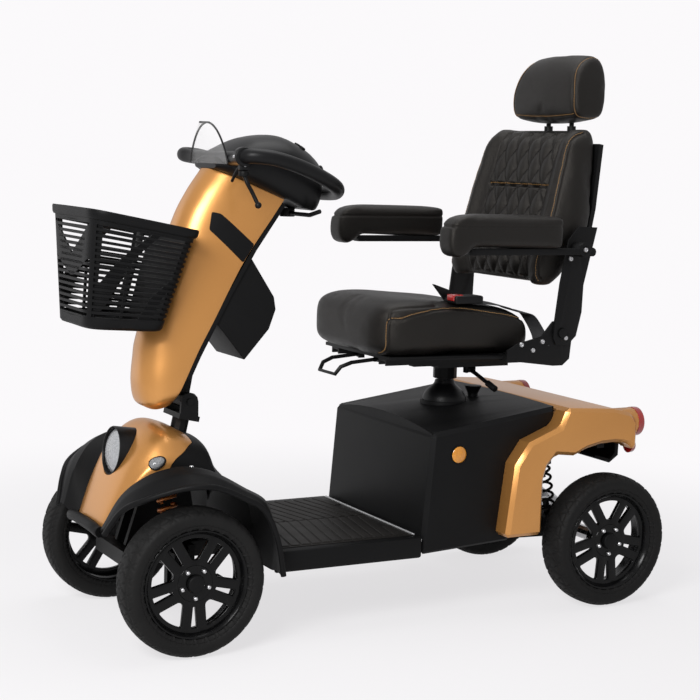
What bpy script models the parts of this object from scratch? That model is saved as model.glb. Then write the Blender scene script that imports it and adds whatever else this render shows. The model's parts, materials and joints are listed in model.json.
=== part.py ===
"""Four-wheel mobility scooter, modelled as separate pieces at real size.

Units are metres. +Z is up, -Y is the front and +X is the scooter's left.
Stations along Y are measured from the middle of the wheelbase, and the root empty
moves the whole scooter so that the origin lies under the middle of its outer box.
"""

import math

import bmesh
import bpy
from mathutils import Matrix, Vector

# Clearances
FIT_GAP = 0.0003          # between pieces that touch
RUN_GAP = 0.0006          # between a shaft and its bore
OVERLAP = 0.002           # depth by which shapes sink into each other before a union
WELD = 0.000001
FLAT_ANGLE = math.radians(0.2)   # faces nearer than this to one plane become one face
ROD_SIDES = 10
PIN_SIDES = 8             # of the small lever pins

# Wheels and stance
TYRE_DIAMETER = 0.330
TYRE_WIDTH = 0.088
TYRE_TREAD_WIDTH = 0.066
TYRE_CROWN_WIDTH = 0.034
TYRE_SHOULDER_DROP = 0.006
RIM_DIAMETER = 0.242
RIM_WIDTH = 0.070
RIM_WALL = 0.014
RIM_SPOKES = 5
WHEEL_SIDES = 24
SPOKE_THICKNESS = 0.013
HUB_RADIUS = 0.036
HUB_INNER = 0.022         # hub face inboard of the wheel's centre plane
HUB_OUTER = 0.024
AXLE_RADIUS = 0.010
NUT_RADIUS = 0.015
NUT_LENGTH = 0.008
WHEELBASE = 1.098
FRONT_TRACK = 0.516
REAR_TRACK = 0.544
FRAME_SHIFT = 0.0135

# Chassis
DECK_HEIGHT = 0.208
PAN_WALL = 0.008
RAIL_SPACING = 0.090
RAIL_WIDTH = 0.025
RAIL_HEIGHT = 0.035

# Front suspension
ARM_PIVOT_X = 0.075
ARM_PIVOT_Z = 0.185
ARM_LENGTH = 0.120
ARM_TUBE_RADIUS = 0.012
PIVOT_ROD_RADIUS = 0.007
KINGPIN_X = 0.186
KINGPIN_RADIUS = 0.008
KNUCKLE_RADIUS = 0.016
KNUCKLE_HEIGHT = 0.070
EAR_THICKNESS = 0.012
STEER_ARM = 0.075         # kingpin to tie-rod pin, fore and aft
TIE_ROD_Z = 0.120
TIE_ROD_RADIUS = 0.006
TIE_PIN_RADIUS = 0.005
SPRING_RADIUS = 0.020
SPRING_WIRE = 0.0035
SPRING_TURNS = 4
PERCH_THICKNESS = 0.006

# Rear suspension
SWING_PIVOT_Y = 0.300
SWING_ARM_X = 0.120

# Steering and tiller
STEER_BASE_Y = -0.479
STEER_BASE_Z = 0.451
STEER_LEAN = math.radians(12.0)
STEM_RADIUS = 0.014
HEAD_TUBE_RADIUS = 0.024
TILT_Y = -0.471
TILT_Z = 0.524
TILT_BOLT_RADIUS = 0.008
TILT_EYE_RADIUS = 0.021
YOKE_WIDTH = 0.098
CHEEK_THICKNESS = 0.008
POST_RADIUS = 0.016
SHROUD_HALF_WIDTH = 0.085
SHROUD_WALL = 0.004
STRIP_THICKNESS = 0.010
BOX_HALF_WIDTH = 0.080
HANDLE_RADIUS = 0.0165

# Bodywork
SKIN = 0.004
HEADLIGHT_Y = -0.622
HEADLIGHT_Z = 0.411
HEADLIGHT_RADIUS = 0.056
HEADLIGHT_PITCH = math.radians(8.0)
MUDGUARD_LIP_X = 0.300
MUDGUARD_EDGE_X = 0.240
MUDGUARD_FRONT = 0.162    # lip ahead of the front axle
BEAD_RADIUS = 0.007
COVER_HALF_WIDTH = 0.245
COVER_FRONT_Y = 0.040
COVER_REAR_Y = 0.410
COVER_FRONT_TOP = 0.451
COVER_REAR_TOP = 0.500
COVER_WALL = 0.006
FENDER_HALF_WIDTH = 0.295
ARCH_RADIUS = 0.246
TAIL_Y = 0.625

# Seat
SEAT_POST_Y = 0.240
SEAT_POST_RADIUS = 0.019
SEAT_TUBE_WALL = 0.009
SEAT_PLATE_Z = 0.589
BOOT_SEAT_Z = 0.4875
BOOT_TOP_Z = 0.540
BOOT_RADIUS = 0.055
BOOT_LIP = 0.003
BOOT_ROOM = 0.0015         # round the boot, where the cover rises past it
SEAT_PLATE_THICKNESS = 0.008
SEAT_RAIL_X = 0.120
SEAT_RAIL_HEIGHT = 0.013
SEAT_HALF_WIDTH = 0.208
SEAT_FRONT_Y = -0.069
SEAT_REAR_Y = 0.372
SEAT_CROWN_Z = 0.760
BACK_PIVOT_Y = 0.415
BACK_PIVOT_Z = 0.680
BACK_HALF_WIDTH = 0.222
SIDE_PLATE_X = 0.236
SIDE_PLATE_THICKNESS = 0.006
ARM_X = 0.272
ARM_PIVOT_Y = 0.445
ARM_PIVOT_HEIGHT = 0.884
ARM_PAD_WIDTH = 0.068
HEAD_POST_X = 0.050
HEAD_POST_RADIUS = 0.006

# Derived places
AXLE_Z = TYRE_DIAMETER / 2
FRONT_Y = -WHEELBASE / 2
REAR_Y = WHEELBASE / 2
RAIL_TOP = DECK_HEIGHT - PAN_WALL - FIT_GAP
RAIL_X = RAIL_SPACING / 2
TIE_ROD_Y = FRONT_Y + STEER_ARM
STEER_AXIS = Vector((0, math.sin(STEER_LEAN), math.cos(STEER_LEAN)))
STEER_BASE = Vector((0, STEER_BASE_Y, STEER_BASE_Z))

for leftover in list(bpy.data.objects):
    bpy.data.objects.remove(leftover, do_unlink=True)

PARTS = bpy.data.collections.new("mobility_scooter")
bpy.context.scene.collection.children.link(PARTS)


# Shape helpers


def link(mesh):
    """Put a mesh in the scooter's collection as an object."""
    shape = bpy.data.objects.new("shape", mesh)
    PARTS.objects.link(shape)
    return shape


def from_bmesh(bm):
    """Make an object from a bmesh, with its faces pointing out."""
    bmesh.ops.recalc_face_normals(bm, faces=bm.faces)
    mesh = bpy.data.meshes.new("shape")
    bm.to_mesh(mesh)
    bm.free()
    return link(mesh)


def tidy(mesh):
    """Weld a mesh and point its faces outwards."""
    bm = bmesh.new()
    bm.from_mesh(mesh)
    bmesh.ops.remove_doubles(bm, verts=bm.verts, dist=WELD)
    bmesh.ops.dissolve_degenerate(bm, edges=bm.edges, dist=WELD)
    bmesh.ops.dissolve_limit(bm, angle_limit=FLAT_ANGLE, verts=bm.verts, edges=bm.edges)
    bmesh.ops.recalc_face_normals(bm, faces=bm.faces)
    bm.to_mesh(mesh)
    bm.free()


def settle(shape):
    """Apply a shape's modifiers, or make a curve a mesh, at its own place."""
    graph = bpy.context.evaluated_depsgraph_get()
    mesh = bpy.data.meshes.new_from_object(shape.evaluated_get(graph))
    mesh.transform(shape.matrix_world)
    bpy.data.objects.remove(shape, do_unlink=True)
    tidy(mesh)
    return link(mesh)


def combine(base, tools, operation):
    """Apply one Boolean for each tool to the base, and remove the tools."""
    for tool in tools:
        step = base.modifiers.new(operation.lower(), "BOOLEAN")
        step.operation = operation
        step.solver = "EXACT"
        step.object = tool
    result = settle(base)
    for tool in tools:
        bpy.data.objects.remove(tool, do_unlink=True)
    return result


def fuse(base, *others):
    """Union of shapes that overlap each other."""
    return combine(base, others, "UNION")


def cut(base, *tools):
    """Take the tools' space out of the base."""
    return combine(base, tools, "DIFFERENCE")


def turn_to(axis):
    """Rotation that takes +Z to an axis."""
    return Vector((0, 0, 1)).rotation_difference(Vector(axis)).to_matrix().to_4x4()


def box(size, centre, bevel=0.0, segments=2, pitch=0.0):
    """A box, with all edges rounded if bevel is given, pitched about X."""
    bm = bmesh.new()
    bmesh.ops.create_cube(bm, size=1.0)
    bmesh.ops.scale(bm, vec=size, verts=bm.verts)
    if bevel:
        bmesh.ops.bevel(bm, geom=bm.edges[:], offset=bevel, segments=segments, profile=0.5, affect="EDGES")
    place = Matrix.Translation(centre) @ Matrix.Rotation(pitch, 4, "X")
    bmesh.ops.transform(bm, matrix=place, verts=bm.verts)
    return from_bmesh(bm)


def span_box(low, high, bevel=0.0, segments=2):
    """A box between two opposite corners."""
    low = Vector(low)
    high = Vector(high)
    return box(high - low, (low + high) / 2, bevel, segments)


def bore_radius(pin, gap=RUN_GAP, sides=ROD_SIDES):
    """Radius of a bore whose flat sides clear a pin that turns in it."""
    return (pin + gap) / math.cos(math.pi / sides)


def rod(start, end, radius, end_radius=None, sides=ROD_SIDES):
    """A round bar or cone between two points."""
    start = Vector(start)
    end = Vector(end)
    bm = bmesh.new()
    length = (end - start).length
    last = radius if end_radius is None else end_radius
    bmesh.ops.create_cone(bm, cap_ends=True, segments=sides, radius1=radius, radius2=last, depth=length)
    place = Matrix.Translation((start + end) / 2) @ turn_to(end - start)
    bmesh.ops.transform(bm, matrix=place, verts=bm.verts)
    return from_bmesh(bm)


def ball(centre, radius):
    """A sphere."""
    bm = bmesh.new()
    bmesh.ops.create_uvsphere(bm, u_segments=8, v_segments=6, radius=radius)
    bmesh.ops.translate(bm, vec=centre, verts=bm.verts)
    return from_bmesh(bm)


def turned(profile, centre=(0, 0, 0), axis=(0, 0, 1), sides=32):
    """Turn a closed profile of (radius, height) points about an axis through the centre."""
    mesh = bpy.data.meshes.new("profile")
    points = [(radius, 0, height) for radius, height in profile]
    edges = [(i, (i + 1) % len(points)) for i in range(len(points))]
    mesh.from_pydata(points, edges, [])
    shape = link(mesh)
    screw = shape.modifiers.new("turn", "SCREW")
    screw.axis = "Z"
    screw.angle = math.tau
    screw.steps = sides
    screw.render_steps = sides
    screw.use_merge_vertices = True
    screw.merge_threshold = 0.00001
    shape.matrix_world = Matrix.Translation(centre) @ turn_to(axis)
    bpy.context.view_layer.update()
    return settle(shape)


def tube(points, radius, cyclic=False, resolution=2):
    """A round tube along points."""
    curve = bpy.data.curves.new("tube", "CURVE")
    curve.dimensions = "3D"
    curve.bevel_depth = radius
    curve.bevel_resolution = resolution
    curve.use_fill_caps = True
    spline = curve.splines.new("POLY")
    spline.points.add(len(points) - 1)
    for target, point in zip(spline.points, points):
        target.co = (*point, 1)
    spline.use_cyclic_u = cyclic
    return settle(link_curve(curve))


def link_curve(curve):
    """Put a curve in the scooter's collection as an object."""
    shape = bpy.data.objects.new("curve", curve)
    PARTS.objects.link(shape)
    bpy.context.view_layer.update()
    return shape


def flat(outlines, thickness, place=Matrix.Identity(4)):
    """Extrude flat outlines, the inner ones being holes, about their own plane."""
    curve = bpy.data.curves.new("outline", "CURVE")
    curve.dimensions = "2D"
    curve.fill_mode = "BOTH"
    curve.extrude = thickness / 2
    for outline in outlines:
        spline = curve.splines.new("POLY")
        spline.points.add(len(outline) - 1)
        for target, (across, along) in zip(spline.points, outline):
            target.co = (across, along, 0, 1)
        spline.use_cyclic_u = True
    shape = link_curve(curve)
    shape.matrix_world = place
    bpy.context.view_layer.update()
    return settle(shape)


def side_plate(outline, low_x, high_x, bevel=0.0, segments=2):
    """Extrude a (y, z) outline between two stations across the scooter."""
    middle = (low_x + high_x) / 2
    place = Matrix(((0, 0, 1, middle), (1, 0, 0, 0), (0, 1, 0, 0), (0, 0, 0, 1)))
    shape = flat([outline], high_x - low_x, place)
    return rounded(shape, bevel, segments) if bevel else shape


def rounded(shape, width, segments=2, angle=0.6):
    """Round the edges of a shape that are sharper than an angle."""
    bevel = shape.modifiers.new("round", "BEVEL")
    bevel.width = width
    bevel.segments = segments
    bevel.limit_method = "ANGLE"
    bevel.angle_limit = angle
    bevel.use_clamp_overlap = True
    return settle(shape)


def loft(rings):
    """A closed body through rings of equally many points, with flat ends."""
    bm = bmesh.new()
    rows = [[bm.verts.new(point) for point in ring] for ring in rings]
    count = len(rows[0])
    for lower, upper in zip(rows, rows[1:]):
        for i in range(count):
            k = (i + 1) % count
            bm.faces.new((lower[i], lower[k], upper[k], upper[i]))
    bm.faces.new(rows[0][::-1])
    bm.faces.new(rows[-1])
    return from_bmesh(bm)


def skin(rows, thickness, inward=-1):
    """An open surface through rows of points, made solid to one side."""
    bm = bmesh.new()
    grid = [[bm.verts.new(point) for point in row] for row in rows]
    for lower, upper in zip(grid, grid[1:]):
        for i in range(len(lower) - 1):
            bm.faces.new((lower[i], lower[i + 1], upper[i + 1], upper[i]))
    mesh = bpy.data.meshes.new("skin")
    bm.to_mesh(mesh)
    bm.free()
    shape = link(mesh)
    solid = shape.modifiers.new("wall", "SOLIDIFY")
    solid.thickness = thickness
    solid.offset = inward
    solid.use_even_offset = True
    solid.thickness_clamp = 1.0
    bpy.context.view_layer.update()
    return settle(shape)


def copied(shape, place):
    """A copy of a shape at another place."""
    mesh = shape.data.copy()
    mesh.transform(place)
    return link(mesh)


def mirrored(shape):
    """A copy of a shape on the other side of the scooter."""
    mesh = shape.data.copy()
    mesh.transform(Matrix.Scale(-1, 4, (1, 0, 0)))
    tidy(mesh)
    return link(mesh)


def blend(low, high, share):
    """Point or number part of the way from one to the other."""
    return low + (high - low) * share


def along(table, place):
    """Read rows of (place, values...) between its stations, smoothly."""
    for first, second in zip(table, table[1:]):
        if place <= second[0] or second is table[-1]:
            share = (place - first[0]) / (second[0] - first[0])
            share = min(max(share, 0.0), 1.0)
            return [blend(a, b, share) for a, b in zip(first[1:], second[1:])]
    return list(table[0][1:])


def oval(half_width, low, high, y, count, power=2.6, flat_low=None):
    """Ring of points in an upright cross plane, squarer as the power grows."""
    middle = (low + high) / 2
    half_height = (high - low) / 2
    ring = []
    for i in range(count):
        turn = math.tau * (i + 0.5) / count
        side = math.copysign(abs(math.cos(turn)) ** (2 / power), math.cos(turn))
        rise = math.copysign(abs(math.sin(turn)) ** (2 / power), math.sin(turn))
        z = middle + half_height * rise
        if flat_low is not None:
            z = max(z, flat_low)
        ring.append((half_width * side, y, z))
    return ring


# Materials and the assembly tree


def paint(name, colour, roughness, metallic=0.0):
    """A plain material."""
    made = bpy.data.materials.new(name)
    made.use_nodes = True
    surface = made.node_tree.nodes["Principled BSDF"]
    surface.inputs["Base Color"].default_value = (*colour, 1)
    surface.inputs["Roughness"].default_value = roughness
    surface.inputs["Metallic"].default_value = metallic
    return made


GOLD = paint("gold_paint", (0.62, 0.33, 0.11), 0.32, 0.6)
BLACK = paint("black_plastic", (0.018, 0.018, 0.019), 0.5)
STEEL = paint("black_steel", (0.022, 0.022, 0.023), 0.4, 0.5)
BRIGHT = paint("bright_metal", (0.62, 0.62, 0.63), 0.3, 1.0)
COPPER = paint("copper_spring", (0.65, 0.22, 0.05), 0.35, 0.6)
RUBBER = paint("tyre_rubber", (0.015, 0.015, 0.015), 0.8)
LEATHER = paint("black_leather", (0.016, 0.015, 0.015), 0.45)
RED = paint("red_lens", (0.5, 0.01, 0.01), 0.15)
CLEAR = paint("clear_lens", (0.8, 0.85, 0.88), 0.08)


def empty(name, place, parent=None):
    """An empty on a joint's axis, which carries the pieces that move together."""
    holder = bpy.data.objects.new(name, None)
    PARTS.objects.link(holder)
    holder["place"] = list(place)
    holder.parent = parent
    start = Vector(parent["place"]) if parent else Vector((0, 0, 0))
    holder.location = Vector(place) - start
    return holder


ROOT = empty("scooter", (0, 0, 0))
ROOT.location = (0, FRAME_SHIFT, 0)


def piece(shape, name, material, holder=None):
    """Name a shape, paint it, and hang it on its joint's empty."""
    holder = holder or ROOT
    shape.name = name
    shape.data.name = name
    shape.data.materials.clear()
    shape.data.materials.append(material)
    shape.data.shade_smooth()
    shape.data.set_sharp_from_angle(angle=math.radians(35))
    place = Vector(holder["place"])
    shape.data.transform(Matrix.Translation(-place))
    shape.parent = holder
    return shape


# Wheels


def polar(radius, angle):
    """Point on a circle."""
    return (radius * math.cos(angle), radius * math.sin(angle))


def spoke_windows():
    """Outlines of the openings between the twin spokes of a rim, and inside each pair."""
    windows = []
    outer = RIM_DIAMETER / 2 - RIM_WALL - 0.002
    for i in range(RIM_SPOKES):
        middle = math.tau * i / RIM_SPOKES
        gap = [polar(outer, middle + math.radians(a)) for a in (17, 55)]
        root = [polar(HUB_RADIUS + 0.012, middle + math.radians(a)) for a in (44, 28)]
        windows.append(gap + root)
        slot = [polar(outer, middle + math.radians(a)) for a in (-6, 6)]
        foot = [polar(HUB_RADIUS + 0.010, middle + math.radians(a)) for a in (5, -5)]
        windows.append(slot + foot)
    return windows


def rim_shape():
    """Five twin spokes between a hub and a stepped barrel, about +Z, outer face up."""
    radius = RIM_DIAMETER / 2
    edge = RIM_WIDTH / 2
    barrel = turned(
        [
            (radius, edge),
            (radius, -edge),
            (radius - RIM_WALL / 2, -edge),
            (radius - RIM_WALL / 2, edge - RIM_WALL),
            (radius - RIM_WALL, edge - RIM_WALL),
            (radius - RIM_WALL / 2, edge),
        ],
        sides=WHEEL_SIDES,
    )
    face_radius = radius - RIM_WALL / 2 + OVERLAP
    rim_face = [polar(face_radius, math.tau * i / WHEEL_SIDES) for i in range(WHEEL_SIDES)]
    face_depth = edge - RIM_WALL - SPOKE_THICKNESS / 2 + OVERLAP
    spokes = flat([rim_face, *spoke_windows()], SPOKE_THICKNESS, Matrix.Translation((0, 0, face_depth)))
    hub = rod((0, 0, -HUB_INNER), (0, 0, HUB_OUTER), HUB_RADIUS, sides=10)
    rim = fuse(barrel, spokes, hub)
    return cut(rim, rod((0, 0, -TYRE_WIDTH), (0, 0, TYRE_WIDTH), bore_radius(AXLE_RADIUS)))


def tyre_shape():
    """Low-profile tyre about +Z that seats on the rim's barrel."""
    radius = TYRE_DIAMETER / 2
    bead = RIM_DIAMETER / 2 + FIT_GAP
    edge = RIM_WIDTH / 2
    upper = [
        (radius, TYRE_CROWN_WIDTH / 2),
        (radius - TYRE_SHOULDER_DROP, TYRE_TREAD_WIDTH / 2),
        ((bead + radius) / 2, TYRE_WIDTH / 2),
        (bead, edge),
    ]
    lower = [(r, -a) for r, a in reversed(upper)]
    return turned(lower + upper, sides=WHEEL_SIDES)


RIM = rim_shape()
TYRE = tyre_shape()
for label, side in (("left", 1), ("right", -1)):
    for end, track, y in (("front", FRONT_TRACK, FRONT_Y), ("rear", REAR_TRACK, REAR_Y)):
        name = end + "_" + label
        centre = Vector((side * track / 2, y, AXLE_Z))
        hub_holder = empty(name + "_axle", centre, ROOT)
        stance = Matrix.Translation(centre) @ turn_to((side, 0, 0))
        piece(copied(RIM, stance), name + "_rim", STEEL, hub_holder)
        piece(copied(TYRE, stance), name + "_tyre", RUBBER, hub_holder)
for pattern in (RIM, TYRE):
    bpy.data.objects.remove(pattern, do_unlink=True)


# Springs and their perches


def spring_points(start, end, turns, radius, per_turn=8):
    """Points along a coil between two points."""
    start = Vector(start)
    end = Vector(end)
    frame = turn_to(end - start)
    length = (end - start).length
    count = turns * per_turn
    points = []
    for i in range(count + 1):
        turn = math.tau * i / per_turn
        local = Vector((radius * math.cos(turn), radius * math.sin(turn), length * i / count))
        points.append(start + frame @ local)
    return points


def least_gap(points, wire, per_turn=8):
    """Least clear distance between a coil's turns."""
    apart = [
        (points[j] - points[i]).length
        for i in range(len(points))
        for j in range(i + per_turn // 2, len(points))
    ]
    return min(apart) - 2 * wire


def coil(name, bottom, top):
    """A coil spring that stands between two perches."""
    bottom = Vector(bottom)
    top = Vector(top)
    lift = (top - bottom).normalized() * (SPRING_WIRE + FIT_GAP)
    points = spring_points(bottom + lift, top - lift, SPRING_TURNS, SPRING_RADIUS)
    print(name, "least gap between turns", round(least_gap(points, SPRING_WIRE) * 1000, 2), "mm")
    piece(tube(points, SPRING_WIRE, resolution=1), name, COPPER)


def perch(seat, facing):
    """A spring seat and the stub of its damper, facing the spring."""
    seat = Vector(seat)
    facing = Vector(facing).normalized()
    plate = rod(seat - facing * PERCH_THICKNESS, seat, SPRING_RADIUS + 0.006, sides=8)
    stub = rod(seat - facing * PERCH_THICKNESS, seat + facing * 0.034, 0.009, sides=6)
    return plate, stub


FRONT_SPRING_LOW = Vector((0.146, FRONT_Y - 0.006, 0.226))
FRONT_SPRING_HIGH = Vector((0.122, FRONT_Y - 0.006, 0.338))
REAR_SPRING_LOW = Vector((0.178, REAR_Y - 0.105, 0.222))
REAR_SPRING_HIGH = Vector((0.178, REAR_Y - 0.130, 0.345))


# Front suspension and steering links


def front_arm(side):
    """Wishbone with a clevis for the kingpin and a spring seat."""
    y0 = FRONT_Y - ARM_LENGTH / 2
    y1 = FRONT_Y + ARM_LENGTH / 2
    pivot = ARM_PIVOT_X
    half = KNUCKLE_HEIGHT / 2 + RUN_GAP
    post_x = KINGPIN_X - KNUCKLE_RADIUS - 0.014
    eye = rod((pivot, y0, ARM_PIVOT_Z), (pivot, y1, ARM_PIVOT_Z), ARM_TUBE_RADIUS)
    back_low = (post_x - 0.010, FRONT_Y - 0.018, AXLE_Z - half - EAR_THICKNESS)
    back_high = (post_x + 0.008, FRONT_Y + 0.018, AXLE_Z + half + EAR_THICKNESS)
    back = span_box(back_low, back_high)
    shapes = [back]
    for rise in (1, -1):
        low_z = AXLE_Z + rise * half
        high_z = low_z + rise * EAR_THICKNESS
        z = sorted((low_z, high_z))
        shapes.append(span_box((post_x, FRONT_Y - 0.016, z[0]), (KINGPIN_X, FRONT_Y + 0.016, z[1])))
        shapes.append(rod((KINGPIN_X, FRONT_Y, z[0]), (KINGPIN_X, FRONT_Y, z[1]), 0.0175))
    for reach in (-0.040, 0.040):
        start = (pivot + 0.004, FRONT_Y + reach, ARM_PIVOT_Z)
        shapes.append(rod(start, (post_x, FRONT_Y + reach * 0.25, AXLE_Z + 0.022), 0.0095, sides=8))
    shapes += perch(FRONT_SPRING_LOW, FRONT_SPRING_HIGH - FRONT_SPRING_LOW)
    low = FRONT_SPRING_LOW
    shapes.append(rod(low - Vector((0, 0, 0.040)), low - Vector((0, 0, 0.003)), 0.013, sides=10))
    arm = fuse(eye, *shapes)
    pivot_bore = bore_radius(PIVOT_ROD_RADIUS)
    king_bore = bore_radius(KINGPIN_RADIUS)
    arm = cut(
        arm,
        rod((pivot, y0 - 0.01, ARM_PIVOT_Z), (pivot, y1 + 0.01, ARM_PIVOT_Z), pivot_bore),
        rod((KINGPIN_X, FRONT_Y, 0.05), (KINGPIN_X, FRONT_Y, 0.28), king_bore),
    )
    return arm if side > 0 else flip(arm)


def flip(shape):
    """Replace a shape by its copy on the other side."""
    other = mirrored(shape)
    bpy.data.objects.remove(shape, do_unlink=True)
    return other


def knuckle(side):
    """Kingpin, stub axle and steering arm with a slotted eye."""
    king = Vector((KINGPIN_X, FRONT_Y, AXLE_Z))
    up = Vector((0, 0, 1))
    hub_face = FRONT_TRACK / 2 - HUB_INNER - RUN_GAP
    axle_end = FRONT_TRACK / 2 + HUB_OUTER + RUN_GAP
    eye_y = FRONT_Y + STEER_ARM
    eye_z = AXLE_Z - 0.022
    barrel = rod(king - up * KNUCKLE_HEIGHT / 2, king + up * KNUCKLE_HEIGHT / 2, KNUCKLE_RADIUS)
    pin_half = KNUCKLE_HEIGHT / 2 + EAR_THICKNESS + 0.004
    knuckle_arm = span_box(
        (KINGPIN_X - 0.010, FRONT_Y, eye_z - 0.005), (KINGPIN_X + 0.010, eye_y - 0.012, eye_z + 0.005)
    )
    eye = span_box(
        (KINGPIN_X - 0.024, eye_y - 0.020, eye_z - 0.005), (KINGPIN_X + 0.024, eye_y + 0.030, eye_z + 0.005)
    )
    shape = fuse(
        barrel,
        rod(king - up * pin_half, king + up * pin_half, KINGPIN_RADIUS),
        rod(king, (hub_face, FRONT_Y, AXLE_Z), 0.017),
        rod(king, (axle_end + NUT_LENGTH, FRONT_Y, AXLE_Z), AXLE_RADIUS),
        rod((axle_end, FRONT_Y, AXLE_Z), (axle_end + NUT_LENGTH, FRONT_Y, AXLE_Z), NUT_RADIUS, sides=6),
        knuckle_arm,
        eye,
    )
    slot_low = (KINGPIN_X - 0.0145, eye_y - TIE_PIN_RADIUS - FIT_GAP, eye_z - 0.02)
    slot_high = (KINGPIN_X + 0.0145, eye_y + 0.020, eye_z + 0.02)
    shape = cut(shape, span_box(slot_low, slot_high))
    return shape if side > 0 else flip(shape)


for label, side in (("left", 1), ("right", -1)):
    arm_holder = empty("front_arm_axis_" + label, (side * ARM_PIVOT_X, FRONT_Y, ARM_PIVOT_Z), ROOT)
    piece(front_arm(side), "front_arm_" + label, STEEL, arm_holder)
    king_holder = empty("kingpin_axis_" + label, (side * KINGPIN_X, FRONT_Y, AXLE_Z), ROOT)
    piece(knuckle(side), "knuckle_" + label, STEEL, king_holder)
    mirror = Matrix.Scale(side, 4, (1, 0, 0))
    coil("front_spring_" + label, mirror @ FRONT_SPRING_LOW, mirror @ FRONT_SPRING_HIGH)
    coil("rear_spring_" + label, mirror @ REAR_SPRING_LOW, mirror @ REAR_SPRING_HIGH)


def tie_rod():
    """Track rod with three upright pins: two for the knuckles, one for the steering stem."""
    ends = KINGPIN_X
    bar = rod((-ends, TIE_ROD_Y, TIE_ROD_Z), (ends, TIE_ROD_Y, TIE_ROD_Z), TIE_ROD_RADIUS, sides=10)
    pins = []
    for x, top in ((-ends, AXLE_Z - 0.010), (0.0, AXLE_Z - 0.006), (ends, AXLE_Z - 0.010)):
        pins.append(rod((x, TIE_ROD_Y, TIE_ROD_Z - 0.008), (x, TIE_ROD_Y, top), TIE_PIN_RADIUS, sides=8))
    return fuse(bar, *pins)


piece(tie_rod(), "tie_rod", BRIGHT)


def steer_point(height):
    """Point on the steering axis at a height above the ground."""
    return STEER_BASE + STEER_AXIS * ((height - STEER_BASE_Z) / STEER_AXIS.z)


HEAD_TUBE_LOW = 0.200
HEAD_TUBE_HIGH = 0.425
PITMAN_Z = 0.150
YOKE_BRIDGE_Z = 0.487
YOKE_COLLAR_RADIUS = 0.020
CHEEK_OUT = YOKE_WIDTH / 2
CHEEK_IN = CHEEK_OUT - CHEEK_THICKNESS


def steering_yoke():
    """Steering stem with a drop arm at its foot and a clevis for the tiller at its head."""
    foot = steer_point(PITMAN_Z)
    stem = rod(foot - STEER_AXIS * 0.004, steer_point(YOKE_BRIDGE_Z), STEM_RADIUS)
    collar_low = steer_point(HEAD_TUBE_HIGH) + STEER_AXIS * RUN_GAP
    collar = rod(collar_low, steer_point(YOKE_BRIDGE_Z), YOKE_COLLAR_RADIUS)
    drop_low = (-0.012, foot.y, PITMAN_Z - 0.005)
    drop = span_box(drop_low, (0.012, TIE_ROD_Y, PITMAN_Z + 0.005))
    low = (-0.022, TIE_ROD_Y - 0.020, PITMAN_Z - 0.005)
    high = (0.022, TIE_ROD_Y + 0.032, PITMAN_Z + 0.005)
    eye = span_box(low, high)
    head = steer_point(YOKE_BRIDGE_Z)
    bridge = box((YOKE_WIDTH, 0.050, 0.012), head, pitch=-STEER_LEAN)
    outline = [(head.y - 0.022, head.z), (head.y + 0.022, head.z - 0.006)]
    outline += [
        (TILT_Y + TILT_EYE_RADIUS * math.cos(a), TILT_Z + TILT_EYE_RADIUS * math.sin(a))
        for a in (math.radians(d) for d in range(0, 181, 30))
    ]
    cheeks = [
        side_plate(outline, CHEEK_IN, CHEEK_OUT),
        side_plate(outline, -CHEEK_OUT, -CHEEK_IN),
    ]
    bolt = rod((-CHEEK_OUT - 0.004, TILT_Y, TILT_Z), (CHEEK_OUT + 0.004, TILT_Y, TILT_Z), TILT_BOLT_RADIUS)
    shape = fuse(stem, collar, drop, eye, bridge, *cheeks, bolt)
    slot = span_box(
        (-0.0125, TIE_ROD_Y - 0.012, PITMAN_Z - 0.02), (0.0125, TIE_ROD_Y + 0.022, PITMAN_Z + 0.008)
    )
    return cut(shape, slot)


STEER_HOLDER = empty("steering_axis", STEER_BASE, ROOT)
piece(steering_yoke(), "steering_yoke", STEEL, STEER_HOLDER)


# Chassis


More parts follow.
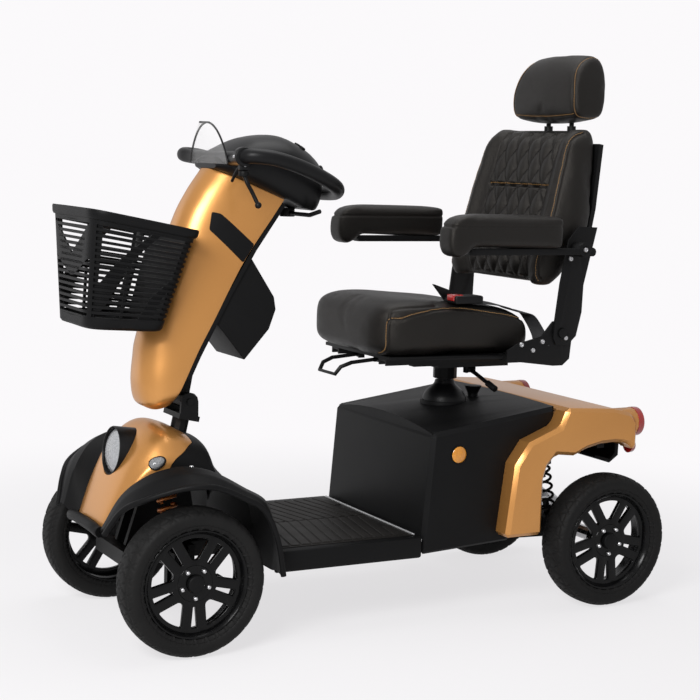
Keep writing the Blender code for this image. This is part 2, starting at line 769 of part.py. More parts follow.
def chassis():
    """Welded frame: two rails, cross members, head tube, spring towers, seat tube and rear hoop."""
    front = FRONT_Y - ARM_LENGTH / 2 - 0.032
    rear = SWING_PIVOT_Y + 0.044
    low_z = RAIL_TOP - RAIL_HEIGHT
    inner = RAIL_X - RAIL_WIDTH / 2
    outer = RAIL_X + RAIL_WIDTH / 2
    base = span_box((inner, front, low_z), (outer, rear, RAIL_TOP))
    shapes = [span_box((-outer, front, low_z), (-inner, rear, RAIL_TOP))]

    def cross(y, half, depth=0.025, low=low_z, high=RAIL_TOP):
        shapes.append(span_box((-half, y - depth / 2, low), (half, y + depth / 2, high)))

    cross(front + 0.010, 0.090)
    cross(TIE_ROD_Y + 0.060, 0.050)
    for y in (-0.250, 0.010):
        cross(y, 0.225, high=RAIL_TOP)
    cross(SWING_PIVOT_Y + 0.030, 0.060)

    pivot_z = ARM_PIVOT_Z
    for side in (1, -1):
        x = side * ARM_PIVOT_X
        start = FRONT_Y - ARM_LENGTH / 2 - 0.012
        end = FRONT_Y + ARM_LENGTH / 2 + 0.012
        shapes.append(rod((x, start, pivot_z), (x, end, pivot_z), PIVOT_ROD_RADIUS))
        for y in (start, end):
            lug_low = (min(side * inner, x + side * 0.012), y - 0.008, low_z)
            lug_high = (max(side * inner, x + side * 0.012), y + 0.008, RAIL_TOP)
            shapes.append(span_box(lug_low, lug_high))

    tower_low = FRONT_SPRING_HIGH.z + PERCH_THICKNESS - 0.002
    tower_y = FRONT_SPRING_HIGH.y
    head_y = steer_point(tower_low).y
    shapes.append(span_box((-0.132, tower_y - 0.018, tower_low), (0.132, tower_y + 0.018, tower_low + 0.010)))
    brace_low = (-0.026, tower_y - 0.018, tower_low - 0.02)
    brace_high = (0.026, head_y + 0.02, tower_low + 0.010)
    shapes.append(span_box(brace_low, brace_high))
    for side in (1, -1):
        cheek = [
            (FRONT_Y - 0.070, RAIL_TOP - 0.004),
            (FRONT_Y + 0.110, RAIL_TOP - 0.004),
            (steer_point(HEAD_TUBE_HIGH).y + 0.010, HEAD_TUBE_HIGH - 0.035),
            (steer_point(HEAD_TUBE_HIGH).y - 0.020, HEAD_TUBE_HIGH - 0.030),
            (tower_y - 0.016, tower_low + 0.005),
        ]
        edges = sorted((side * 0.022, side * 0.036))
        shapes.append(side_plate(cheek, *edges))
        mirror = Matrix.Scale(side, 4, (1, 0, 0))
        high = mirror @ FRONT_SPRING_HIGH
        shapes += perch(high, mirror @ FRONT_SPRING_LOW - high)
    shapes.append(rod(steer_point(HEAD_TUBE_LOW), steer_point(HEAD_TUBE_HIGH), HEAD_TUBE_RADIUS + 0.002))

    tube_radius = SEAT_POST_RADIUS + SEAT_TUBE_WALL
    shapes.append(rod((0, SEAT_POST_Y, low_z), (0, SEAT_POST_Y, BOOT_SEAT_Z), tube_radius))
    cross(SEAT_POST_Y, 0.050, depth=0.070)

    hoop_x = 0.060
    hoop_z = REAR_SPRING_HIGH.z + PERCH_THICKNESS + 0.008
    hoop_y = REAR_SPRING_HIGH.y
    for side in (1, -1):
        x = side * hoop_x
        edges = sorted((x - 0.010, x + 0.010))
        leg = [
            (SWING_PIVOT_Y + 0.020, RAIL_TOP - 0.020),
            (SWING_PIVOT_Y + 0.048, RAIL_TOP - 0.020),
            (SWING_PIVOT_Y + 0.075, hoop_z - 0.010),
            (TAIL_Y - 0.030, hoop_z + 0.020),
            (TAIL_Y - 0.030, hoop_z + 0.042),
            (SWING_PIVOT_Y + 0.055, hoop_z + 0.014),
        ]
        shapes.append(side_plate(leg, *edges))
        mirror = Matrix.Scale(side, 4, (1, 0, 0))
        high = mirror @ REAR_SPRING_HIGH
        shapes += perch(high, mirror @ REAR_SPRING_LOW - high)
    shapes.append(span_box((-0.196, hoop_y - 0.018, hoop_z - 0.012), (0.196, hoop_y + 0.018, hoop_z + 0.012)))
    tail_z = hoop_z + 0.031
    shapes.append(span_box((-0.200, TAIL_Y - 0.052, tail_z - 0.011), (0.200, TAIL_Y - 0.030, tail_z + 0.011)))
    for side in (1, -1):
        x0 = side * (SWING_ARM_X - 0.024)
        x1 = side * (SWING_ARM_X + 0.034)
        shapes.append(rod((0, SWING_PIVOT_Y, AXLE_Z), (x1, SWING_PIVOT_Y, AXLE_Z), PIVOT_ROD_RADIUS + 0.001))
        lug = sorted((0, x0))
        lug_low = (lug[0], SWING_PIVOT_Y - 0.012, AXLE_Z - 0.012)
        lug_high = (lug[1], SWING_PIVOT_Y + 0.012, low_z + 0.006)
        shapes.append(span_box(lug_low, lug_high))
    frame = fuse(base, *shapes)
    bore = SEAT_POST_RADIUS + RUN_GAP
    stem_bore = bore_radius(STEM_RADIUS)
    return cut(
        frame,
        rod((0, SEAT_POST_Y, RAIL_TOP + 0.020), (0, SEAT_POST_Y, 0.7), bore),
        rod(steer_point(0.10), steer_point(0.60), stem_bore),
    )


piece(chassis(), "chassis_frame", STEEL)


# Rear suspension


def swing_arm():
    """Two trailing arms joined by a cross tube, bored for the pivot rod and the axle tube."""
    bush = PIVOT_ROD_RADIUS + 0.001
    x0 = SWING_ARM_X - 0.022
    x1 = SWING_ARM_X + 0.022
    low = REAR_SPRING_LOW
    shapes = []
    for side in (1, -1):
        edges = sorted((side * x0, side * x1))
        shapes.append(rod((edges[0], SWING_PIVOT_Y, AXLE_Z), (edges[1], SWING_PIVOT_Y, AXLE_Z), bush + 0.010))
        arm = [
            (SWING_PIVOT_Y, AXLE_Z - 0.014),
            (REAR_Y, AXLE_Z - 0.022),
            (REAR_Y + 0.040, AXLE_Z - 0.012),
            (REAR_Y + 0.040, AXLE_Z + 0.012),
            (REAR_Y, AXLE_Z + 0.042),
            (SWING_PIVOT_Y, AXLE_Z + 0.014),
        ]
        inner = sorted((side * (SWING_ARM_X - 0.007), side * (SWING_ARM_X + 0.007)))
        shapes.append(side_plate(arm, *inner))
        mirror = Matrix.Scale(side, 4, (1, 0, 0))
        seat = mirror @ low
        shapes += perch(seat, mirror @ REAR_SPRING_HIGH - seat)
        shelf = sorted((side * (SWING_ARM_X - 0.004), side * (low.x + 0.010)))
        shapes.append(
            span_box((shelf[0], low.y - 0.016, AXLE_Z), (shelf[1], low.y + 0.016, low.z - 0.003))
        )
    cross_y = SWING_PIVOT_Y + 0.066
    shapes.append(rod((-SWING_ARM_X, cross_y, AXLE_Z), (SWING_ARM_X, cross_y, AXLE_Z), 0.012))
    arm = fuse(*shapes)
    return cut(
        arm,
        rod((-0.3, SWING_PIVOT_Y, AXLE_Z), (0.3, SWING_PIVOT_Y, AXLE_Z), bore_radius(bush)),
        rod((-0.3, REAR_Y, AXLE_Z), (0.3, REAR_Y, AXLE_Z), AXLE_TUBE_RADIUS + FIT_GAP),
    )


AXLE_TUBE_RADIUS = 0.017


def transaxle():
    """Gear case with the axle through it and the drive motor ahead of it."""
    hub_face = REAR_TRACK / 2 - HUB_INNER - RUN_GAP
    axle_end = REAR_TRACK / 2 + HUB_OUTER + RUN_GAP
    x_nut = axle_end + NUT_LENGTH
    case = turned(
        [(0.052, 0.040), (0.062, 0.012), (0.062, -0.012), (0.052, -0.040), (0.010, -0.040), (0.010, 0.040)],
        (0.0, REAR_Y, AXLE_Z + 0.010),
        (1, 0, 0),
        sides=14,
    )
    motor_y = REAR_Y - 0.145
    shapes = [
        rod((-hub_face, REAR_Y, AXLE_Z), (hub_face, REAR_Y, AXLE_Z), AXLE_TUBE_RADIUS),
        rod((-x_nut, REAR_Y, AXLE_Z), (x_nut, REAR_Y, AXLE_Z), AXLE_RADIUS),
        rod((0, motor_y, AXLE_Z + 0.030), (0, REAR_Y, AXLE_Z + 0.030), 0.050, sides=14),
        rod((0, motor_y - 0.018, AXLE_Z + 0.030), (0, motor_y + 0.01, AXLE_Z + 0.030), 0.034, sides=12),
    ]
    for side in (1, -1):
        start = (side * axle_end, REAR_Y, AXLE_Z)
        shapes.append(rod(start, (side * x_nut, REAR_Y, AXLE_Z), NUT_RADIUS, sides=6))
    return fuse(case, *shapes)


SWING_HOLDER = empty("swing_arm_axis", (0, SWING_PIVOT_Y, AXLE_Z), ROOT)
piece(swing_arm(), "rear_swing_arm", STEEL, SWING_HOLDER)
piece(transaxle(), "transaxle", BRIGHT, SWING_HOLDER)


# Front bodywork

# Cross sections of the hood: station, top, half width and lower edge
HOOD = [
    (-0.690, 0.262, 0.085, 0.245),
    (-0.655, 0.352, 0.112, 0.310),
    (-0.625, 0.415, 0.128, 0.352),
    (-0.590, 0.458, 0.139, 0.380),
    (-0.555, 0.478, 0.143, 0.392),
    (-0.520, 0.472, 0.140, 0.390),
    (-0.485, 0.454, 0.135, 0.384),
    (-0.448, 0.437, 0.130, 0.366),
    (-0.425, 0.385, 0.128, 0.345),
    (-0.362, 0.318, 0.126, 0.310),
]
HOOD_FRONT_Y = HOOD[0][0]
HOOD_REAR_Y = HOOD[-1][0]
SEAM_MIDDLE_Y = -0.483    # gold and black meet here on the centre line
SEAM_SIDE_Y = -0.556      # and here at the lower edge
SEAM_GAP = 0.0008
SEAM_BEND = 0.45          # share of the half width where the seam turns forward
STEM_HOLE_RADIUS = 0.027


def hood_point(share, y):
    """Point of the hood at a share of its width from -1 to 1."""
    top, half, low = along(HOOD, y)
    turn = share * math.pi / 2
    x = half * math.copysign(abs(math.sin(turn)) ** 0.8, share)
    z = low + (top - low) * max(math.cos(turn), 0.0) ** 0.8
    return (x, y, z)


def seam(share):
    """Station of the seam between the gold cowl and the black scuttle."""
    past = max(abs(share) - SEAM_BEND, 0.0) / (1 - SEAM_BEND)
    return blend(SEAM_MIDDLE_Y, SEAM_SIDE_Y, past)


def hood_skin(start, end, rows, columns=11):
    """Part of the hood between two lines across it, as a shell."""
    grid = []
    for r in range(rows):
        row = []
        for c in range(columns):
            share = 2 * c / (columns - 1) - 1
            row.append(hood_point(share, blend(start(share), end(share), r / (rows - 1))))
        grid.append(row)
    return skin(grid, SKIN)


def headlight_place(depth):
    """Point on the headlight's axis, ahead of the lamp's centre."""
    ahead = Vector((0, -math.cos(HEADLIGHT_PITCH), math.sin(HEADLIGHT_PITCH)))
    return Vector((0, HEADLIGHT_Y, HEADLIGHT_Z)) + ahead * depth


HEADLIGHT_FRONT = 0.020
HEADLIGHT_BACK = -0.034
BEZEL_WALL = 0.006


def front_bodywork():
    """Cowl, scuttle, headlight and mudguards."""
    stem = rod(steer_point(0.30), steer_point(0.60), STEM_HOLE_RADIUS, sides=12)
    lamp = rod(headlight_place(-0.09), headlight_place(0.09), HEADLIGHT_RADIUS + FIT_GAP, sides=20)
    cowl = hood_skin(lambda share: HOOD_FRONT_Y, lambda share: seam(share) - SEAM_GAP, 8)
    piece(cut(cowl, lamp, stem), "front_cowl", GOLD)
    stem = rod(steer_point(0.30), steer_point(0.60), STEM_HOLE_RADIUS, sides=12)
    scuttle = hood_skin(lambda share: seam(share) + SEAM_GAP, lambda share: HOOD_REAR_Y, 5)
    piece(cut(scuttle, stem), "scuttle_cover", BLACK)
    axis = headlight_place(1.0) - headlight_place(0.0)
    inner = HEADLIGHT_RADIUS - BEZEL_WALL
    length = HEADLIGHT_FRONT - HEADLIGHT_BACK
    bezel = turned(
        [
            (HEADLIGHT_RADIUS, length),
            (HEADLIGHT_RADIUS, 0.0),
            (0.010, 0.0),
            (inner, length - 0.020),
            (inner, length),
        ],
        headlight_place(HEADLIGHT_BACK),
        axis,
        sides=20,
    )
    piece(bezel, "headlight_bezel", BLACK)
    edge = inner - FIT_GAP
    lens = turned(
        [(0.0, 0.016), (edge * 0.6, 0.012), (edge, 0.0), (edge, -0.006), (0.0, -0.006)],
        headlight_place(HEADLIGHT_FRONT - 0.012),
        axis,
        sides=20,
    )
    piece(lens, "headlight_lens", CLEAR)
    piece(mudguards(), "front_mudguard", BLACK)


# Front mudguard: edge point, lip point and the station of its inner edge
MUDGUARD = [
    ((0.130, -0.707, 0.268), (0.152, FRONT_Y - MUDGUARD_FRONT, 0.262), -0.697),
    ((0.160, -0.672, 0.345), (0.192, -0.684, 0.325), -0.672),
    ((0.196, -0.628, 0.392), (0.238, -0.648, 0.365), -0.635),
    ((0.228, -0.575, 0.413), (0.284, -0.588, 0.392), -0.590),
    ((MUDGUARD_EDGE_X, -0.530, 0.411), (MUDGUARD_LIP_X, -0.545, 0.397), -0.547),
    ((MUDGUARD_EDGE_X, -0.483, 0.395), (MUDGUARD_LIP_X, -0.505, 0.390), -0.483),
    ((MUDGUARD_EDGE_X, -0.420, 0.360), (MUDGUARD_LIP_X, -0.450, 0.364), -0.420),
    ((MUDGUARD_EDGE_X, -0.362, 0.322), (MUDGUARD_LIP_X, -0.396, 0.326), -0.362),
    ((MUDGUARD_EDGE_X, -0.342, 0.250), (MUDGUARD_LIP_X, -0.362, 0.248), -0.342),
    ((MUDGUARD_EDGE_X, -0.342, 0.165), (MUDGUARD_LIP_X, -0.346, 0.166), -0.342),
]


def mudguards():
    """Both wheel covers with their rolled lips, the kick panel and the bumper bar."""
    halves = []
    lip_line = []
    grid = []
    for edge_point, lip_point, inner_y in MUDGUARD:
        top, half, low = along(HOOD, inner_y)
        edge = Vector(edge_point)
        lip = Vector(lip_point)
        inner = Vector((half + 2 * FIT_GAP, inner_y, min(low, edge.z)))
        shoulder = blend(edge, lip, 0.5) + Vector((0, 0, 0.006))
        grid.append([inner, blend(inner, edge, 0.5), edge, shoulder, lip])
        lip_line.append(lip)
    for side in (1, -1):
        mirror = Matrix.Scale(side, 4, (1, 0, 0))
        rows = [[mirror @ point for point in row] for row in grid]
        if side < 0:
            rows = [row[::-1] for row in rows]
        halves.append(skin(rows, SKIN))
        halves.append(tube([mirror @ point for point in lip_line], BEAD_RADIUS, resolution=0))
    kick_y = MUDGUARD[-1][0][1]
    kick_top = MUDGUARD[-3][0][2] - 0.016
    panel_half = along(HOOD, HOOD_REAR_Y)[1] + 0.010
    kick = span_box((-panel_half, kick_y - SKIN, RAIL_TOP + 0.001), (panel_half, kick_y, kick_top))
    first = grid[0]
    end = blend(first[0], first[2], 0.25)
    bar = [end, first[0] + Vector((0, -0.006, 0)), Vector((0.05, first[0].y - 0.014, first[0].z))]
    bar += [Vector((-point.x, point.y, point.z)) for point in reversed(bar)]
    return fuse(*halves, kick, tube(bar, 0.009, resolution=1))


front_bodywork()


# Deck and battery cover

PAN_HALF_WIDTH = 0.250
PAN_FRONT_Y = MUDGUARD[-1][0][1] + FIT_GAP
PAN_SKIRT_Z = 0.158


def floor_pan():
    """Upturned tray with skirts along its edges."""
    rear = COVER_FRONT_Y - FIT_GAP
    tray = span_box((-PAN_HALF_WIDTH, PAN_FRONT_Y, PAN_SKIRT_Z), (PAN_HALF_WIDTH, rear, DECK_HEIGHT))
    tray = rounded(tray, 0.006)
    hollow_low = (-PAN_HALF_WIDTH + PAN_WALL, PAN_FRONT_Y - 0.01, PAN_SKIRT_Z - 0.01)
    hollow_high = (PAN_HALF_WIDTH - PAN_WALL, rear + 0.01, DECK_HEIGHT - PAN_WALL)
    return cut(tray, span_box(hollow_low, hollow_high))


def arch_points(radius, start, end, count):
    """Points of a wheel arch about the rear axle, between two angles in degrees."""
    points = []
    for i in range(count):
        turn = math.radians(blend(start, end, i / (count - 1)))
        points.append((REAR_Y + radius * math.cos(turn), AXLE_Z + radius * math.sin(turn)))
    return points


COVER_LEAN = 0.022        # front face leans back by this much at its top
COVER_BOTTOM_Z = 0.160
COVER_CROWN = 0.020
COVER_REAR_CROWN = 0.004


def battery_cover():
    """Black cover over the batteries, open below and behind, crowned on top."""
    outline = [(COVER_FRONT_Y, COVER_BOTTOM_Z)]
    outline += arch_points(ARCH_RADIUS + 0.010, 178, 128, 6)
    outline += [
        (COVER_REAR_Y, COVER_REAR_TOP - 0.080),
        (COVER_REAR_Y, COVER_REAR_TOP),
        (COVER_FRONT_Y + COVER_LEAN, COVER_FRONT_TOP),
    ]
    shell = side_plate(outline, -COVER_HALF_WIDTH, COVER_HALF_WIDTH, 0.010, 1)
    crown = []
    for y, base, rise in (
        (COVER_FRONT_Y + COVER_LEAN + 0.004, COVER_FRONT_TOP, COVER_CROWN),
        (COVER_REAR_Y, COVER_REAR_TOP, COVER_REAR_CROWN),
    ):
        half = COVER_HALF_WIDTH - 0.012
        ring = [(half, y, base - 0.010), (-half, y, base - 0.010)]
        for i in range(9):
            share = 2 * i / 8 - 1
            ring.append((half * share, y, base - 0.001 + rise * (1 - share * share)))
        crown.append(ring)
    lip_z = BOOT_SEAT_Z + BOOT_LIP
    boss_low = (0, SEAT_POST_Y, COVER_FRONT_TOP)
    boss = rod(boss_low, (0, SEAT_POST_Y, lip_z), BOOT_RADIUS + 2 * BOOT_LIP, sides=16)
    knob_y = SEAT_POST_Y + 0.085
    knob_z = BOOT_SEAT_Z + 0.030
    knob = rod((0, knob_y, COVER_FRONT_TOP), (0, knob_y, knob_z), 0.013)
    cap = rod((0, knob_y, knob_z - 0.014), (0, knob_y, knob_z + 0.004), 0.014, 0.022)
    shell = fuse(shell, loft(crown), boss, knob, cap)
    wall = COVER_WALL
    inside = [
        (COVER_FRONT_Y + wall, COVER_BOTTOM_Z - 0.05),
        (COVER_REAR_Y + 0.05, COVER_BOTTOM_Z - 0.05),
        (COVER_REAR_Y + 0.05, COVER_REAR_TOP - wall),
        (COVER_FRONT_Y + COVER_LEAN + wall, COVER_FRONT_TOP - wall),
    ]
    half = COVER_HALF_WIDTH - wall
    hole = rod((0, SEAT_POST_Y, 0.3), (0, SEAT_POST_Y, 0.6), SEAT_POST_RADIUS + SEAT_TUBE_WALL + FIT_GAP)
    side = half - OVERLAP
    notch_high = (side, COVER_FRONT_Y + 0.03, RAIL_TOP + FIT_GAP)
    rail_notch = span_box((-side, COVER_FRONT_Y - 0.02, 0.1), notch_high)
    recess = rod((0, SEAT_POST_Y, BOOT_SEAT_Z), (0, SEAT_POST_Y, 0.6), BOOT_RADIUS + BOOT_ROOM, sides=16)
    return cut(shell, side_plate(inside, -half, half), hole, rail_notch, recess)


piece(floor_pan(), "floor_pan", BLACK)
piece(battery_cover(), "battery_cover", BLACK)
PACK_FRONT = COVER_FRONT_Y + COVER_LEAN + 0.014
PACK_REAR = SEAT_POST_Y - SEAT_POST_RADIUS - SEAT_TUBE_WALL - 0.004
PACK_LOW = RAIL_TOP + FIT_GAP
battery = span_box((-0.190, PACK_FRONT, PACK_LOW), (0.190, PACK_REAR, PACK_LOW + 0.195), 0.004)
piece(battery, "battery_pack", BLACK)


# Rear bodywork

FLANGE_REAR_Y = 0.350      # rear edge of the fender's foot, ahead of the tyre
POD_X = 0.248
POD_Z = 0.452
POD_RADIUS = 0.036
FENDER_WALL = 0.006


def inset(outline, wall):
    """Move each side of an outline, given anticlockwise, inwards by a wall."""
    count = len(outline)
    points = [Vector(point) for point in outline]
    result = []
    for i in range(count):
        before = (points[i] - points[i - 1]).normalized()
        after = (points[(i + 1) % count] - points[i]).normalized()
        left_before = Vector((-before.y, before.x))
        left_after = Vector((-after.y, after.x))
        middle = (left_before + left_after).normalized()
        reach = wall / max(middle.dot(left_before), 0.3)
        result.append(tuple(points[i] + middle * reach))
    return result


def rear_cover():
    """Gold cover with a fender on each side and a round pod for each tail light."""
    outline = [
        (0.246, 0.196),
        (FLANGE_REAR_Y, 0.196),
        (FLANGE_REAR_Y, 0.330),
        (FLANGE_REAR_Y + 0.010, 0.364),
        (FLANGE_REAR_Y + 0.034, 0.390),
    ]
    outline += arch_points(ARCH_RADIUS, 117, 78, 5)
    outline += [
        (TAIL_Y - 0.006, 0.384),
        (TAIL_Y, 0.400),
        (TAIL_Y, 0.458),
        (TAIL_Y - 0.020, 0.482),
        (0.550, 0.494),
        (COVER_REAR_Y + 0.002, COVER_REAR_TOP + COVER_REAR_CROWN - 0.002),
        (0.392, 0.457),
        (0.306, 0.424),
        (0.268, 0.372),
    ]
    shell = side_plate(outline, -FENDER_HALF_WIDTH, FENDER_HALF_WIDTH, 0.010, 1)
    pods = []
    for x in (POD_X, -POD_X):
        pods.append(rod((x, TAIL_Y - 0.070, POD_Z), (x, TAIL_Y + 0.015, POD_Z), POD_RADIUS, sides=14))
    shell = fuse(shell, *pods)
    front_low = (-COVER_HALF_WIDTH - FIT_GAP, 0.1, 0.1)
    front_high = (COVER_HALF_WIDTH + FIT_GAP, COVER_REAR_Y + FIT_GAP, 0.7)
    top = COVER_REAR_TOP - FENDER_WALL
    under = [(0.38, 0.1), (TAIL_Y - FENDER_WALL, 0.1), (TAIL_Y - FENDER_WALL, 0.452)]
    under += [(TAIL_Y - 0.024, 0.475), (0.550, 0.487), (0.38, top)]
    half = COVER_HALF_WIDTH - 0.003
    pocket = inset(outline, FENDER_WALL)
    outer = FENDER_HALF_WIDTH - FENDER_WALL
    return cut(
        shell,
        span_box(front_low, front_high),
        side_plate(under, -half, half),
        side_plate(pocket, half - 0.004, outer),
        side_plate(pocket, -outer, -half + 0.004),
    )


def rear_bumper():
    """Black panel under the tail, bent forward at its foot."""
    outline = [
        (TAIL_Y - 0.062, 0.356),
        (TAIL_Y - 0.014, 0.340),
        (TAIL_Y + 0.012, 0.358),
        (TAIL_Y + 0.014, 0.430),
        (TAIL_Y + FIT_GAP, 0.434),
        (TAIL_Y + FIT_GAP, 0.366),
        (TAIL_Y - 0.014, 0.350),
        (TAIL_Y - 0.060, 0.364),
    ]
    return side_plate(outline, -0.205, 0.205)


def tail_light(side):
    """Round upper lamp and small lower lamp on one carrier."""
    face = TAIL_Y + 0.015 + FIT_GAP
    x = side * POD_X
    low_z = 0.392
    upper = rod((x, face, POD_Z), (x, face + 0.014, POD_Z), POD_RADIUS - 0.004, POD_RADIUS - 0.010, sides=14)
    lower = rod((x, TAIL_Y + FIT_GAP, low_z), (x, face + 0.008, low_z), 0.019, 0.016, sides=10)
    bridge = span_box((x - 0.007, face, low_z), (x + 0.007, face + 0.006, POD_Z))
    return fuse(upper, lower, bridge)


piece(rear_cover(), "rear_cover", GOLD)
piece(rear_bumper(), "rear_bumper", BLACK)
piece(tail_light(1), "tail_light_left", RED)
piece(tail_light(-1), "tail_light_right", RED)


# Tiller

# Shroud stations from foot to head: front (y, z), rear (y, z) and half width
SHROUD = [
    (-0.556, 0.507, -0.526, 0.520, 0.060),
    (-0.578, 0.522, -0.512, 0.546, 0.080),
    (-0.587, 0.566, -0.495, 0.584, SHROUD_HALF_WIDTH),
    (-0.585, 0.620, -0.466, 0.646, SHROUD_HALF_WIDTH),
    (-0.578, 0.671, -0.430, 0.713, SHROUD_HALF_WIDTH),
    (-0.540, 0.795, -0.361, 0.843, SHROUD_HALF_WIDTH),
    (-0.497, 0.932, -0.291, 0.945, SHROUD_HALF_WIDTH),
    (-0.463, 1.000, -0.266, 0.981, SHROUD_HALF_WIDTH),
    (-0.425, 1.055, -0.261, 0.988, SHROUD_HALF_WIDTH),
]
HEAD_SLOPE = (SHROUD[-1][3] - SHROUD[-1][1]) / (SHROUD[-1][2] - SHROUD[-1][0])
POST_LINE = [(TILT_Y, TILT_Z), (-0.452, 0.630), (-0.430, 0.735), (-0.338, 0.968)]
STRIP_STEPS = 6
BORE_RUN = 0.020          # how far a cutter runs past the piece that it cuts
TILT_HOLDER = empty("tiller_tilt_axis", (0, TILT_Y, TILT_Z), STEER_HOLDER)


def head_line(y):
    """Height of the shroud's sloping top edge."""
    return SHROUD[-1][1] + HEAD_SLOPE * (y - SHROUD[-1][0])


def tiller_shroud():
    """U-shaped gold shell, round in front and open behind."""
    columns = 11
    rows = []
    for front_y, front_z, rear_y, rear_z, half in SHROUD:
        row = []
        for c in range(columns):
            turn = math.pi * c / (columns - 1) - math.pi / 2
            across = math.copysign(abs(math.sin(turn)) ** 0.75, turn)
            ahead = max(math.cos(turn), 0.0) ** 0.75
            row.append((half * across, blend(rear_y, front_y, ahead), blend(rear_z, front_z, ahead)))
        rows.append(row)
    return skin(rows, SHROUD_WALL)


def tiller_post(radius, sink=0.0):
    """Bent post from the tilt hinge to the console, or the room that it needs."""
    end = POST_LINE[-1]
    top = (end[0], head_line(end[0]) - sink)
    points = [(0, y, z) for y, z in (*POST_LINE[:-1], top)]
    return tube(points, radius)


def rear_line(share):
    """Point on the shroud's rear edge and the direction square to it, rearwards."""
    place = 2 + share * (len(SHROUD) - 4)
    i = min(int(place), len(SHROUD) - 3)
    here = Vector((0, *SHROUD[i][2:4]))
    there = Vector((0, *SHROUD[i + 1][2:4]))
    run = (there - here).normalized()
    return blend(here, there, place - i), Vector((0, run.z, -run.y))


def strip_body(half, grow):
    """Band along the shroud's rear edge, as the strip itself or as the room for it."""
    rings = []
    for i in range(STRIP_STEPS + 1):
        point, away = rear_line(i / STRIP_STEPS)
        near = point + away * 2 * FIT_GAP
        far = near + away * (STRIP_THICKNESS + grow)
        left = [(half, near.y, near.z), (half, far.y, far.z)]
        rings.append(left + [(-half, far.y, far.z), (-half, near.y, near.z)])
    return loft(rings)


def tiller_strip():
    """Black strip that closes the shroud's back, with a channel for the post."""
    return cut(strip_body(SHROUD_HALF_WIDTH, 0), tiller_post(POST_RADIUS + 2 * FIT_GAP, -BORE_RUN))


def storage_box():
    """Bin behind the tiller, hung on the strip, with a channel for the post."""
    back = []
    for share in (0.40, 0.52, 0.64):
        point, away = rear_line(share)
        seat = point + away * STRIP_THICKNESS / 2
        back.append((seat.y, seat.z))
    outline = [back[0], (-0.351, 0.620), (-0.290, 0.690), (-0.274, 0.735), (-0.279, 0.764), back[2], back[1]]
    shell = side_plate(outline, -BOX_HALF_WIDTH, BOX_HALF_WIDTH)
    room = tiller_post(POST_RADIUS + 2 * FIT_GAP, -BORE_RUN)
    return cut(shell, strip_body(SHROUD_HALF_WIDTH + BORE_RUN, 2 * FIT_GAP), room)


# Console stations: y, lower z, upper z, half width
CONSOLE = [
    (-0.423, 1.0550, 1.070, 0.060),
    (-0.385, 1.0395, 1.103, 0.100),
    (-0.330, 1.0170, 1.127, 0.118),
    (-0.262, 0.9890, 1.134, 0.126),
    (-0.205, 0.9660, 1.112, 0.118),
    (-0.172, 0.9700, 1.090, 0.096),
    (-0.158, 1.0300, 1.076, 0.060),
]

HANDLE = [
    (0.0, -0.396, 1.078),
    (0.118, -0.398, 1.079),
    (0.170, -0.404, 1.083),
    (0.195, -0.388, 1.085),
    (0.207, -0.345, 1.081),
    (0.207, -0.288, 1.066),
    (0.194, -0.226, 1.044),
    (0.166, -0.173, 1.022),
    (0.116, -0.143, 1.008),
    (0.055, -0.133, 1.003),
]


def handle_loop(radius):
    """Closed loop: a cross bar through the console and a grip round behind it."""
    far = [(-x, y, z) for x, y, z in reversed(HANDLE[1:])]
    return tube([*HANDLE, *far], radius, cyclic=True)


BRAKE_PIVOT = Vector((0.170, -0.404, 1.046))


def handlebar():
    """Loop with the clamp that holds the brake lever's pivot."""
    grip = Vector(HANDLE[2])
    inner_end = grip + Vector((-0.016, 0.002, 0))
    outer_end = grip + Vector((0.010, -0.002, 0))
    clamp = rod(inner_end, outer_end, HANDLE_RADIUS + 0.005, sides=8)
    low = BRAKE_PIVOT + Vector((-0.010, -0.010, 0.006 + FIT_GAP))
    block = span_box(low, (BRAKE_PIVOT.x + 0.006, BRAKE_PIVOT.y + 0.012, grip.z - 0.008))
    return fuse(handle_loop(HANDLE_RADIUS), clamp, block)


def console():
    """Hood over the tiller's head, bored for the handle's cross bar."""
    rings = []
    for y, low, high, half in CONSOLE:
        rings.append(oval(half, low - (high - low) * 0.15, high, y, 12, 2.4, low + FIT_GAP))
    return cut(loft(rings), handle_loop(HANDLE_RADIUS + FIT_GAP))


def brake_lever():
    """Lever with a ball at its end, under the left grip."""
    tip = Vector((0.190, -0.376, 0.978))
    pivot = BRAKE_PIVOT
    barrel = rod(pivot + Vector((0, 0, -0.006)), pivot + Vector((0, 0, 0.006)), 0.011)
    knee = pivot + Vector((0.012, 0.004, -0.020))
    blade = tube([pivot, knee, blend(pivot, tip, 0.6), tip], 0.0045, resolution=1)
    return fuse(barrel, blade, ball(tip, 0.0075))


PADDLE_Y = -0.212
PADDLE_TOP = CONSOLE[4][1]


def throttle_paddle():
    """Two-way thumb paddle under the console."""
    hub = rod((0, PADDLE_Y, PADDLE_TOP - 0.020), (0, PADDLE_Y, PADDLE_TOP), 0.018)
    arm_z = PADDLE_TOP - 0.012
    tip = (0.142, PADDLE_Y + 0.014, arm_z + 0.010)
    points = [tip, (0.110, PADDLE_Y + 0.004, arm_z), (0, PADDLE_Y, arm_z)]
    points += [(-px, py, pz) for px, py, pz in points[-2::-1]]
    return fuse(hub, tube(points, 0.0055, resolution=1))


KNOB = Vector((0.026, CONSOLE[-1][0], 1.054))


def speed_knob():
    """Turning knob on the console's rear face."""
    face = KNOB + Vector((0, FIT_GAP, 0))
    return rod(face, face + Vector((0, 0.020, 0)), 0.013, 0.0115, sides=16)


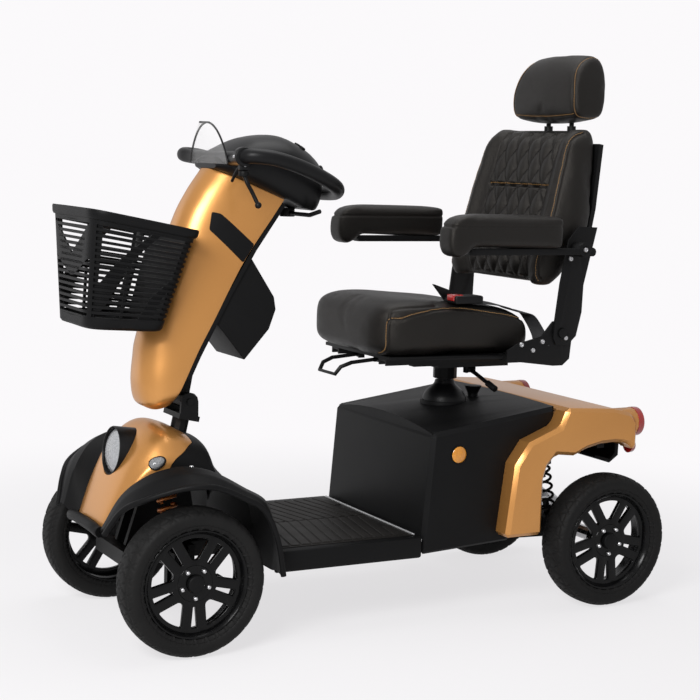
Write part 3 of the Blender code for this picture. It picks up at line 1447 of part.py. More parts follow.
def windscreen():
    """Clear curved shield ahead of the console."""
    rows = []
    for r in range(7):
        rise = r / 6
        half = 0.104 * math.sqrt(max(1 - rise ** 2.2, 0.0)) + 0.004
        row = []
        for c in range(5):
            share = 2 * c / 4 - 1
            sweep = 0.018 * share * share
            row.append((half * share, -0.4318 + sweep - 0.006 * rise, 1.066 + 0.092 * rise))
        rows.append(row)
    return skin(rows, 0.003, inward=1)


# Basket

BASKET_RIM = (0.150, -0.735, 0.964, 0.168, 0.918)      # front half width, y, z; rear half width, z
BASKET_FLOOR = (0.108, -0.734, 0.706, 0.140, 0.700)
BASKET_WALL = 0.004
BASKET_ROWS = 6
BASKET_SLOT = 0.013
BASKET_POST = 0.012       # between neighbouring slots
BASKET_CORNER = 0.030
BASKET_FOLD = 0.93
BASKET_LIP = 0.006


def shroud_front(z):
    """Front of the shroud at a height, on the straight run behind the basket."""
    low = SHROUD[4]
    high = SHROUD[6]
    return blend(low[0], high[0], (z - low[1]) / (high[1] - low[1]))


def basket_ring(level, shrink, z_shift=0.0):
    """Rounded four-sided ring of the basket, from floor 0 to rim 1."""
    front_half, front_y, front_z, rear_half, rear_z = (
        blend(a, b, level) for a, b in zip(BASKET_FLOOR, BASKET_RIM)
    )
    rear_y = shroud_front(rear_z) - 5 * FIT_GAP
    corners = [
        Vector((front_half - shrink, front_y + shrink, front_z + z_shift)),
        Vector((rear_half - shrink, rear_y - shrink, rear_z + z_shift)),
        Vector((-rear_half + shrink, rear_y - shrink, rear_z + z_shift)),
        Vector((-front_half + shrink, front_y + shrink, front_z + z_shift)),
    ]
    radius = BASKET_CORNER - shrink
    ring = []
    for i, corner in enumerate(corners):
        before = (corners[i - 1] - corner).normalized()
        after = (corners[(i + 1) % 4] - corner).normalized()
        ring.append(corner + before * radius)
        ring.append(corner + (before + after) * radius * 0.3)
        ring.append(corner + after * radius)
    return ring


def basket():
    """Tapered basket with slotted walls and a folded rim."""
    outer = [basket_ring(0, 0), basket_ring(BASKET_FOLD, 0), basket_ring(BASKET_FOLD + 0.01, -BASKET_LIP)]
    outer.append(basket_ring(1, -BASKET_LIP))
    for ring in outer:
        for point in ring:
            point.y = min(point.y, shroud_front(point.z) - 4 * FIT_GAP)
    inside = loft([basket_ring(0, BASKET_WALL, BASKET_WALL), basket_ring(1.2, BASKET_WALL, BASKET_WALL)])
    cutters = [inside]
    for row in range(BASKET_ROWS):
        level = blend(0.09, 0.86, row / (BASKET_ROWS - 1))
        front_half, front_y, front_z, rear_half, rear_z = (
            blend(a, b, level) for a, b in zip(BASKET_FLOOR, BASKET_RIM)
        )
        rear_y = shroud_front(rear_z)
        lean = math.atan2(front_z - rear_z, rear_y - front_y)
        for side in (-1, 1):
            reach = front_half - BASKET_CORNER - BASKET_POST
            centre = side * (reach + BASKET_POST) / 2
            cutters.append(box((reach, 0.06, BASKET_SLOT), (centre, front_y, front_z)))
        room = (rear_y - front_y - 2 * BASKET_CORNER - BASKET_POST) / 2
        for share in (0.5, -0.5):
            middle = (front_y + rear_y) / 2 + share * (room + BASKET_POST)
            drop = (middle - front_y) * math.tan(lean)
            cutters.append(box((0.5, room, BASKET_SLOT), (0, middle, front_z - drop), pitch=-lean))
    return cut(loft(outer), *cutters)


piece(tiller_shroud(), "tiller_shroud", GOLD, TILT_HOLDER)
lug_half = CHEEK_IN - RUN_GAP
lug = rod((-lug_half, TILT_Y, TILT_Z), (lug_half, TILT_Y, TILT_Z), TILT_EYE_RADIUS - 0.003)
bolt_room = rod((-0.1, TILT_Y, TILT_Z), (0.1, TILT_Y, TILT_Z), bore_radius(TILT_BOLT_RADIUS))
piece(cut(fuse(tiller_post(POST_RADIUS, FIT_GAP), lug), bolt_room), "tiller_post", STEEL, TILT_HOLDER)
piece(tiller_strip(), "tiller_rear_strip", BLACK, TILT_HOLDER)
piece(storage_box(), "storage_box", BLACK, TILT_HOLDER)
piece(console(), "console", BLACK, TILT_HOLDER)
piece(handlebar(), "handlebar", BLACK, TILT_HOLDER)
piece(windscreen(), "windscreen", CLEAR, TILT_HOLDER)
piece(basket(), "basket", BLACK, TILT_HOLDER)
piece(brake_lever(), "brake_lever", BLACK, empty("brake_axis", BRAKE_PIVOT, TILT_HOLDER))
PADDLE_HOLDER = empty("throttle_axis", (0, PADDLE_Y, PADDLE_TOP), TILT_HOLDER)
piece(throttle_paddle(), "throttle_paddle", BLACK, PADDLE_HOLDER)
piece(speed_knob(), "speed_knob", BLACK, empty("speed_knob_axis", KNOB, TILT_HOLDER))


# Seat

PLATE_TOP = SEAT_PLATE_Z + SEAT_PLATE_THICKNESS
SLIDE_RAIL_TOP = PLATE_TOP + SEAT_RAIL_HEIGHT
SLIDE_RAIL_WIDTH = 0.024
SLIDE_CHANNEL_WALL = 0.006
SLIDE_RAIL_LENGTH = 0.340
SEAT_PAN_Z = SLIDE_RAIL_TOP + RUN_GAP + SLIDE_CHANNEL_WALL
SEAT_PAN_TOP = SEAT_PAN_Z + SEAT_PLATE_THICKNESS
BACK_PLATE_IN = SIDE_PLATE_X + SIDE_PLATE_THICKNESS + RUN_GAP
BACK_PLATE_OUT = BACK_PLATE_IN + SIDE_PLATE_THICKNESS
BACK_BOLT_RADIUS = 0.008
BOLT_HEAD_RADIUS = 0.012
BOLT_HEAD_HEIGHT = 0.004
SEAT_CUP_RADIUS = 0.030
SEAT_CUP_Z = BOOT_TOP_Z + 0.005
LEVER_PIN_RADIUS = 0.004
LEVER_CHEEK = 0.005
LEVER_BARREL_RADIUS = 0.008
LEVER_HALF = 0.008
SWIVEL_PIVOT = Vector((0.058, SEAT_POST_Y + 0.035, 0.572))
SLIDE_PIVOT = Vector((0.050, 0.020, 0.606))
BACK_PIVOT = Vector((0, BACK_PIVOT_Y, BACK_PIVOT_Z))
ARM_PIVOT = Vector((0, ARM_PIVOT_Y, ARM_PIVOT_HEIGHT))
HEAD_POST_Y = 0.5595
HEAD_SOCKET_RADIUS = 0.011
CROSS_TUBE_RADIUS = 0.011
SIDE_PLATE_RISE = 0.054   # of the back's side plates over the armrest pins

LIFT_HOLDER = empty("seat_lift_axis", (0, SEAT_POST_Y, BOOT_SEAT_Z), ROOT)
SWIVEL_HOLDER = empty("seat_swivel_axis", (0, SEAT_POST_Y, SEAT_PLATE_Z), LIFT_HOLDER)
SLIDE_HOLDER = empty("seat_slide_axis", (0, SEAT_POST_Y, SLIDE_RAIL_TOP), SWIVEL_HOLDER)
RECLINE_HOLDER = empty("back_recline_axis", BACK_PIVOT, SLIDE_HOLDER)

# Backrest profile: height, front y, rear y
BACK = [
    (0.784, 0.393, 0.404),
    (0.800, 0.384, 0.418),
    (0.830, 0.383, 0.444),
    (0.880, 0.394, 0.486),
    (0.930, 0.411, 0.512),
    (0.980, 0.426, 0.5215),
    (1.030, 0.438, 0.5265),
    (1.083, 0.450, 0.5315),
    (1.138, 0.463, 0.5365),
    (1.171, 0.484, 0.5380),
    (1.182, 0.507, 0.5300),
]
BACK_SEAM_ROW = 6
QUILT_COLUMNS = 12
QUILT_HALF_WIDTH = 0.132
QUILT_PUFF = 0.007


def seat_base():
    """Swivel cup, plate and the two lower slide rails, with the lever's fork below."""
    y = SEAT_POST_Y
    cup = rod((0, y, SEAT_CUP_Z), (0, y, PLATE_TOP - OVERLAP), SEAT_CUP_RADIUS)
    width = 2 * SEAT_RAIL_X + SLIDE_RAIL_WIDTH
    plate = span_box((-width / 2, y - 0.100, SEAT_PLATE_Z), (width / 2, y + 0.100, PLATE_TOP))
    shapes = [cup]
    for side in (-1, 1):
        centre = (side * SEAT_RAIL_X, y, SLIDE_RAIL_TOP - (SEAT_RAIL_HEIGHT + OVERLAP) / 2)
        shapes.append(box((SLIDE_RAIL_WIDTH, SLIDE_RAIL_LENGTH, SEAT_RAIL_HEIGHT + OVERLAP), centre))
        middle = SWIVEL_PIVOT.y + side * (LEVER_HALF + RUN_GAP + LEVER_CHEEK / 2)
        round_off = LEVER_BARREL_RADIUS
        low = (SWIVEL_PIVOT.x - round_off, middle - LEVER_CHEEK / 2, SWIVEL_PIVOT.z - round_off)
        high = (SWIVEL_PIVOT.x + round_off, middle + LEVER_CHEEK / 2, SEAT_PLATE_Z + OVERLAP)
        shapes.append(span_box(low, high))
    reach = Vector((0, LEVER_HALF + LEVER_CHEEK, 0))
    shapes.append(rod(SWIVEL_PIVOT - reach, SWIVEL_PIVOT + reach, LEVER_PIN_RADIUS, sides=PIN_SIDES))
    bore = rod((0, y, SEAT_CUP_Z - BORE_RUN), (0, y, SEAT_PLATE_Z), bore_radius(SEAT_POST_RADIUS))
    return cut(fuse(plate, *shapes), bore)


def swivel_lever():
    """Hand lever that frees the swivel."""
    pivot = SWIVEL_PIVOT
    reach = Vector((0, LEVER_HALF, 0))
    tip = Vector((0.150, SEAT_POST_Y + 0.052, 0.535))
    bend = pivot + Vector((0.020, 0.006, -0.008))
    barrel = rod(pivot - reach, pivot + reach, LEVER_BARREL_RADIUS)
    stem = tube([blend(pivot, bend, 0.28), bend, tip], 0.005, resolution=1)
    grip = rod(blend(bend, tip, 0.62), tip + (tip - bend).normalized() * OVERLAP, 0.008)
    room = bore_radius(LEVER_PIN_RADIUS, FIT_GAP, PIN_SIDES)
    bore = rod(pivot - 2 * reach, pivot + 2 * reach, room, sides=PIN_SIDES)
    return cut(fuse(barrel, stem, grip), bore)


def seat_frame():
    """Seat pan with its upper slide channels and the side brackets that carry the back."""
    shapes = []
    for side in (-1, 1):
        x = side * SEAT_RAIL_X
        half = SLIDE_RAIL_WIDTH / 2 + RUN_GAP + SLIDE_CHANNEL_WALL
        channel_low = (x - half, -0.010, PLATE_TOP + 0.004)
        shapes.append(span_box(channel_low, (x + half, 0.330, SEAT_PAN_Z + OVERLAP)))
        outer = side * (SIDE_PLATE_X + SIDE_PLATE_THICKNESS)
        inner = side * SIDE_PLATE_X
        tab_x = sorted((side * 0.190, outer))
        tab_low = (tab_x[0], 0.275, SEAT_PAN_Z - 0.004)
        shapes.append(span_box(tab_low, (tab_x[1], 0.352, SEAT_PAN_TOP - 0.001)))
        bracket = [(0.262, 0.612), (0.262, 0.640), (0.290, 0.656), (0.360, 0.672), (0.392, 0.708)]
        bracket += [(0.428, 0.712), (0.450, 0.680), (0.444, 0.616), (0.424, 0.600)]
        bracket += [(0.396, 0.600), (0.300, 0.612)]
        shapes.append(side_plate(bracket, *sorted((inner, outer))))
        start = BACK_PIVOT + Vector((side * (SIDE_PLATE_X + OVERLAP), 0, 0))
        head = BACK_PIVOT + Vector((side * (BACK_PLATE_OUT + FIT_GAP), 0, 0))
        end = head + Vector((side * BOLT_HEAD_HEIGHT, 0, 0))
        shapes.append(rod(start, end, BACK_BOLT_RADIUS))
        shapes.append(rod(head, end, BOLT_HEAD_RADIUS))
        lug_x = side * (SLIDE_PIVOT.x - LEVER_HALF - RUN_GAP)
        lug = sorted((lug_x, lug_x - side * LEVER_CHEEK))
        low_y = SLIDE_PIVOT.y - LEVER_BARREL_RADIUS
        high_y = SLIDE_PIVOT.y + LEVER_BARREL_RADIUS
        low_z = SLIDE_PIVOT.z - LEVER_BARREL_RADIUS
        shapes.append(span_box((lug[0], low_y, low_z), (lug[1], high_y, SEAT_PAN_Z + OVERLAP)))
        pin = Vector((lug_x - side * OVERLAP, SLIDE_PIVOT.y, SLIDE_PIVOT.z))
        pin_end = pin + Vector((side * 2 * LEVER_HALF, 0, 0))
        shapes.append(rod(pin, pin_end, LEVER_PIN_RADIUS, sides=PIN_SIDES))
    pan = span_box((-0.205, SEAT_FRONT_Y + 0.030, SEAT_PAN_Z), (0.205, 0.355, SEAT_PAN_TOP))
    channels = []
    for side in (-1, 1):
        size = (SLIDE_RAIL_WIDTH + 2 * RUN_GAP, 1.0, 0.040)
        channels.append(box(size, (side * SEAT_RAIL_X, SEAT_POST_Y, SLIDE_RAIL_TOP + RUN_GAP - size[2] / 2)))
    return cut(fuse(pan, *shapes), *channels)


def slide_lever():
    """Loop under the seat's front edge that frees the slide."""
    pivot = SLIDE_PIVOT
    half = [(pivot.x, pivot.y - 0.0055, pivot.z), (0.050, -0.055, 0.600)]
    half += [(0.046, -0.082, 0.590), (0.040, -0.094, 0.572)]
    points = half + [(-x, y, z) for x, y, z in reversed(half)]
    shapes = []
    bores = []
    for side in (-1, 1):
        centre = Vector((side * pivot.x, pivot.y, pivot.z))
        reach = Vector((LEVER_HALF, 0, 0))
        shapes.append(rod(centre - reach, centre + reach, LEVER_BARREL_RADIUS))
        room = bore_radius(LEVER_PIN_RADIUS, FIT_GAP, PIN_SIDES)
        bores.append(rod(centre - 1.5 * reach, centre + 1.5 * reach, room, sides=PIN_SIDES))
    return cut(fuse(tube(points, 0.005, resolution=1), *shapes), *bores)


def seat_cushion():
    """Waterfall seat pad: crowned, drawn in at the sides and flat below."""
    low = SEAT_PAN_TOP + FIT_GAP
    full = SEAT_HALF_WIDTH
    waist = full - 0.007
    crown = SEAT_CROWN_Z
    stations = [
        (SEAT_FRONT_Y, full - 0.095, low + 0.035, crown - 0.066),
        (SEAT_FRONT_Y + 0.010, full - 0.058, low + 0.012, crown - 0.032),
        (SEAT_FRONT_Y + 0.040, full - 0.018, low, crown - 0.008),
        (SEAT_FRONT_Y + 0.110, full, low, crown),
        (0.150, waist, low, crown - 0.004),
        (SEAT_REAR_Y - 0.110, full, low, crown - 0.014),
        (SEAT_REAR_Y - 0.035, full - 0.004, low, crown - 0.032),
        (SEAT_REAR_Y - 0.008, full - 0.018, low + 0.010, crown - 0.058),
        (SEAT_REAR_Y, full - 0.050, low + 0.028, crown - 0.085),
    ]
    rings = []
    for y, half, bottom, top in stations:
        rings.append(oval(half, bottom, top, y, 16, 4.0, low))
    return loft(rings)


def back_shell():
    """Outline of the plate behind the backrest, from the cushion's own profile."""
    front = [(rear + FIT_GAP * 3, z) for z, _, rear in BACK[3:9]]
    rear = [(y + 0.012, z - 0.002) for y, z in reversed(front)]
    return front + rear


def back_frame():
    """Back plate, side plates, cross tube and the sockets for the headrest."""
    shapes = []
    tube_y = 0.4965
    tube_z = ARM_PIVOT_HEIGHT - 0.008
    half = BACK_PLATE_OUT - OVERLAP
    shapes.append(rod((-half, tube_y, tube_z), (half, tube_y, tube_z), CROSS_TUBE_RADIUS))
    top = ARM_PIVOT_HEIGHT + SIDE_PLATE_RISE
    outline = [(0.398, 0.652), (0.432, 0.650), (0.456, 0.672), (0.470, 0.730), (0.472, 0.796)]
    outline += [(0.506, top - 0.002), (0.452, top), (0.424, top - 0.033)]
    outline += [(0.404, 0.800), (0.392, 0.700), (0.390, 0.668)]
    bores = []
    for side in (-1, 1):
        shapes.append(side_plate(outline, *sorted((side * BACK_PLATE_IN, side * BACK_PLATE_OUT))))
        root = ARM_PIVOT + Vector((side * (BACK_PLATE_IN + OVERLAP), 0, 0))
        shapes.append(rod(root, ARM_PIVOT + Vector((side * ARM_OUT, 0, 0)), BACK_BOLT_RADIUS))
        x = side * HEAD_POST_X
        shapes.append(rod((x, HEAD_POST_Y, 1.050), (x, HEAD_POST_Y, BACK[-1][0]), HEAD_SOCKET_RADIUS))
        bores.append(rod((x, HEAD_POST_Y, 1.0), (x, HEAD_POST_Y, 1.3), HEAD_POST_RADIUS + RUN_GAP))
        hole = BACK_PIVOT + Vector((side * 0.2, 0, 0))
        end = BACK_PIVOT + Vector((side * 0.3, 0, 0))
        bores.append(rod(hole, end, bore_radius(BACK_BOLT_RADIUS, FIT_GAP)))
    shell = side_plate(back_shell(), -BACK_HALF_WIDTH + 0.022, BACK_HALF_WIDTH - 0.022)
    return cut(fuse(shell, *shapes), *bores)


def backrest_cushion():
    """Backrest pad with a quilted middle panel between two plain bolsters."""
    bm = bmesh.new()
    panel = [blend(-QUILT_HALF_WIDTH, QUILT_HALF_WIDTH, i / QUILT_COLUMNS) for i in range(QUILT_COLUMNS + 1)]
    bolster = [(0.154, 0.004), (0.184, -0.024), (0.210, -0.010), (0.221, 0.030)]     # x and depth
    rows = []
    for k, (z, front, rear) in enumerate(BACK):
        edge = k in (0, 1, len(BACK) - 2, len(BACK) - 1)
        squeeze = 0.90 if k in (0, len(BACK) - 1) else 0.97 if edge else 1.0
        depth = rear - front
        lift = 0.2 if edge else 1.0
        row = []
        for x, shift in reversed(bolster):
            row.append((-x * squeeze, front + min(shift * lift, depth * 0.6), z))
        for i, x in enumerate(panel):
            puffed = (i + k) % 2 and k != BACK_SEAM_ROW and not edge and 0 < i < QUILT_COLUMNS
            row.append((x * squeeze, front - (QUILT_PUFF if puffed else 0), z))
        for x, shift in bolster:
            row.append((x * squeeze, front + min(shift * lift, depth * 0.6), z))
        half = (BACK_HALF_WIDTH - 0.006) * squeeze
        row += [(half, blend(front, rear, 0.85), z), (half - 0.014, rear, z)]
        row += [(-half + 0.014, rear, z), (-half, blend(front, rear, 0.85), z)]
        rows.append([bm.verts.new(point) for point in row])
    count = len(rows[0])
    first = len(bolster)
    for k in range(len(rows) - 1):
        for i in range(count):
            j = (i + 1) % count
            a, b, c, d = rows[k][i], rows[k][j], rows[k + 1][j], rows[k + 1][i]
            if not first <= i < first + QUILT_COLUMNS:
                bm.faces.new((a, b, c, d))
            elif (i - first + k) % 2 == 0:
                bm.faces.new((a, b, c))
                bm.faces.new((a, c, d))
            else:
                bm.faces.new((a, b, d))
                bm.faces.new((b, c, d))
    bm.faces.new(rows[0][::-1])
    bm.faces.new(rows[-1])
    return from_bmesh(bm)


# Headrest side profile (y, z), and its size across the width: x and scale
HEADREST = [
    (0.514, 1.192), (0.496, 1.216), (0.496, 1.264), (0.512, 1.318), (0.543, 1.354),
    (0.580, 1.367), (0.602, 1.348), (0.608, 1.300), (0.600, 1.222), (0.582, 1.193),
]
HEADREST_CENTRE = (0.555, 1.275)
HEADREST_SPAN = [(-0.141, 0.74), (-0.135, 0.88), (-0.114, 0.96), (-0.050, 1.0)]
HEAD_BAR_Z = 1.245


def headrest_posts():
    """Two posts joined by a bar inside the headrest."""
    shapes = []
    for side in (-1, 1):
        x = side * HEAD_POST_X
        shapes.append(rod((x, HEAD_POST_Y, 1.070), (x, HEAD_POST_Y, HEAD_BAR_Z), HEAD_POST_RADIUS))
    bar = HEAD_POST_X + 0.003
    bar_z = HEAD_BAR_Z - HEAD_POST_RADIUS - 0.001
    cross = rod((-bar, HEAD_POST_Y, bar_z), (bar, HEAD_POST_Y, bar_z), HEAD_POST_RADIUS - 0.001)
    return fuse(shapes[0], shapes[1], cross)


def headrest():
    """Headrest pad, hollowed from below for its posts."""
    rings = []
    for x, scale in HEADREST_SPAN + [(-x, s) for x, s in reversed(HEADREST_SPAN)]:
        ring = []
        for y, z in HEADREST:
            ring.append((x, blend(HEADREST_CENTRE[0], y, scale), blend(HEADREST_CENTRE[1], z, scale)))
        rings.append(ring)
    half = HEAD_POST_X + HEAD_POST_RADIUS + FIT_GAP
    depth = HEAD_POST_RADIUS + FIT_GAP
    slot = span_box((-half, HEAD_POST_Y - depth, 1.1), (half, HEAD_POST_Y + depth, HEAD_BAR_Z + FIT_GAP))
    return cut(loft(rings), slot)


ARM_IN = ARM_X - 0.015
ARM_OUT = ARM_X + 0.015
ARM_BAR_TOP = ARM_PIVOT_HEIGHT + 0.0027
ARM_BAR_HEIGHT = 0.015
ARM_BOSS_RADIUS = 0.018
PAD_FRONT_Y = 0.038
PAD_REAR_Y = 0.376
PAD_HEIGHT = 0.0833
PAD_TOP_Z = ARM_BAR_TOP + PAD_HEIGHT


def armrest_arm():
    """Bar under the left armrest's pad, with the boss that turns on the back's pin."""
    across = Vector((1, 0, 0))
    boss = rod(ARM_PIVOT + across * (BACK_PLATE_OUT + FIT_GAP), ARM_PIVOT + across * ARM_OUT, ARM_BOSS_RADIUS)
    low = (ARM_IN, PAD_FRONT_Y + 0.084, ARM_BAR_TOP - ARM_BAR_HEIGHT)
    bar = span_box(low, (ARM_OUT - 0.001, ARM_PIVOT_Y, ARM_BAR_TOP))
    bore = rod(ARM_PIVOT, ARM_PIVOT + across * 2 * ARM_OUT, bore_radius(BACK_BOLT_RADIUS, FIT_GAP))
    return cut(fuse(boss, bar), bore)


def armrest_pad():
    """Left armrest pad, deeper and rounded at its front."""
    low = ARM_BAR_TOP + FIT_GAP
    outline = [(PAD_REAR_Y, low), (0.112, low), (0.094, low - 0.016)]
    outline += [(0.066, low - 0.026), (0.045, low - 0.014)]
    outline += [(PAD_FRONT_Y, low + 0.014), (0.044, PAD_TOP_Z - 0.030), (0.062, PAD_TOP_Z - 0.008)]
    outline += [(0.090, PAD_TOP_Z), (PAD_REAR_Y, PAD_TOP_Z - 0.004)]
    half = ARM_PAD_WIDTH / 2
    return side_plate(outline, ARM_X - half, ARM_X + half, 0.009, 2)


BOOT_PROFILE = [
    (SEAT_POST_RADIUS + RUN_GAP, BOOT_SEAT_Z + FIT_GAP),
    (BOOT_RADIUS, BOOT_SEAT_Z + FIT_GAP),
    (BOOT_RADIUS, BOOT_SEAT_Z + 0.006),
    (BOOT_RADIUS - 0.008, BOOT_SEAT_Z + 0.022),
    (BOOT_RADIUS - 0.022, BOOT_SEAT_Z + 0.038),
    (SEAT_POST_RADIUS + 0.005, BOOT_TOP_Z - 0.004),
    (SEAT_POST_RADIUS + 0.005, BOOT_TOP_Z),
    (SEAT_POST_RADIUS + RUN_GAP, BOOT_TOP_Z),
]
piece(turned(BOOT_PROFILE, (0, SEAT_POST_Y, 0), sides=14), "seat_post_boot", BLACK)
SEAT_POST_LOW = 0.360
POST_RUN = ((0, SEAT_POST_Y, SEAT_POST_LOW), (0, SEAT_POST_Y, SEAT_PLATE_Z - FIT_GAP))
piece(rod(*POST_RUN, SEAT_POST_RADIUS), "seat_post", STEEL, LIFT_HOLDER)
piece(seat_base(), "seat_base", STEEL, SWIVEL_HOLDER)
piece(swivel_lever(), "swivel_lever", STEEL, empty("swivel_lever_axis", SWIVEL_PIVOT, SWIVEL_HOLDER))
piece(seat_frame(), "seat_frame", STEEL, SLIDE_HOLDER)
LOOP_HOLDER = empty("slide_lever_axis", (0, SLIDE_PIVOT.y, SLIDE_PIVOT.z), SLIDE_HOLDER)
piece(slide_lever(), "slide_lever", STEEL, LOOP_HOLDER)
piece(seat_cushion(), "seat_cushion", LEATHER, SLIDE_HOLDER)
piece(back_frame(), "back_frame", STEEL, RECLINE_HOLDER)
piece(backrest_cushion(), "backrest_cushion", LEATHER, RECLINE_HOLDER)
HEAD_HOLDER = empty("headrest_axis", (0, HEAD_POST_Y, BACK[-1][0]), RECLINE_HOLDER)
piece(headrest_posts(), "headrest_posts", STEEL, HEAD_HOLDER)
piece(headrest(), "headrest", LEATHER, HEAD_HOLDER)
for SIDE_NAME in ("left", "right"):
    ARM_SHAPE = armrest_arm()
    PAD_SHAPE = armrest_pad()
    SIDE_SIGN = 1
    if SIDE_NAME == "right":
        ARM_SHAPE = flip(ARM_SHAPE)
        PAD_SHAPE = flip(PAD_SHAPE)
        SIDE_SIGN = -1
    ARM_AXIS = ARM_PIVOT + Vector((SIDE_SIGN * ARM_X, 0, 0))
    ARM_HOLDER = empty("armrest_axis_" + SIDE_NAME, ARM_AXIS, RECLINE_HOLDER)
    piece(ARM_SHAPE, "armrest_arm_" + SIDE_NAME, STEEL, ARM_HOLDER)
    piece(PAD_SHAPE, "armrest_pad_" + SIDE_NAME, LEATHER, ARM_HOLDER)
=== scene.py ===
import json
import math

import bmesh
import bpy
import numpy as np
from mathutils import Matrix, Vector
from mathutils.bvhtree import BVHTree
from mathutils.kdtree import KDTree


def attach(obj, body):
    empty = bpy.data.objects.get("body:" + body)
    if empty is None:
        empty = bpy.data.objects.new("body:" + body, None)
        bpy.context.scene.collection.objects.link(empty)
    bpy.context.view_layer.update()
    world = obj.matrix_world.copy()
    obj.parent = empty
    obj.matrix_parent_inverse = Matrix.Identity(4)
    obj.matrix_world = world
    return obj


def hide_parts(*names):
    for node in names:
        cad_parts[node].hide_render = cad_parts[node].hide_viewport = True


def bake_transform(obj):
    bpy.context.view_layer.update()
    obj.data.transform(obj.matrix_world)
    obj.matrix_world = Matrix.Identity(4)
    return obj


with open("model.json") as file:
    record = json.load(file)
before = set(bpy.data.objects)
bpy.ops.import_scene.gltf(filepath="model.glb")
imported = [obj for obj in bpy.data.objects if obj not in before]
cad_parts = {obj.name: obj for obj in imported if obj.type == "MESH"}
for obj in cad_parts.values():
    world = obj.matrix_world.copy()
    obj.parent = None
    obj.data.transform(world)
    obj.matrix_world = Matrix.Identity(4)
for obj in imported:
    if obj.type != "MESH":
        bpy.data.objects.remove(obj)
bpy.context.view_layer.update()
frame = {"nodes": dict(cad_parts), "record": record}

# Shapes are drawn about the middle of the wheelbase; this takes them to the shared frame
TO_FRAME = Matrix.Translation((0, 0.0135, 0))
AXLE_Z = 0.165
FRONT_Y = -0.549
REAR_Y = 0.549
FRONT_HALF_TRACK = 0.258
REAR_HALF_TRACK = 0.272
SIDES = (("left", 1), ("right", -1))


# Camera

CAMERA_PLACE = Vector((3.4133, -1.8668, 1.0929))
CAMERA_YAW = 1.0748
CAMERA_PITCH = 0.1204
CAMERA_ROLL = 0.0288
CAMERA_LENS = 82.74
CAMERA_SENSOR = 36.0
CAMERA_REACH = 60.0


def photo_camera():
    """Camera at the photograph's place, aim and lens."""
    data = bpy.data.cameras.new("photo_camera")
    data.sensor_width = CAMERA_SENSOR
    data.lens = CAMERA_LENS
    data.clip_end = CAMERA_REACH
    camera = bpy.data.objects.new("photo_camera", data)
    bpy.context.scene.collection.objects.link(camera)
    ahead = Vector((
        -math.sin(CAMERA_YAW) * math.cos(CAMERA_PITCH),
        math.cos(CAMERA_YAW) * math.cos(CAMERA_PITCH),
        -math.sin(CAMERA_PITCH),
    ))
    right = Vector((math.cos(CAMERA_YAW), math.sin(CAMERA_YAW), 0))
    up = right.cross(ahead)
    across = math.cos(CAMERA_ROLL) * right + math.sin(CAMERA_ROLL) * up
    upright = -math.sin(CAMERA_ROLL) * right + math.cos(CAMERA_ROLL) * up
    turn = Matrix((across, upright, -ahead)).transposed().to_4x4()
    camera.matrix_world = Matrix.Translation(CAMERA_PLACE) @ turn
    bpy.context.scene.camera = camera


photo_camera()
bpy.context.scene.view_settings.view_transform = "Standard"


class Wire:
    """A socket of a node tree; arithmetic on it adds Math nodes, and add() any other node."""

    def __init__(self, tree, socket=None):
        self.tree = tree
        self.socket = socket

    def add(self, kind, settings=None, inputs=None, output=0):
        """Add a node: its settings first, then the values or links of its sockets."""
        node = self.tree.nodes.new(kind)
        for name, value in (settings or {}).items():
            if name == "stops":
                ramp = node.color_ramp
                while len(ramp.elements) < len(value):
                    ramp.elements.new(0.5)
                for element, (place, colour) in zip(ramp.elements, value):
                    element.position = place
                    element.color = colour
            else:
                setattr(node, name, value)
        for name, value in (inputs or {}).items():
            socket = self.find(node.inputs, name)
            if isinstance(value, Wire):
                self.tree.links.new(value.socket, socket)
            else:
                socket.default_value = value
        return Wire(self.tree, self.find(node.outputs, output))

    @staticmethod
    def find(sockets, name):
        """Socket by its place, identifier or name."""
        if isinstance(name, int):
            return sockets[name]
        for socket in sockets:
            if socket.identifier == name:
                return socket
        return sockets[name]

    def maths(self, operation, first, second=0.0):
        """One Math node."""
        return self.add("ShaderNodeMath", {"operation": operation}, {0: first, 1: second})

    def __add__(self, other):
        return self.maths("ADD", self, other)

    def __radd__(self, other):
        return self.maths("ADD", other, self)

    def __sub__(self, other):
        return self.maths("SUBTRACT", self, other)

    def __rsub__(self, other):
        return self.maths("SUBTRACT", other, self)

    def __mul__(self, other):
        return self.maths("MULTIPLY", self, other)

    def __rmul__(self, other):
        return self.maths("MULTIPLY", other, self)

    def noise(self, scale, detail=3.0, roughness=0.5):
        """Noise over these coordinates, from 0 to 1."""
        sizes = {"Vector": self, "Scale": scale, "Detail": detail, "Roughness": roughness}
        return self.add("ShaderNodeTexNoise", None, sizes, "Fac")

    def cells(self, scale, feature="F1"):
        """Distance inside the cells of a Voronoi pattern."""
        sizes = {"Vector": self, "Scale": scale}
        return self.add("ShaderNodeTexVoronoi", {"feature": feature}, sizes, "Distance")

    def stretched(self, scale, turn=(0.0, 0.0, 0.0)):
        """These coordinates, scaled and turned."""
        return self.add(
            "ShaderNodeMapping", None, {"Vector": self, "Scale": scale, "Rotation": turn}
        )

    def between(self, low, high):
        """0 below low, 1 above high, smooth between."""
        sizes = {"Value": self, "From Min": low, "From Max": high}
        return self.add("ShaderNodeMapRange", {"interpolation_type": "SMOOTHSTEP"}, sizes)

    def colours(self, first, second):
        """A colour from the first at 0 to the second at 1."""
        sides = {"Factor_Float": self, "A_Color": (*first, 1), "B_Color": (*second, 1)}
        return self.add("ShaderNodeMix", {"data_type": "RGBA"}, sides, "Result_Color")

    def bump(self, strength, distance):
        """Normals raised by this height."""
        sizes = {"Strength": strength, "Distance": distance, "Height": self}
        return self.add("ShaderNodeBump", None, sizes, "Normal")


# Finishes


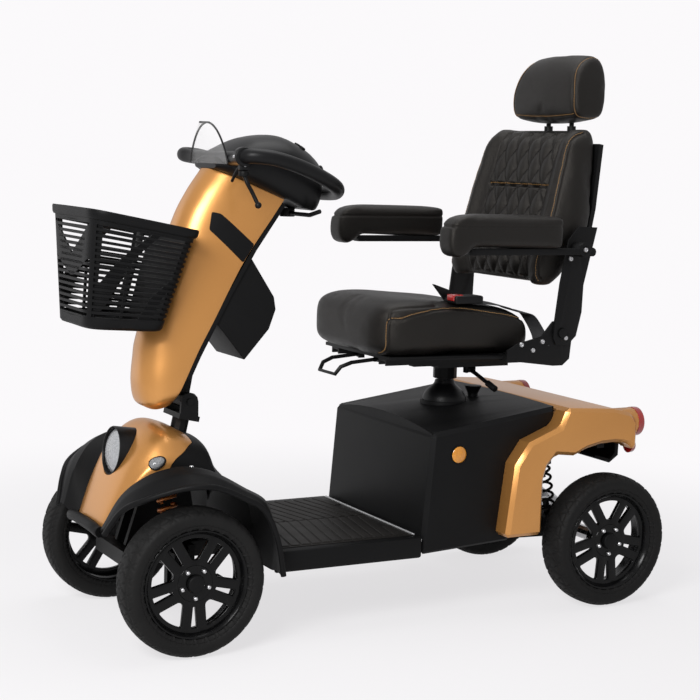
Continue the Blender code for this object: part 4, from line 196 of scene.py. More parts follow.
def finish(name, slot, varying, **fixed):
    """A material: numbers that hold all over it, and a recipe for what varies over it; its slot is
    not used.
    """
    made = bpy.data.materials.new(name)
    made.use_nodes = True
    surface = made.node_tree.nodes["Principled BSDF"]
    for socket, value in fixed.items():
        surface.inputs[socket.replace("_", " ")].default_value = value
    place = Wire(made.node_tree).add("ShaderNodeTexCoord", output="Object")
    for socket, wire in varying(place).items():
        made.node_tree.links.new(wire.socket, surface.inputs[socket])
    return made


def clouded(scale, detail, dark, pale, rough, rougher, grain=None):
    """Recipe for a plain finish: cloudy colour and gloss, and a grain.

    A grain is its scale, detail, strength and height.
    """

    def recipe(place):
        cloud = place.noise(scale, detail)
        looks = {"Base Color": cloud.colours(dark, pale), "Roughness": rough + cloud * rougher}
        if grain:
            looks["Normal"] = place.noise(*grain[:2]).bump(*grain[2:])
        return looks

    return recipe


def gold_paint(place):
    """Satin metallic lacquer: fine flakes, a cloudy tint and a trace of orange peel."""
    flake = place.cells(2600.0)
    cloud = place.noise(3.0, 2.0)
    tint = (flake * 0.5 + cloud * 0.5).between(0.25, 0.75)
    return {
        "Base Color": tint.colours((0.575, 0.255, 0.064), (0.665, 0.312, 0.086)),
        "Roughness": 0.27 + flake * 0.12,
        "Normal": place.noise(260.0, 2.0).bump(0.03, 0.001),
    }


def moulded_black(place):
    """Injection-moulded black with a fine spark grain."""
    grain = place.noise(1400.0, 2.0)
    cloud = place.noise(9.0, 3.0)
    return {
        "Base Color": cloud.colours((0.0040, 0.0040, 0.0042), (0.0072, 0.0072, 0.0076)),
        "Roughness": 0.36 + grain * 0.16 + cloud * 0.08,
        "Normal": grain.bump(0.16, 0.0006),
    }


def powder_coat(place):
    """Powder-coated steel: satin black with a pebbled skin and thin scuffs."""
    pebble = place.noise(520.0, 2.0)
    scuff = place.stretched((30.0, 300.0, 300.0)).noise(2.0, 4.0).between(0.62, 0.75)
    return {
        "Base Color": scuff.colours((0.0045, 0.0045, 0.0048), (0.016, 0.016, 0.017)),
        "Roughness": 0.36 + pebble * 0.16,
        "Normal": pebble.bump(0.14, 0.0008),
    }


def rim_black(place):
    """Gloss-black wheel lacquer with brake dust in its low places."""
    dust = place.noise(60.0, 4.0).between(0.55, 0.8)
    return {
        "Base Color": dust.colours((0.0022, 0.0022, 0.0024), (0.0070, 0.0068, 0.0066)),
        "Roughness": 0.22 + dust * 0.25,
        "Normal": place.noise(300.0, 1.0).bump(0.03, 0.0006),
    }


def leather(place):
    """Black leatherette: pebble grain, creases and a soft sheen."""
    pebble = place.cells(620.0, "DISTANCE_TO_EDGE").between(0.0, 0.22)
    crease = place.noise(75.0, 5.0, 0.6)
    wear = place.noise(7.0, 3.0)
    height = pebble * 0.6 + crease * 0.4
    return {
        "Base Color": wear.colours((0.0046, 0.0042, 0.0040), (0.0080, 0.0072, 0.0067)),
        "Roughness": 0.30 + crease * 0.16 + pebble * 0.06,
        "Normal": height.bump(0.30, 0.0010),
    }


def thread(place):
    """Twisted tan sewing thread."""
    twist = place.noise(3000.0, 2.0)
    return {
        "Base Color": twist.colours((0.36, 0.185, 0.060), (0.56, 0.315, 0.115)),
        "Roughness": 0.55 + twist * 0.2,
        "Normal": twist.bump(0.2, 0.0004),
    }


def webbing(place):
    """Woven black belt."""
    warp = place.stretched((1.0, 1.0, 1.0), (0.0, 0.0, 0.6)).noise(900.0, 1.0)
    weft = place.cells(700.0)
    return {
        "Base Color": weft.colours((0.008, 0.008, 0.009), (0.022, 0.022, 0.024)),
        "Roughness": 0.55 + warp * 0.25,
        "Normal": weft.bump(0.35, 0.0008),
    }


def lamp_plastic(deep, pale, scale):
    """Recipe for a moulded lamp lens: prisms seen as small cells."""

    def recipe(place):
        prism = place.cells(scale)
        return {
            "Base Color": prism.colours(deep, pale),
            "Roughness": 0.06 + prism * 0.16,
            "Normal": prism.bump(0.25, 0.0012),
        }

    return recipe


def clear_sheet(place):
    """Clear plastic sheet with faint wipe marks."""
    wipe = place.stretched((20.0, 20.0, 160.0)).noise(2.0, 3.0)
    return {
        "Base Color": wipe.colours((0.78, 0.77, 0.76), (0.86, 0.86, 0.86)),
        "Roughness": 0.03 + wipe * 0.06,
        "Alpha": 0.07 + wipe * 0.04,
    }


SOFT_TOUCH = clouded(
    14.0, 3.0, (0.0046, 0.0046, 0.0050), (0.0080, 0.0080, 0.0085), 0.33, 0.12,
    (2200.0, 1.0, 0.06, 0.0004)
)
ZINC = clouded(
    120.0, 4.0, (0.50, 0.50, 0.51), (0.66, 0.66, 0.67), 0.18, 0.22, (600.0, 2.0, 0.04, 0.0005)
)
SPRING_COAT = clouded(
    90.0, 3.0, (0.50, 0.135, 0.022), (0.66, 0.22, 0.045), 0.28, 0.18, (900.0, 2.0, 0.06, 0.0005)
)
DRY_RUBBER = clouded(
    26.0, 5.0, (0.0060, 0.0060, 0.0062), (0.0145, 0.0140, 0.0136), 0.50, 0.24,
    (1500.0, 2.0, 0.12, 0.0006)
)
DUSTY_MAT = clouded(
    18.0, 5.0, (0.0070, 0.0064, 0.0060), (0.0200, 0.0180, 0.0165), 0.48, 0.22,
    (1100.0, 2.0, 0.12, 0.0006)
)
PLATED = clouded(40.0, 3.0, (0.70, 0.71, 0.73), (0.86, 0.87, 0.88), 0.05, 0.12)
DARK_GLASS = clouded(50.0, 3.0, (0.006, 0.007, 0.009), (0.012, 0.013, 0.016), 0.05, 0.12)

GOLD = finish(
    "gold_paint", "gold_paint", gold_paint, Metallic=0.6, Coat_Weight=0.25, Coat_Roughness=0.18
)
BLACK = finish("moulded_black", "black_plastic", moulded_black, Specular_IOR_Level=0.12)
SOFT = finish("soft_black", "black_plastic", SOFT_TOUCH, Specular_IOR_Level=0.18)
STEEL = finish("powder_coat", "black_steel", powder_coat, Specular_IOR_Level=0.16)
RIM = finish(
    "rim_black", "black_rim", rim_black, Specular_IOR_Level=0.16, Coat_Weight=0.04,
    Coat_Roughness=0.1
)
BRIGHT = finish("bright_plate", "bright_metal", ZINC, Metallic=1.0)
COPPER = finish("copper_coat", "copper_spring", SPRING_COAT, Metallic=0.45, Coat_Weight=0.3)
RUBBER = finish("tyre_black", "tyre_rubber", DRY_RUBBER, Specular_IOR_Level=0.15)
LEATHER = finish(
    "black_leather", "black_leather", leather, Specular_IOR_Level=0.28,
    Specular_Tint=(1.0, 0.94, 0.87, 1.0)
)
MAT = finish("mat_rubber", "tyre_rubber", DUSTY_MAT, Specular_IOR_Level=0.16)
THREAD = finish("tan_thread", "black_leather", thread)
BELT = finish("belt_webbing", "black_plastic", webbing)
RED = finish(
    "red_lens", "red_lens", lamp_plastic((0.26, 0.004, 0.004), (0.50, 0.015, 0.012), 420.0),
    Coat_Weight=0.8
)
AMBER = finish(
    "amber_lens", "red_lens", lamp_plastic((0.62, 0.20, 0.008), (0.86, 0.36, 0.02), 380.0),
    Coat_Weight=0.8
)
LENS = finish(
    "clear_lens", "clear_lens", lamp_plastic((0.42, 0.43, 0.45), (0.80, 0.81, 0.83), 300.0),
    Alpha=0.45, Coat_Weight=1.0
)
SHIELD = finish("clear_sheet", "clear_lens", clear_sheet, Coat_Weight=0.25)
CHROME = finish("chrome_bowl", "bright_metal", PLATED, Metallic=1.0)
GAUGE = finish("gauge_glass", "black_plastic", DARK_GLASS, Coat_Weight=1.0)
TRIM = finish("dull_trim", "bright_metal", ZINC, Metallic=0.6, Specular_IOR_Level=0.3)


# Floor, backdrop and lamps

FLOOR_HALF = 30.0
PAPER_WHITE = (0.965, 0.95, 0.965, 1)


def open_air(tree):
    """1 where the camera meets the surroundings, and less where a reflection does."""
    seen = Wire(tree).add("ShaderNodeLightPath", output="Is Camera Ray")
    path = seen.socket.node.outputs
    glossy = Wire(tree, path["Is Glossy Ray"]) * 0.55
    return seen.maths(
        "MAXIMUM", seen.maths("MAXIMUM", seen, glossy), Wire(tree, path["Is Transmission Ray"])
    )


def studio():
    """Pale floor that keeps the shadow, white surroundings and three soft boxes."""
    mesh = bpy.data.meshes.new("studio_floor")
    corners = [(x * FLOOR_HALF, y * FLOOR_HALF, 0) for x, y in ((-1, -1), (1, -1), (1, 1), (-1, 1))]
    mesh.from_pydata(corners, [], [(0, 1, 2, 3)])
    floor = bpy.data.objects.new("studio_floor", mesh)
    bpy.context.scene.collection.objects.link(floor)
    made = bpy.data.materials.new("studio_floor")
    made.use_nodes = True
    tree = made.node_tree
    tree.nodes.clear()
    place = Wire(tree).add("ShaderNodeTexCoord", output="Object")
    pale = place.noise(0.6, 2.0).colours((0.86, 0.855, 0.86), (0.89, 0.885, 0.89))
    matt = place.add("ShaderNodeBsdfDiffuse", None, {"Color": pale})
    glow = place.add("ShaderNodeEmission", None, {"Color": PAPER_WHITE, "Strength": 1.0})
    reach = place.add(
        "ShaderNodeVectorMath", {"operation": "LENGTH"}, {0: place}, "Value"
    ).between(0.9, 2.4)
    mixed = place.add(
        "ShaderNodeMixShader", None, {0: open_air(tree) * (0.74 + reach * 0.26), 1: matt, 2: glow}
    )
    output = tree.nodes.new("ShaderNodeOutputMaterial")
    tree.links.new(mixed.socket, output.inputs["Surface"])
    mesh.materials.append(made)

    world = bpy.data.worlds.new("studio_air")
    bpy.context.scene.world = world
    world.use_nodes = True
    tree = world.node_tree
    tree.nodes.clear()
    start = Wire(tree)
    white = start.add("ShaderNodeBackground", None, {"Color": PAPER_WHITE, "Strength": 1.0})
    fill = start.add(
        "ShaderNodeBackground", None, {"Color": (0.95, 0.97, 1.0, 1), "Strength": 0.22}
    )
    mixed = start.add("ShaderNodeMixShader", None, {0: open_air(tree), 1: fill, 2: white})
    output = tree.nodes.new("ShaderNodeOutputWorld")
    tree.links.new(mixed.socket, output.inputs["Surface"])

    for name, spot, aim, size, power in (
        ("key_box", (2.2, -2.6, 2.4), (0.0, -0.2, 0.6), 1.3, 108.0),
        ("front_box", (-3.1, -2.1, 1.2), (0.0, -0.2, 0.6), 2.4, 8.0),
        ("top_box", (-0.3, 0.3, 3.6), (0.0, 0.0, 0.6), 2.2, 40.0),
    ):
        data = bpy.data.lights.new(name, "AREA")
        data.shape = "SQUARE"
        data.size = size
        data.energy = power
        lamp = bpy.data.objects.new(name, data)
        bpy.context.scene.collection.objects.link(lamp)
        away = Vector(spot) - Vector(aim)
        turn = away.to_track_quat("Z", "Y").to_matrix().to_4x4()
        lamp.matrix_world = Matrix.Translation(spot) @ turn


studio()


# Shape helpers

BODY_OF = {
    node: body for body, nodes in frame["record"]["behaviour"]["bodies"].items() for node in nodes
}


def link(mesh):
    """Put a mesh or curve in the scene as a shape."""
    shape = bpy.data.objects.new("shape", mesh)
    bpy.context.scene.collection.objects.link(shape)
    return shape


def settled(shape):
    """Apply a shape's modifiers, or make a curve a mesh."""
    graph = bpy.context.evaluated_depsgraph_get()
    mesh = bpy.data.meshes.new_from_object(shape.evaluated_get(graph))
    bpy.data.objects.remove(shape, do_unlink=True)
    return link(mesh)


def outward(mesh, weld=0.000001):
    """Merge a mesh's doubles and point its faces out."""
    bm = bmesh.new()
    bm.from_mesh(mesh)
    bmesh.ops.remove_doubles(bm, verts=bm.verts, dist=weld)
    bmesh.ops.dissolve_degenerate(bm, edges=bm.edges, dist=weld)
    bmesh.ops.recalc_face_normals(bm, faces=bm.faces)
    bm.to_mesh(mesh)
    bm.free()


def spline(points, count, closed=False):
    """Evenly counted points on a smooth line through the given points, or rows of them."""
    known = np.asarray(points, float)
    if closed:
        known = np.concatenate([known[-1:], known, known[:2]])
    else:
        known = np.concatenate([[2 * known[0] - known[1]], known, [2 * known[-1] - known[-2]]])
    spans = len(known) - 3
    place = np.linspace(0, spans, count, endpoint=not closed)
    first = np.minimum(place.astype(int), spans - 1)
    share = (place - first).reshape((-1,) + (1,) * (known.ndim - 1))
    a, b, c, d = (known[first + k] for k in range(4))
    return b + 0.5 * share * (
        c - a + share * (2 * a - 5 * b + 4 * c - d + share * (3 * (b - c) + d - a))
    )


def evenly(points, count, closed=False):
    """Points at equal distances along a line of points."""
    line = np.asarray(points, float)
    if closed:
        line = np.concatenate([line, line[:1]])
    steps = np.concatenate([[0], np.cumsum(np.linalg.norm(np.diff(line, axis=0), axis=1))])
    goals = np.linspace(0, steps[-1], count, endpoint=not closed)
    return np.stack([np.interp(goals, steps, line[:, k]) for k in range(line.shape[1])], axis=1)


def grid_mesh(rows, around=False, along=False, caps=False):
    """A mesh of quads through rows of points, closed around or along itself, or capped."""
    rows = np.asarray(rows, float)
    count, width = rows.shape[:2]
    index = np.arange(count * width).reshape(count, width)
    if around:
        index = np.concatenate([index, index[:, :1]], axis=1)
    if along:
        index = np.concatenate([index, index[:1]], axis=0)
    quads = np.stack([index[:-1, :-1], index[:-1, 1:], index[1:, 1:], index[1:, :-1]], axis=-1)
    faces = quads.reshape(-1, 4).tolist()
    if caps:
        faces.append(list(range(width))[::-1])
        faces.append(list(range((count - 1) * width, count * width)))
    mesh = bpy.data.meshes.new("grid")
    mesh.from_pydata(rows.reshape(-1, 3).tolist(), [], faces)
    return mesh


def walled(mesh, wall, side=-1):
    """A surface given a wall to one side of it."""
    shape = link(mesh)
    solid = shape.modifiers.new("wall", "SOLIDIFY")
    solid.thickness = wall
    solid.offset = side
    solid.use_even_offset = True
    return settled(shape)


def loft(rings):
    """A closed body through rings."""
    mesh = grid_mesh(rings, around=True, caps=True)
    outward(mesh)
    return link(mesh)


def oval_ring(half, low, high, y, power, floor, count=72, start=0.0):
    """Rounded cross section standing on a flat underside."""
    middle = (low + high) / 2
    reach = (high - low) / 2
    ring = []
    for i in range(count):
        turn = math.tau * (i + start) / count
        side = math.copysign(abs(math.cos(turn)) ** (2 / power), math.cos(turn))
        rise = math.copysign(abs(math.sin(turn)) ** (2 / power), math.sin(turn))
        ring.append((half * side, y, max(middle + reach * rise, floor)))
    return ring


def turn_to(axis):
    """Rotation that takes +Z to an axis."""
    return Vector((0, 0, 1)).rotation_difference(Vector(axis)).to_matrix().to_4x4()


def lathe(profile, centre=(0, 0, 0), axis=(0, 0, 1), sides=48, ring=False):
    """Turn a profile of (radius, height) about an axis; a ring's profile is a closed loop."""
    turns = np.linspace(0, math.tau, sides, endpoint=False)
    profile = np.asarray(profile, float)
    rows = np.stack([
        profile[:, :1] * np.cos(turns),
        profile[:, :1] * np.sin(turns),
        np.repeat(profile[:, 1:2], sides, axis=1),
    ], axis=-1)
    mesh = grid_mesh(rows, around=True, along=ring)
    mesh.transform(Matrix.Translation(centre) @ turn_to(axis))
    outward(mesh)
    return link(mesh)


def rod(start, end, radius, end_radius=None, edge=0.0, sides=32):
    """A round bar between two points, its ends rounded by an edge."""
    start = Vector(start)
    length = (Vector(end) - start).length
    last = radius if end_radius is None else end_radius
    profile = [(0, 0)]
    for turn in (0, 30, 60, 90):
        swing = math.radians(turn)
        profile.append((radius - edge + edge * math.sin(swing), edge - edge * math.cos(swing)))
    for turn in (0, 30, 60, 90):
        swing = math.radians(turn)
        profile.append(
            (last - edge + edge * math.cos(swing), length - edge + edge * math.sin(swing))
        )
    profile.append((0, length))
    return lathe(profile, start, Vector(end) - start, sides)


def pipe(points, radius, closed=False, resolution=5):
    """A round bar bent along points."""
    curve = bpy.data.curves.new("pipe", "CURVE")
    curve.dimensions = "3D"
    curve.bevel_depth = radius
    curve.bevel_resolution = resolution
    curve.use_fill_caps = True
    line = curve.splines.new("POLY")
    line.points.add(len(points) - 1)
    for target, point in zip(line.points, points):
        target.co = (*point, 1)
    line.use_cyclic_u = closed
    shape = settled(link(curve))
    outward(shape.data)
    return shape


def fillet(outline, radius, steps=5):
    """An outline with its corners rounded."""
    points = [Vector(point) for point in outline]
    result = []
    for i, corner in enumerate(points):
        before = points[i - 1] - corner
        after = points[(i + 1) % len(points)] - corner
        reach = min(radius, before.length * 0.49, after.length * 0.49)
        start = corner + before.normalized() * reach
        end = corner + after.normalized() * reach
        for k in range(steps + 1):
            share = k / steps
            result.append(start.lerp(corner, share).lerp(corner.lerp(end, share), share))
    return [tuple(point) for point in result]


def rounded(shape, width, segments=3, angle=28.0):
    """Round a shape's edges that are sharper than an angle."""
    bevel = shape.modifiers.new("round", "BEVEL")
    bevel.width = width
    bevel.segments = segments
    bevel.limit_method = "ANGLE"
    bevel.angle_limit = math.radians(angle)
    bevel.use_clamp_overlap = True
    return settled(shape)


def slab(outline, low, high, edge=0.0, segments=3):
    """Extrude a (y, z) outline between two stations across the scooter, with rounded edges."""
    bm = bmesh.new()
    near = [bm.verts.new((low, y, z)) for y, z in outline]
    far = [bm.verts.new((high, y, z)) for y, z in outline]
    bm.faces.new(near)
    bm.faces.new(far[::-1])
    for i in range(len(near)):
        k = (i + 1) % len(near)
        bm.faces.new((near[i], far[i], far[k], near[k]))
    bmesh.ops.recalc_face_normals(bm, faces=bm.faces)
    mesh = bpy.data.meshes.new("slab")
    bm.to_mesh(mesh)
    bm.free()
    shape = link(mesh)
    return rounded(shape, edge, segments, 50.0) if edge else shape


def block(low, high, edge=0.0, segments=3):
    """A box between two corners with rounded edges."""
    low = Vector(low)
    high = Vector(high)
    outline = [(low.y, low.z), (high.y, low.z), (high.y, high.z), (low.y, high.z)]
    return slab(outline, low.x, high.x, edge, segments)


def combine(base, tools, operation):
    """Boolean of a base with each tool in turn; the tools go."""
    for tool in tools:
        step = base.modifiers.new("boolean", "BOOLEAN")
        step.operation = operation
        step.solver = "EXACT"
        step.object = tool
    result = settled(base)
    for tool in tools:
        bpy.data.objects.remove(tool, do_unlink=True)
    return result


def joined(*shapes):
    """Several shapes as one mesh."""
    bm = bmesh.new()
    for shape in shapes:
        bm.from_mesh(shape.data)
        bpy.data.objects.remove(shape, do_unlink=True)
    mesh = bpy.data.meshes.new("joined")
    bm.to_mesh(mesh)
    bm.free()
    return link(mesh)


def twin(shape):
    """A shape and its mirror image as one mesh."""
    mesh = shape.data.copy()
    mesh.transform(Matrix.Scale(-1, 4, (1, 0, 0)))
    mesh.flip_normals()
    return joined(shape, link(mesh))


def moved(shape, place):
    """A copy of a shape at another place."""
    mesh = shape.data.copy()
    mesh.transform(place)
    return link(mesh)


def cad_copy(node, edge=0.0, segments=3, angle=28.0):
    """A merged copy of a CAD node with its edges rounded, in the shared frame."""
    mesh = frame["nodes"][node].data.copy()
    bm = bmesh.new()
    bm.from_mesh(mesh)
    bmesh.ops.remove_doubles(bm, verts=bm.verts, dist=0.00001)
    bmesh.ops.dissolve_limit(bm, angle_limit=math.radians(0.6), verts=bm.verts, edges=bm.edges)
    bm.to_mesh(mesh)
    bm.free()
    mesh.materials.clear()
    if "custom_normal" in mesh.attributes:
        mesh.attributes.remove(mesh.attributes["custom_normal"])
    shape = link(mesh)
    return rounded(shape, edge, segments, angle) if edge else shape


def placed(shape, name, body, material, stands_for=(), shift=True, sharp=38.0):
    """Name a finished piece, give it its material, set it on its body, if it has one, and hide the
    parts it stands for.
    """
    mesh = shape.data
    if shift:
        mesh.transform(TO_FRAME)
    mesh.materials.clear()
    mesh.materials.append(material)
    mesh.shade_smooth()
    mesh.set_sharp_from_angle(angle=math.radians(sharp))
    shape.name = name
    mesh.name = name
    if body:
        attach(shape, body)
    if stands_for:
        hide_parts(*stands_for)
    return shape


def surface_of(shape):
    """A shape's surface, to lay other pieces on."""
    mesh = shape.data
    return BVHTree.FromPolygons([v.co for v in mesh.vertices], [p.vertices for p in mesh.polygons])


# Small things that repeat: bolts, stitches and ribs


def spread_tree():
    """Node tree that sets one item on each point, turned to the point's own axes."""
    tree = bpy.data.node_groups.new("set_out_items", "GeometryNodeTree")
    for name, way, kind in (
        ("Points", "INPUT", "Geometry"), ("Item", "INPUT", "Object"),
        ("Item size", "INPUT", "Float"), ("Finish", "INPUT", "Material"),
        ("Items", "OUTPUT", "Geometry"),
    ):
        tree.interface.new_socket(name, in_out=way, socket_type="NodeSocket" + kind)
    nodes = tree.nodes
    source = nodes.new("NodeGroupInput")
    result = nodes.new("NodeGroupOutput")
    points = nodes.new("GeometryNodeMeshToPoints")
    item = nodes.new("GeometryNodeObjectInfo")
    axes = nodes.new("FunctionNodeAxesToRotation")
    axes.primary_axis = "Z"
    axes.secondary_axis = "X"
    scale = nodes.new("ShaderNodeVectorMath")
    scale.operation = "SCALE"
    setting = nodes.new("GeometryNodeInstanceOnPoints")
    real = nodes.new("GeometryNodeRealizeInstances")
    finish_node = nodes.new("GeometryNodeSetMaterial")

    def own(name):
        reader = nodes.new("GeometryNodeInputNamedAttribute")
        reader.data_type = "FLOAT_VECTOR"
        reader.inputs["Name"].default_value = name
        return next(o for o in reader.outputs if o.name == "Attribute" and o.enabled)

    for start, end in (
        (source.outputs["Points"], points.inputs["Mesh"]),
        (source.outputs["Item"], item.inputs["Object"]),
        (own("facing"), axes.inputs[0]),
        (own("heading"), axes.inputs[1]),
        (own("size"), scale.inputs[0]),
        (source.outputs["Item size"], scale.inputs["Scale"]),
        (points.outputs[0], setting.inputs["Points"]),
        (item.outputs["Geometry"], setting.inputs["Instance"]),
        (axes.outputs[0], setting.inputs["Rotation"]),
        (scale.outputs[0], setting.inputs["Scale"]),
        (setting.outputs[0], real.inputs[0]),
        (real.outputs[0], finish_node.inputs["Geometry"]),
        (source.outputs["Finish"], finish_node.inputs["Material"]),
        (finish_node.outputs[0], result.inputs["Items"]),
    ):
        tree.links.new(start, end)
    return tree


SPREAD = spread_tree()
SPREAD_INPUT = {
    socket.name: socket.identifier
    for socket in SPREAD.interface.items_tree if socket.in_out == "INPUT"
}


def spread(item, points, facing, heading, material, size=1.0, sizes=None):
    """Set an item on each of many points as one plain mesh; the item goes."""
    mesh = bpy.data.meshes.new("points")
    mesh.from_pydata([tuple(p) for p in points], [], [])
    count = len(points)
    for name, values in (("facing", facing), ("heading", heading), ("size", sizes)):
        rows = np.ones((count, 3)) if values is None else np.broadcast_to(
            np.asarray(values, float), (count, 3)
        )
        mesh.attributes.new(name, "FLOAT_VECTOR", "POINT").data.foreach_set(
            "vector", rows.ravel().astype(np.float32)
        )
    carrier = link(mesh)
    step = carrier.modifiers.new("set_out", "NODES")
    step.node_group = SPREAD
    step[SPREAD_INPUT["Item"]] = item
    step[SPREAD_INPUT["Item size"]] = size
    step[SPREAD_INPUT["Finish"]] = material
    shape = settled(carrier)
    bpy.data.objects.remove(item, do_unlink=True)
    return shape


# Wheels

TYRE_RADIUS = 0.165
TYRE_SECTION = [
    (0.1215, 0.0335), (0.1245, 0.0368), (0.1290, 0.0392), (0.1305, 0.0388), (0.1330, 0.0412),
    (0.1420, 0.0436), (0.1500, 0.0428), (0.1562, 0.0385), (0.1600, 0.0325), (0.1628, 0.0245),
    (0.1643, 0.0150), (0.1650, 0.0)
]
TREAD_STEPS = 450
TREAD_BLOCKS = 30
TREAD_DEPTH = 0.0026
SPOKES = 5
NUT_CIRCLE = 0.0325
NUT_SEAT = 0.0232


def step_up(low, high, value):
    """0 below low, 1 above high, smooth between."""
    share = np.clip((value - low) / (high - low), 0.0, 1.0)
    return share * share * (3 - 2 * share)


def tread(turn, across):
    """Depth of the tread pattern: a wavy middle groove and slanted grooves that cross."""
    pitch = math.tau * TYRE_RADIUS / TREAD_BLOCKS
    run = turn * TYRE_RADIUS
    side = np.abs(across)

    def groove(offset, width):
        gap = np.abs((offset / pitch + 0.5) % 1 - 0.5) * pitch
        return 1 - step_up(width * 0.3, width * 0.7, gap)

    slant = groove(run - 0.9 * side, 0.0044) * step_up(0.004, 0.008, side)
    crossing = groove(run + 0.8 * across + pitch / 2, 0.0034) * step_up(0.012, 0.016, side)
    middle = 1 - step_up(0.0012, 0.0026, np.abs(across - 0.004 * np.sin(turn * TREAD_BLOCKS)))
    rim_groove = 1 - step_up(0.0010, 0.0022, np.abs(side - 0.0300))
    cut = np.maximum(np.maximum(slant, crossing), np.maximum(middle, 0.6 * rim_groove))
    return TREAD_DEPTH * cut * (1 - step_up(0.0370, 0.0432, side))


def tyre():
    """Tyre about +Z with its tread cut in."""
    half = spline(TYRE_SECTION, 26)
    section = np.concatenate([half, (half * (1, -1))[::-1][1:]])
    turns = np.linspace(0, math.tau, TREAD_STEPS, endpoint=False)
    radius = section[:, :1] - tread(turns[None, :], section[:, 1:])
    height = np.repeat(section[:, 1:], TREAD_STEPS, axis=1)
    rows = np.stack([radius * np.cos(turns), radius * np.sin(turns), height], axis=-1)
    mesh = grid_mesh(rows, around=True, along=True)
    outward(mesh)
    return link(mesh)


def polar(radius, degrees):
    """Point on a circle."""
    turn = math.radians(degrees)
    return (radius * math.cos(turn), radius * math.sin(turn))


def plate(outlines, thickness, edge, depth):
    """Flat plate with holes and rounded edges, square to +Z."""
    curve = bpy.data.curves.new("plate", "CURVE")
    curve.dimensions = "2D"
    curve.fill_mode = "BOTH"
    curve.extrude = thickness / 2 - edge
    curve.bevel_depth = edge
    curve.bevel_resolution = 2
    for outline in outlines:
        line = curve.splines.new("POLY")
        line.points.add(len(outline) - 1)
        for target, point in zip(line.points, outline):
            target.co = (*point, 0, 1)
        line.use_cyclic_u = True
    shape = settled(link(curve))
    shape.data.transform(Matrix.Translation((0, 0, depth)))
    outward(shape.data)
    return shape


def wheel_rim():
    """Five twin spokes, hub and stepped barrel about +Z, outer face up."""
    barrel = lathe(
        [
            (0.1210, 0.0335), (0.1195, 0.0350), (0.1165, 0.0350), (0.1150, 0.0335),
            (0.1085, 0.0225), (0.1080, 0.0195), (0.1140, 0.0180), (0.1140, -0.0320),
            (0.1160, -0.0350), (0.1195, -0.0350), (0.1210, -0.0335)
        ],
        sides=96, ring=True,
    )
    outlines = [[polar(0.1125, 3.75 * i) for i in range(96)]]
    for i in range(SPOKES):
        middle = 360 / SPOKES * i
        gap = [polar(0.1030, middle + a) for a in (15.5, 26, 36, 46, 56.5)]
        gap += [polar(0.0500, middle + a) for a in (45, 27)]
        outlines.append(fillet(gap, 0.008))
        slot = [polar(0.1020, middle + a) for a in (-5.6, 5.6)]
        slot += [polar(0.0500, middle + a) for a in (6.0, -6.0)]
        outlines.append(fillet(slot, 0.004))
    face = plate(outlines, 0.0130, 0.0026, 0.0165)
    hub = lathe(
        [
            (0.0112, -0.0215), (0.0340, -0.0215), (0.0360, -0.0195), (0.0425, 0.0150),
            (0.0415, 0.0225), (0.0400, 0.0240), (0.0210, 0.0240), (0.0200, 0.0225), (0.0112, 0.0225)
        ],
        sides=48, ring=True,
    )
    return joined(barrel, face, hub)


def hub_cap():
    """Plain domed cap over the axle nut, about +Z."""
    outer = [
        (0.0192, 0.0236), (0.0192, 0.0310), (0.0178, 0.0340), (0.0130, 0.0353), (0.0060, 0.0358),
        (0.0, 0.0359)
    ]
    inner = [(0.0, 0.0338), (0.0130, 0.0336), (0.0164, 0.0325), (0.0172, 0.0305), (0.0172, 0.0236)]
    return lathe(spline(outer, 24).tolist() + inner, sides=48)


def hub_bolts():
    """Five acorn nuts round the hub."""
    item = lathe(
        [
            (0.0, 0.0), (0.0062, 0.0), (0.0062, 0.0040), (0.0054, 0.0058), (0.0044, 0.0080),
            (0.0022, 0.0096), (0.0, 0.0100)
        ],
        sides=12,
    )
    spots = [(*polar(NUT_CIRCLE, 360 / SPOKES * i), NUT_SEAT) for i in range(SPOKES)]
    return spread(item, spots, (0, 0, 1), (1, 0, 0), BRIGHT)


WHEEL_PIECES = (
    (tyre(), "_treaded_tyre", RUBBER, "_tyre"), (wheel_rim(), "_spoked_rim", RIM, "_rim"),
    (hub_cap(), "_hub_cap", BLACK, None), (hub_bolts(), "_hub_nuts", BRIGHT, None),
)
for LABEL, SIDE in SIDES:
    for END, HALF_TRACK, AXLE_Y in (
        ("front", FRONT_HALF_TRACK, FRONT_Y), ("rear", REAR_HALF_TRACK, REAR_Y)
    ):
        WHEEL = END + "_" + LABEL
        STANCE = Matrix.Translation((SIDE * HALF_TRACK, AXLE_Y, AXLE_Z)) @ turn_to((SIDE, 0, 0))
        for PATTERN, PIECE, COAT, NODE in WHEEL_PIECES:
            placed(
                moved(PATTERN, STANCE), WHEEL + PIECE, WHEEL + "_wheel", COAT,
                [WHEEL + NODE] if NODE else ()
            )
for PATTERN, *_ in WHEEL_PIECES:
    bpy.data.objects.remove(PATTERN, do_unlink=True)


# Springs

SPRING_COILS = 6
SPRING_RADIUS = 0.020
SPRING_WIRE = 0.0035
FRONT_SPRING = (Vector((0.146, FRONT_Y - 0.006, 0.226)), Vector((0.122, FRONT_Y - 0.006, 0.338)))
REAR_SPRING = (Vector((0.178, REAR_Y - 0.105, 0.222)), Vector((0.178, REAR_Y - 0.130, 0.345)))


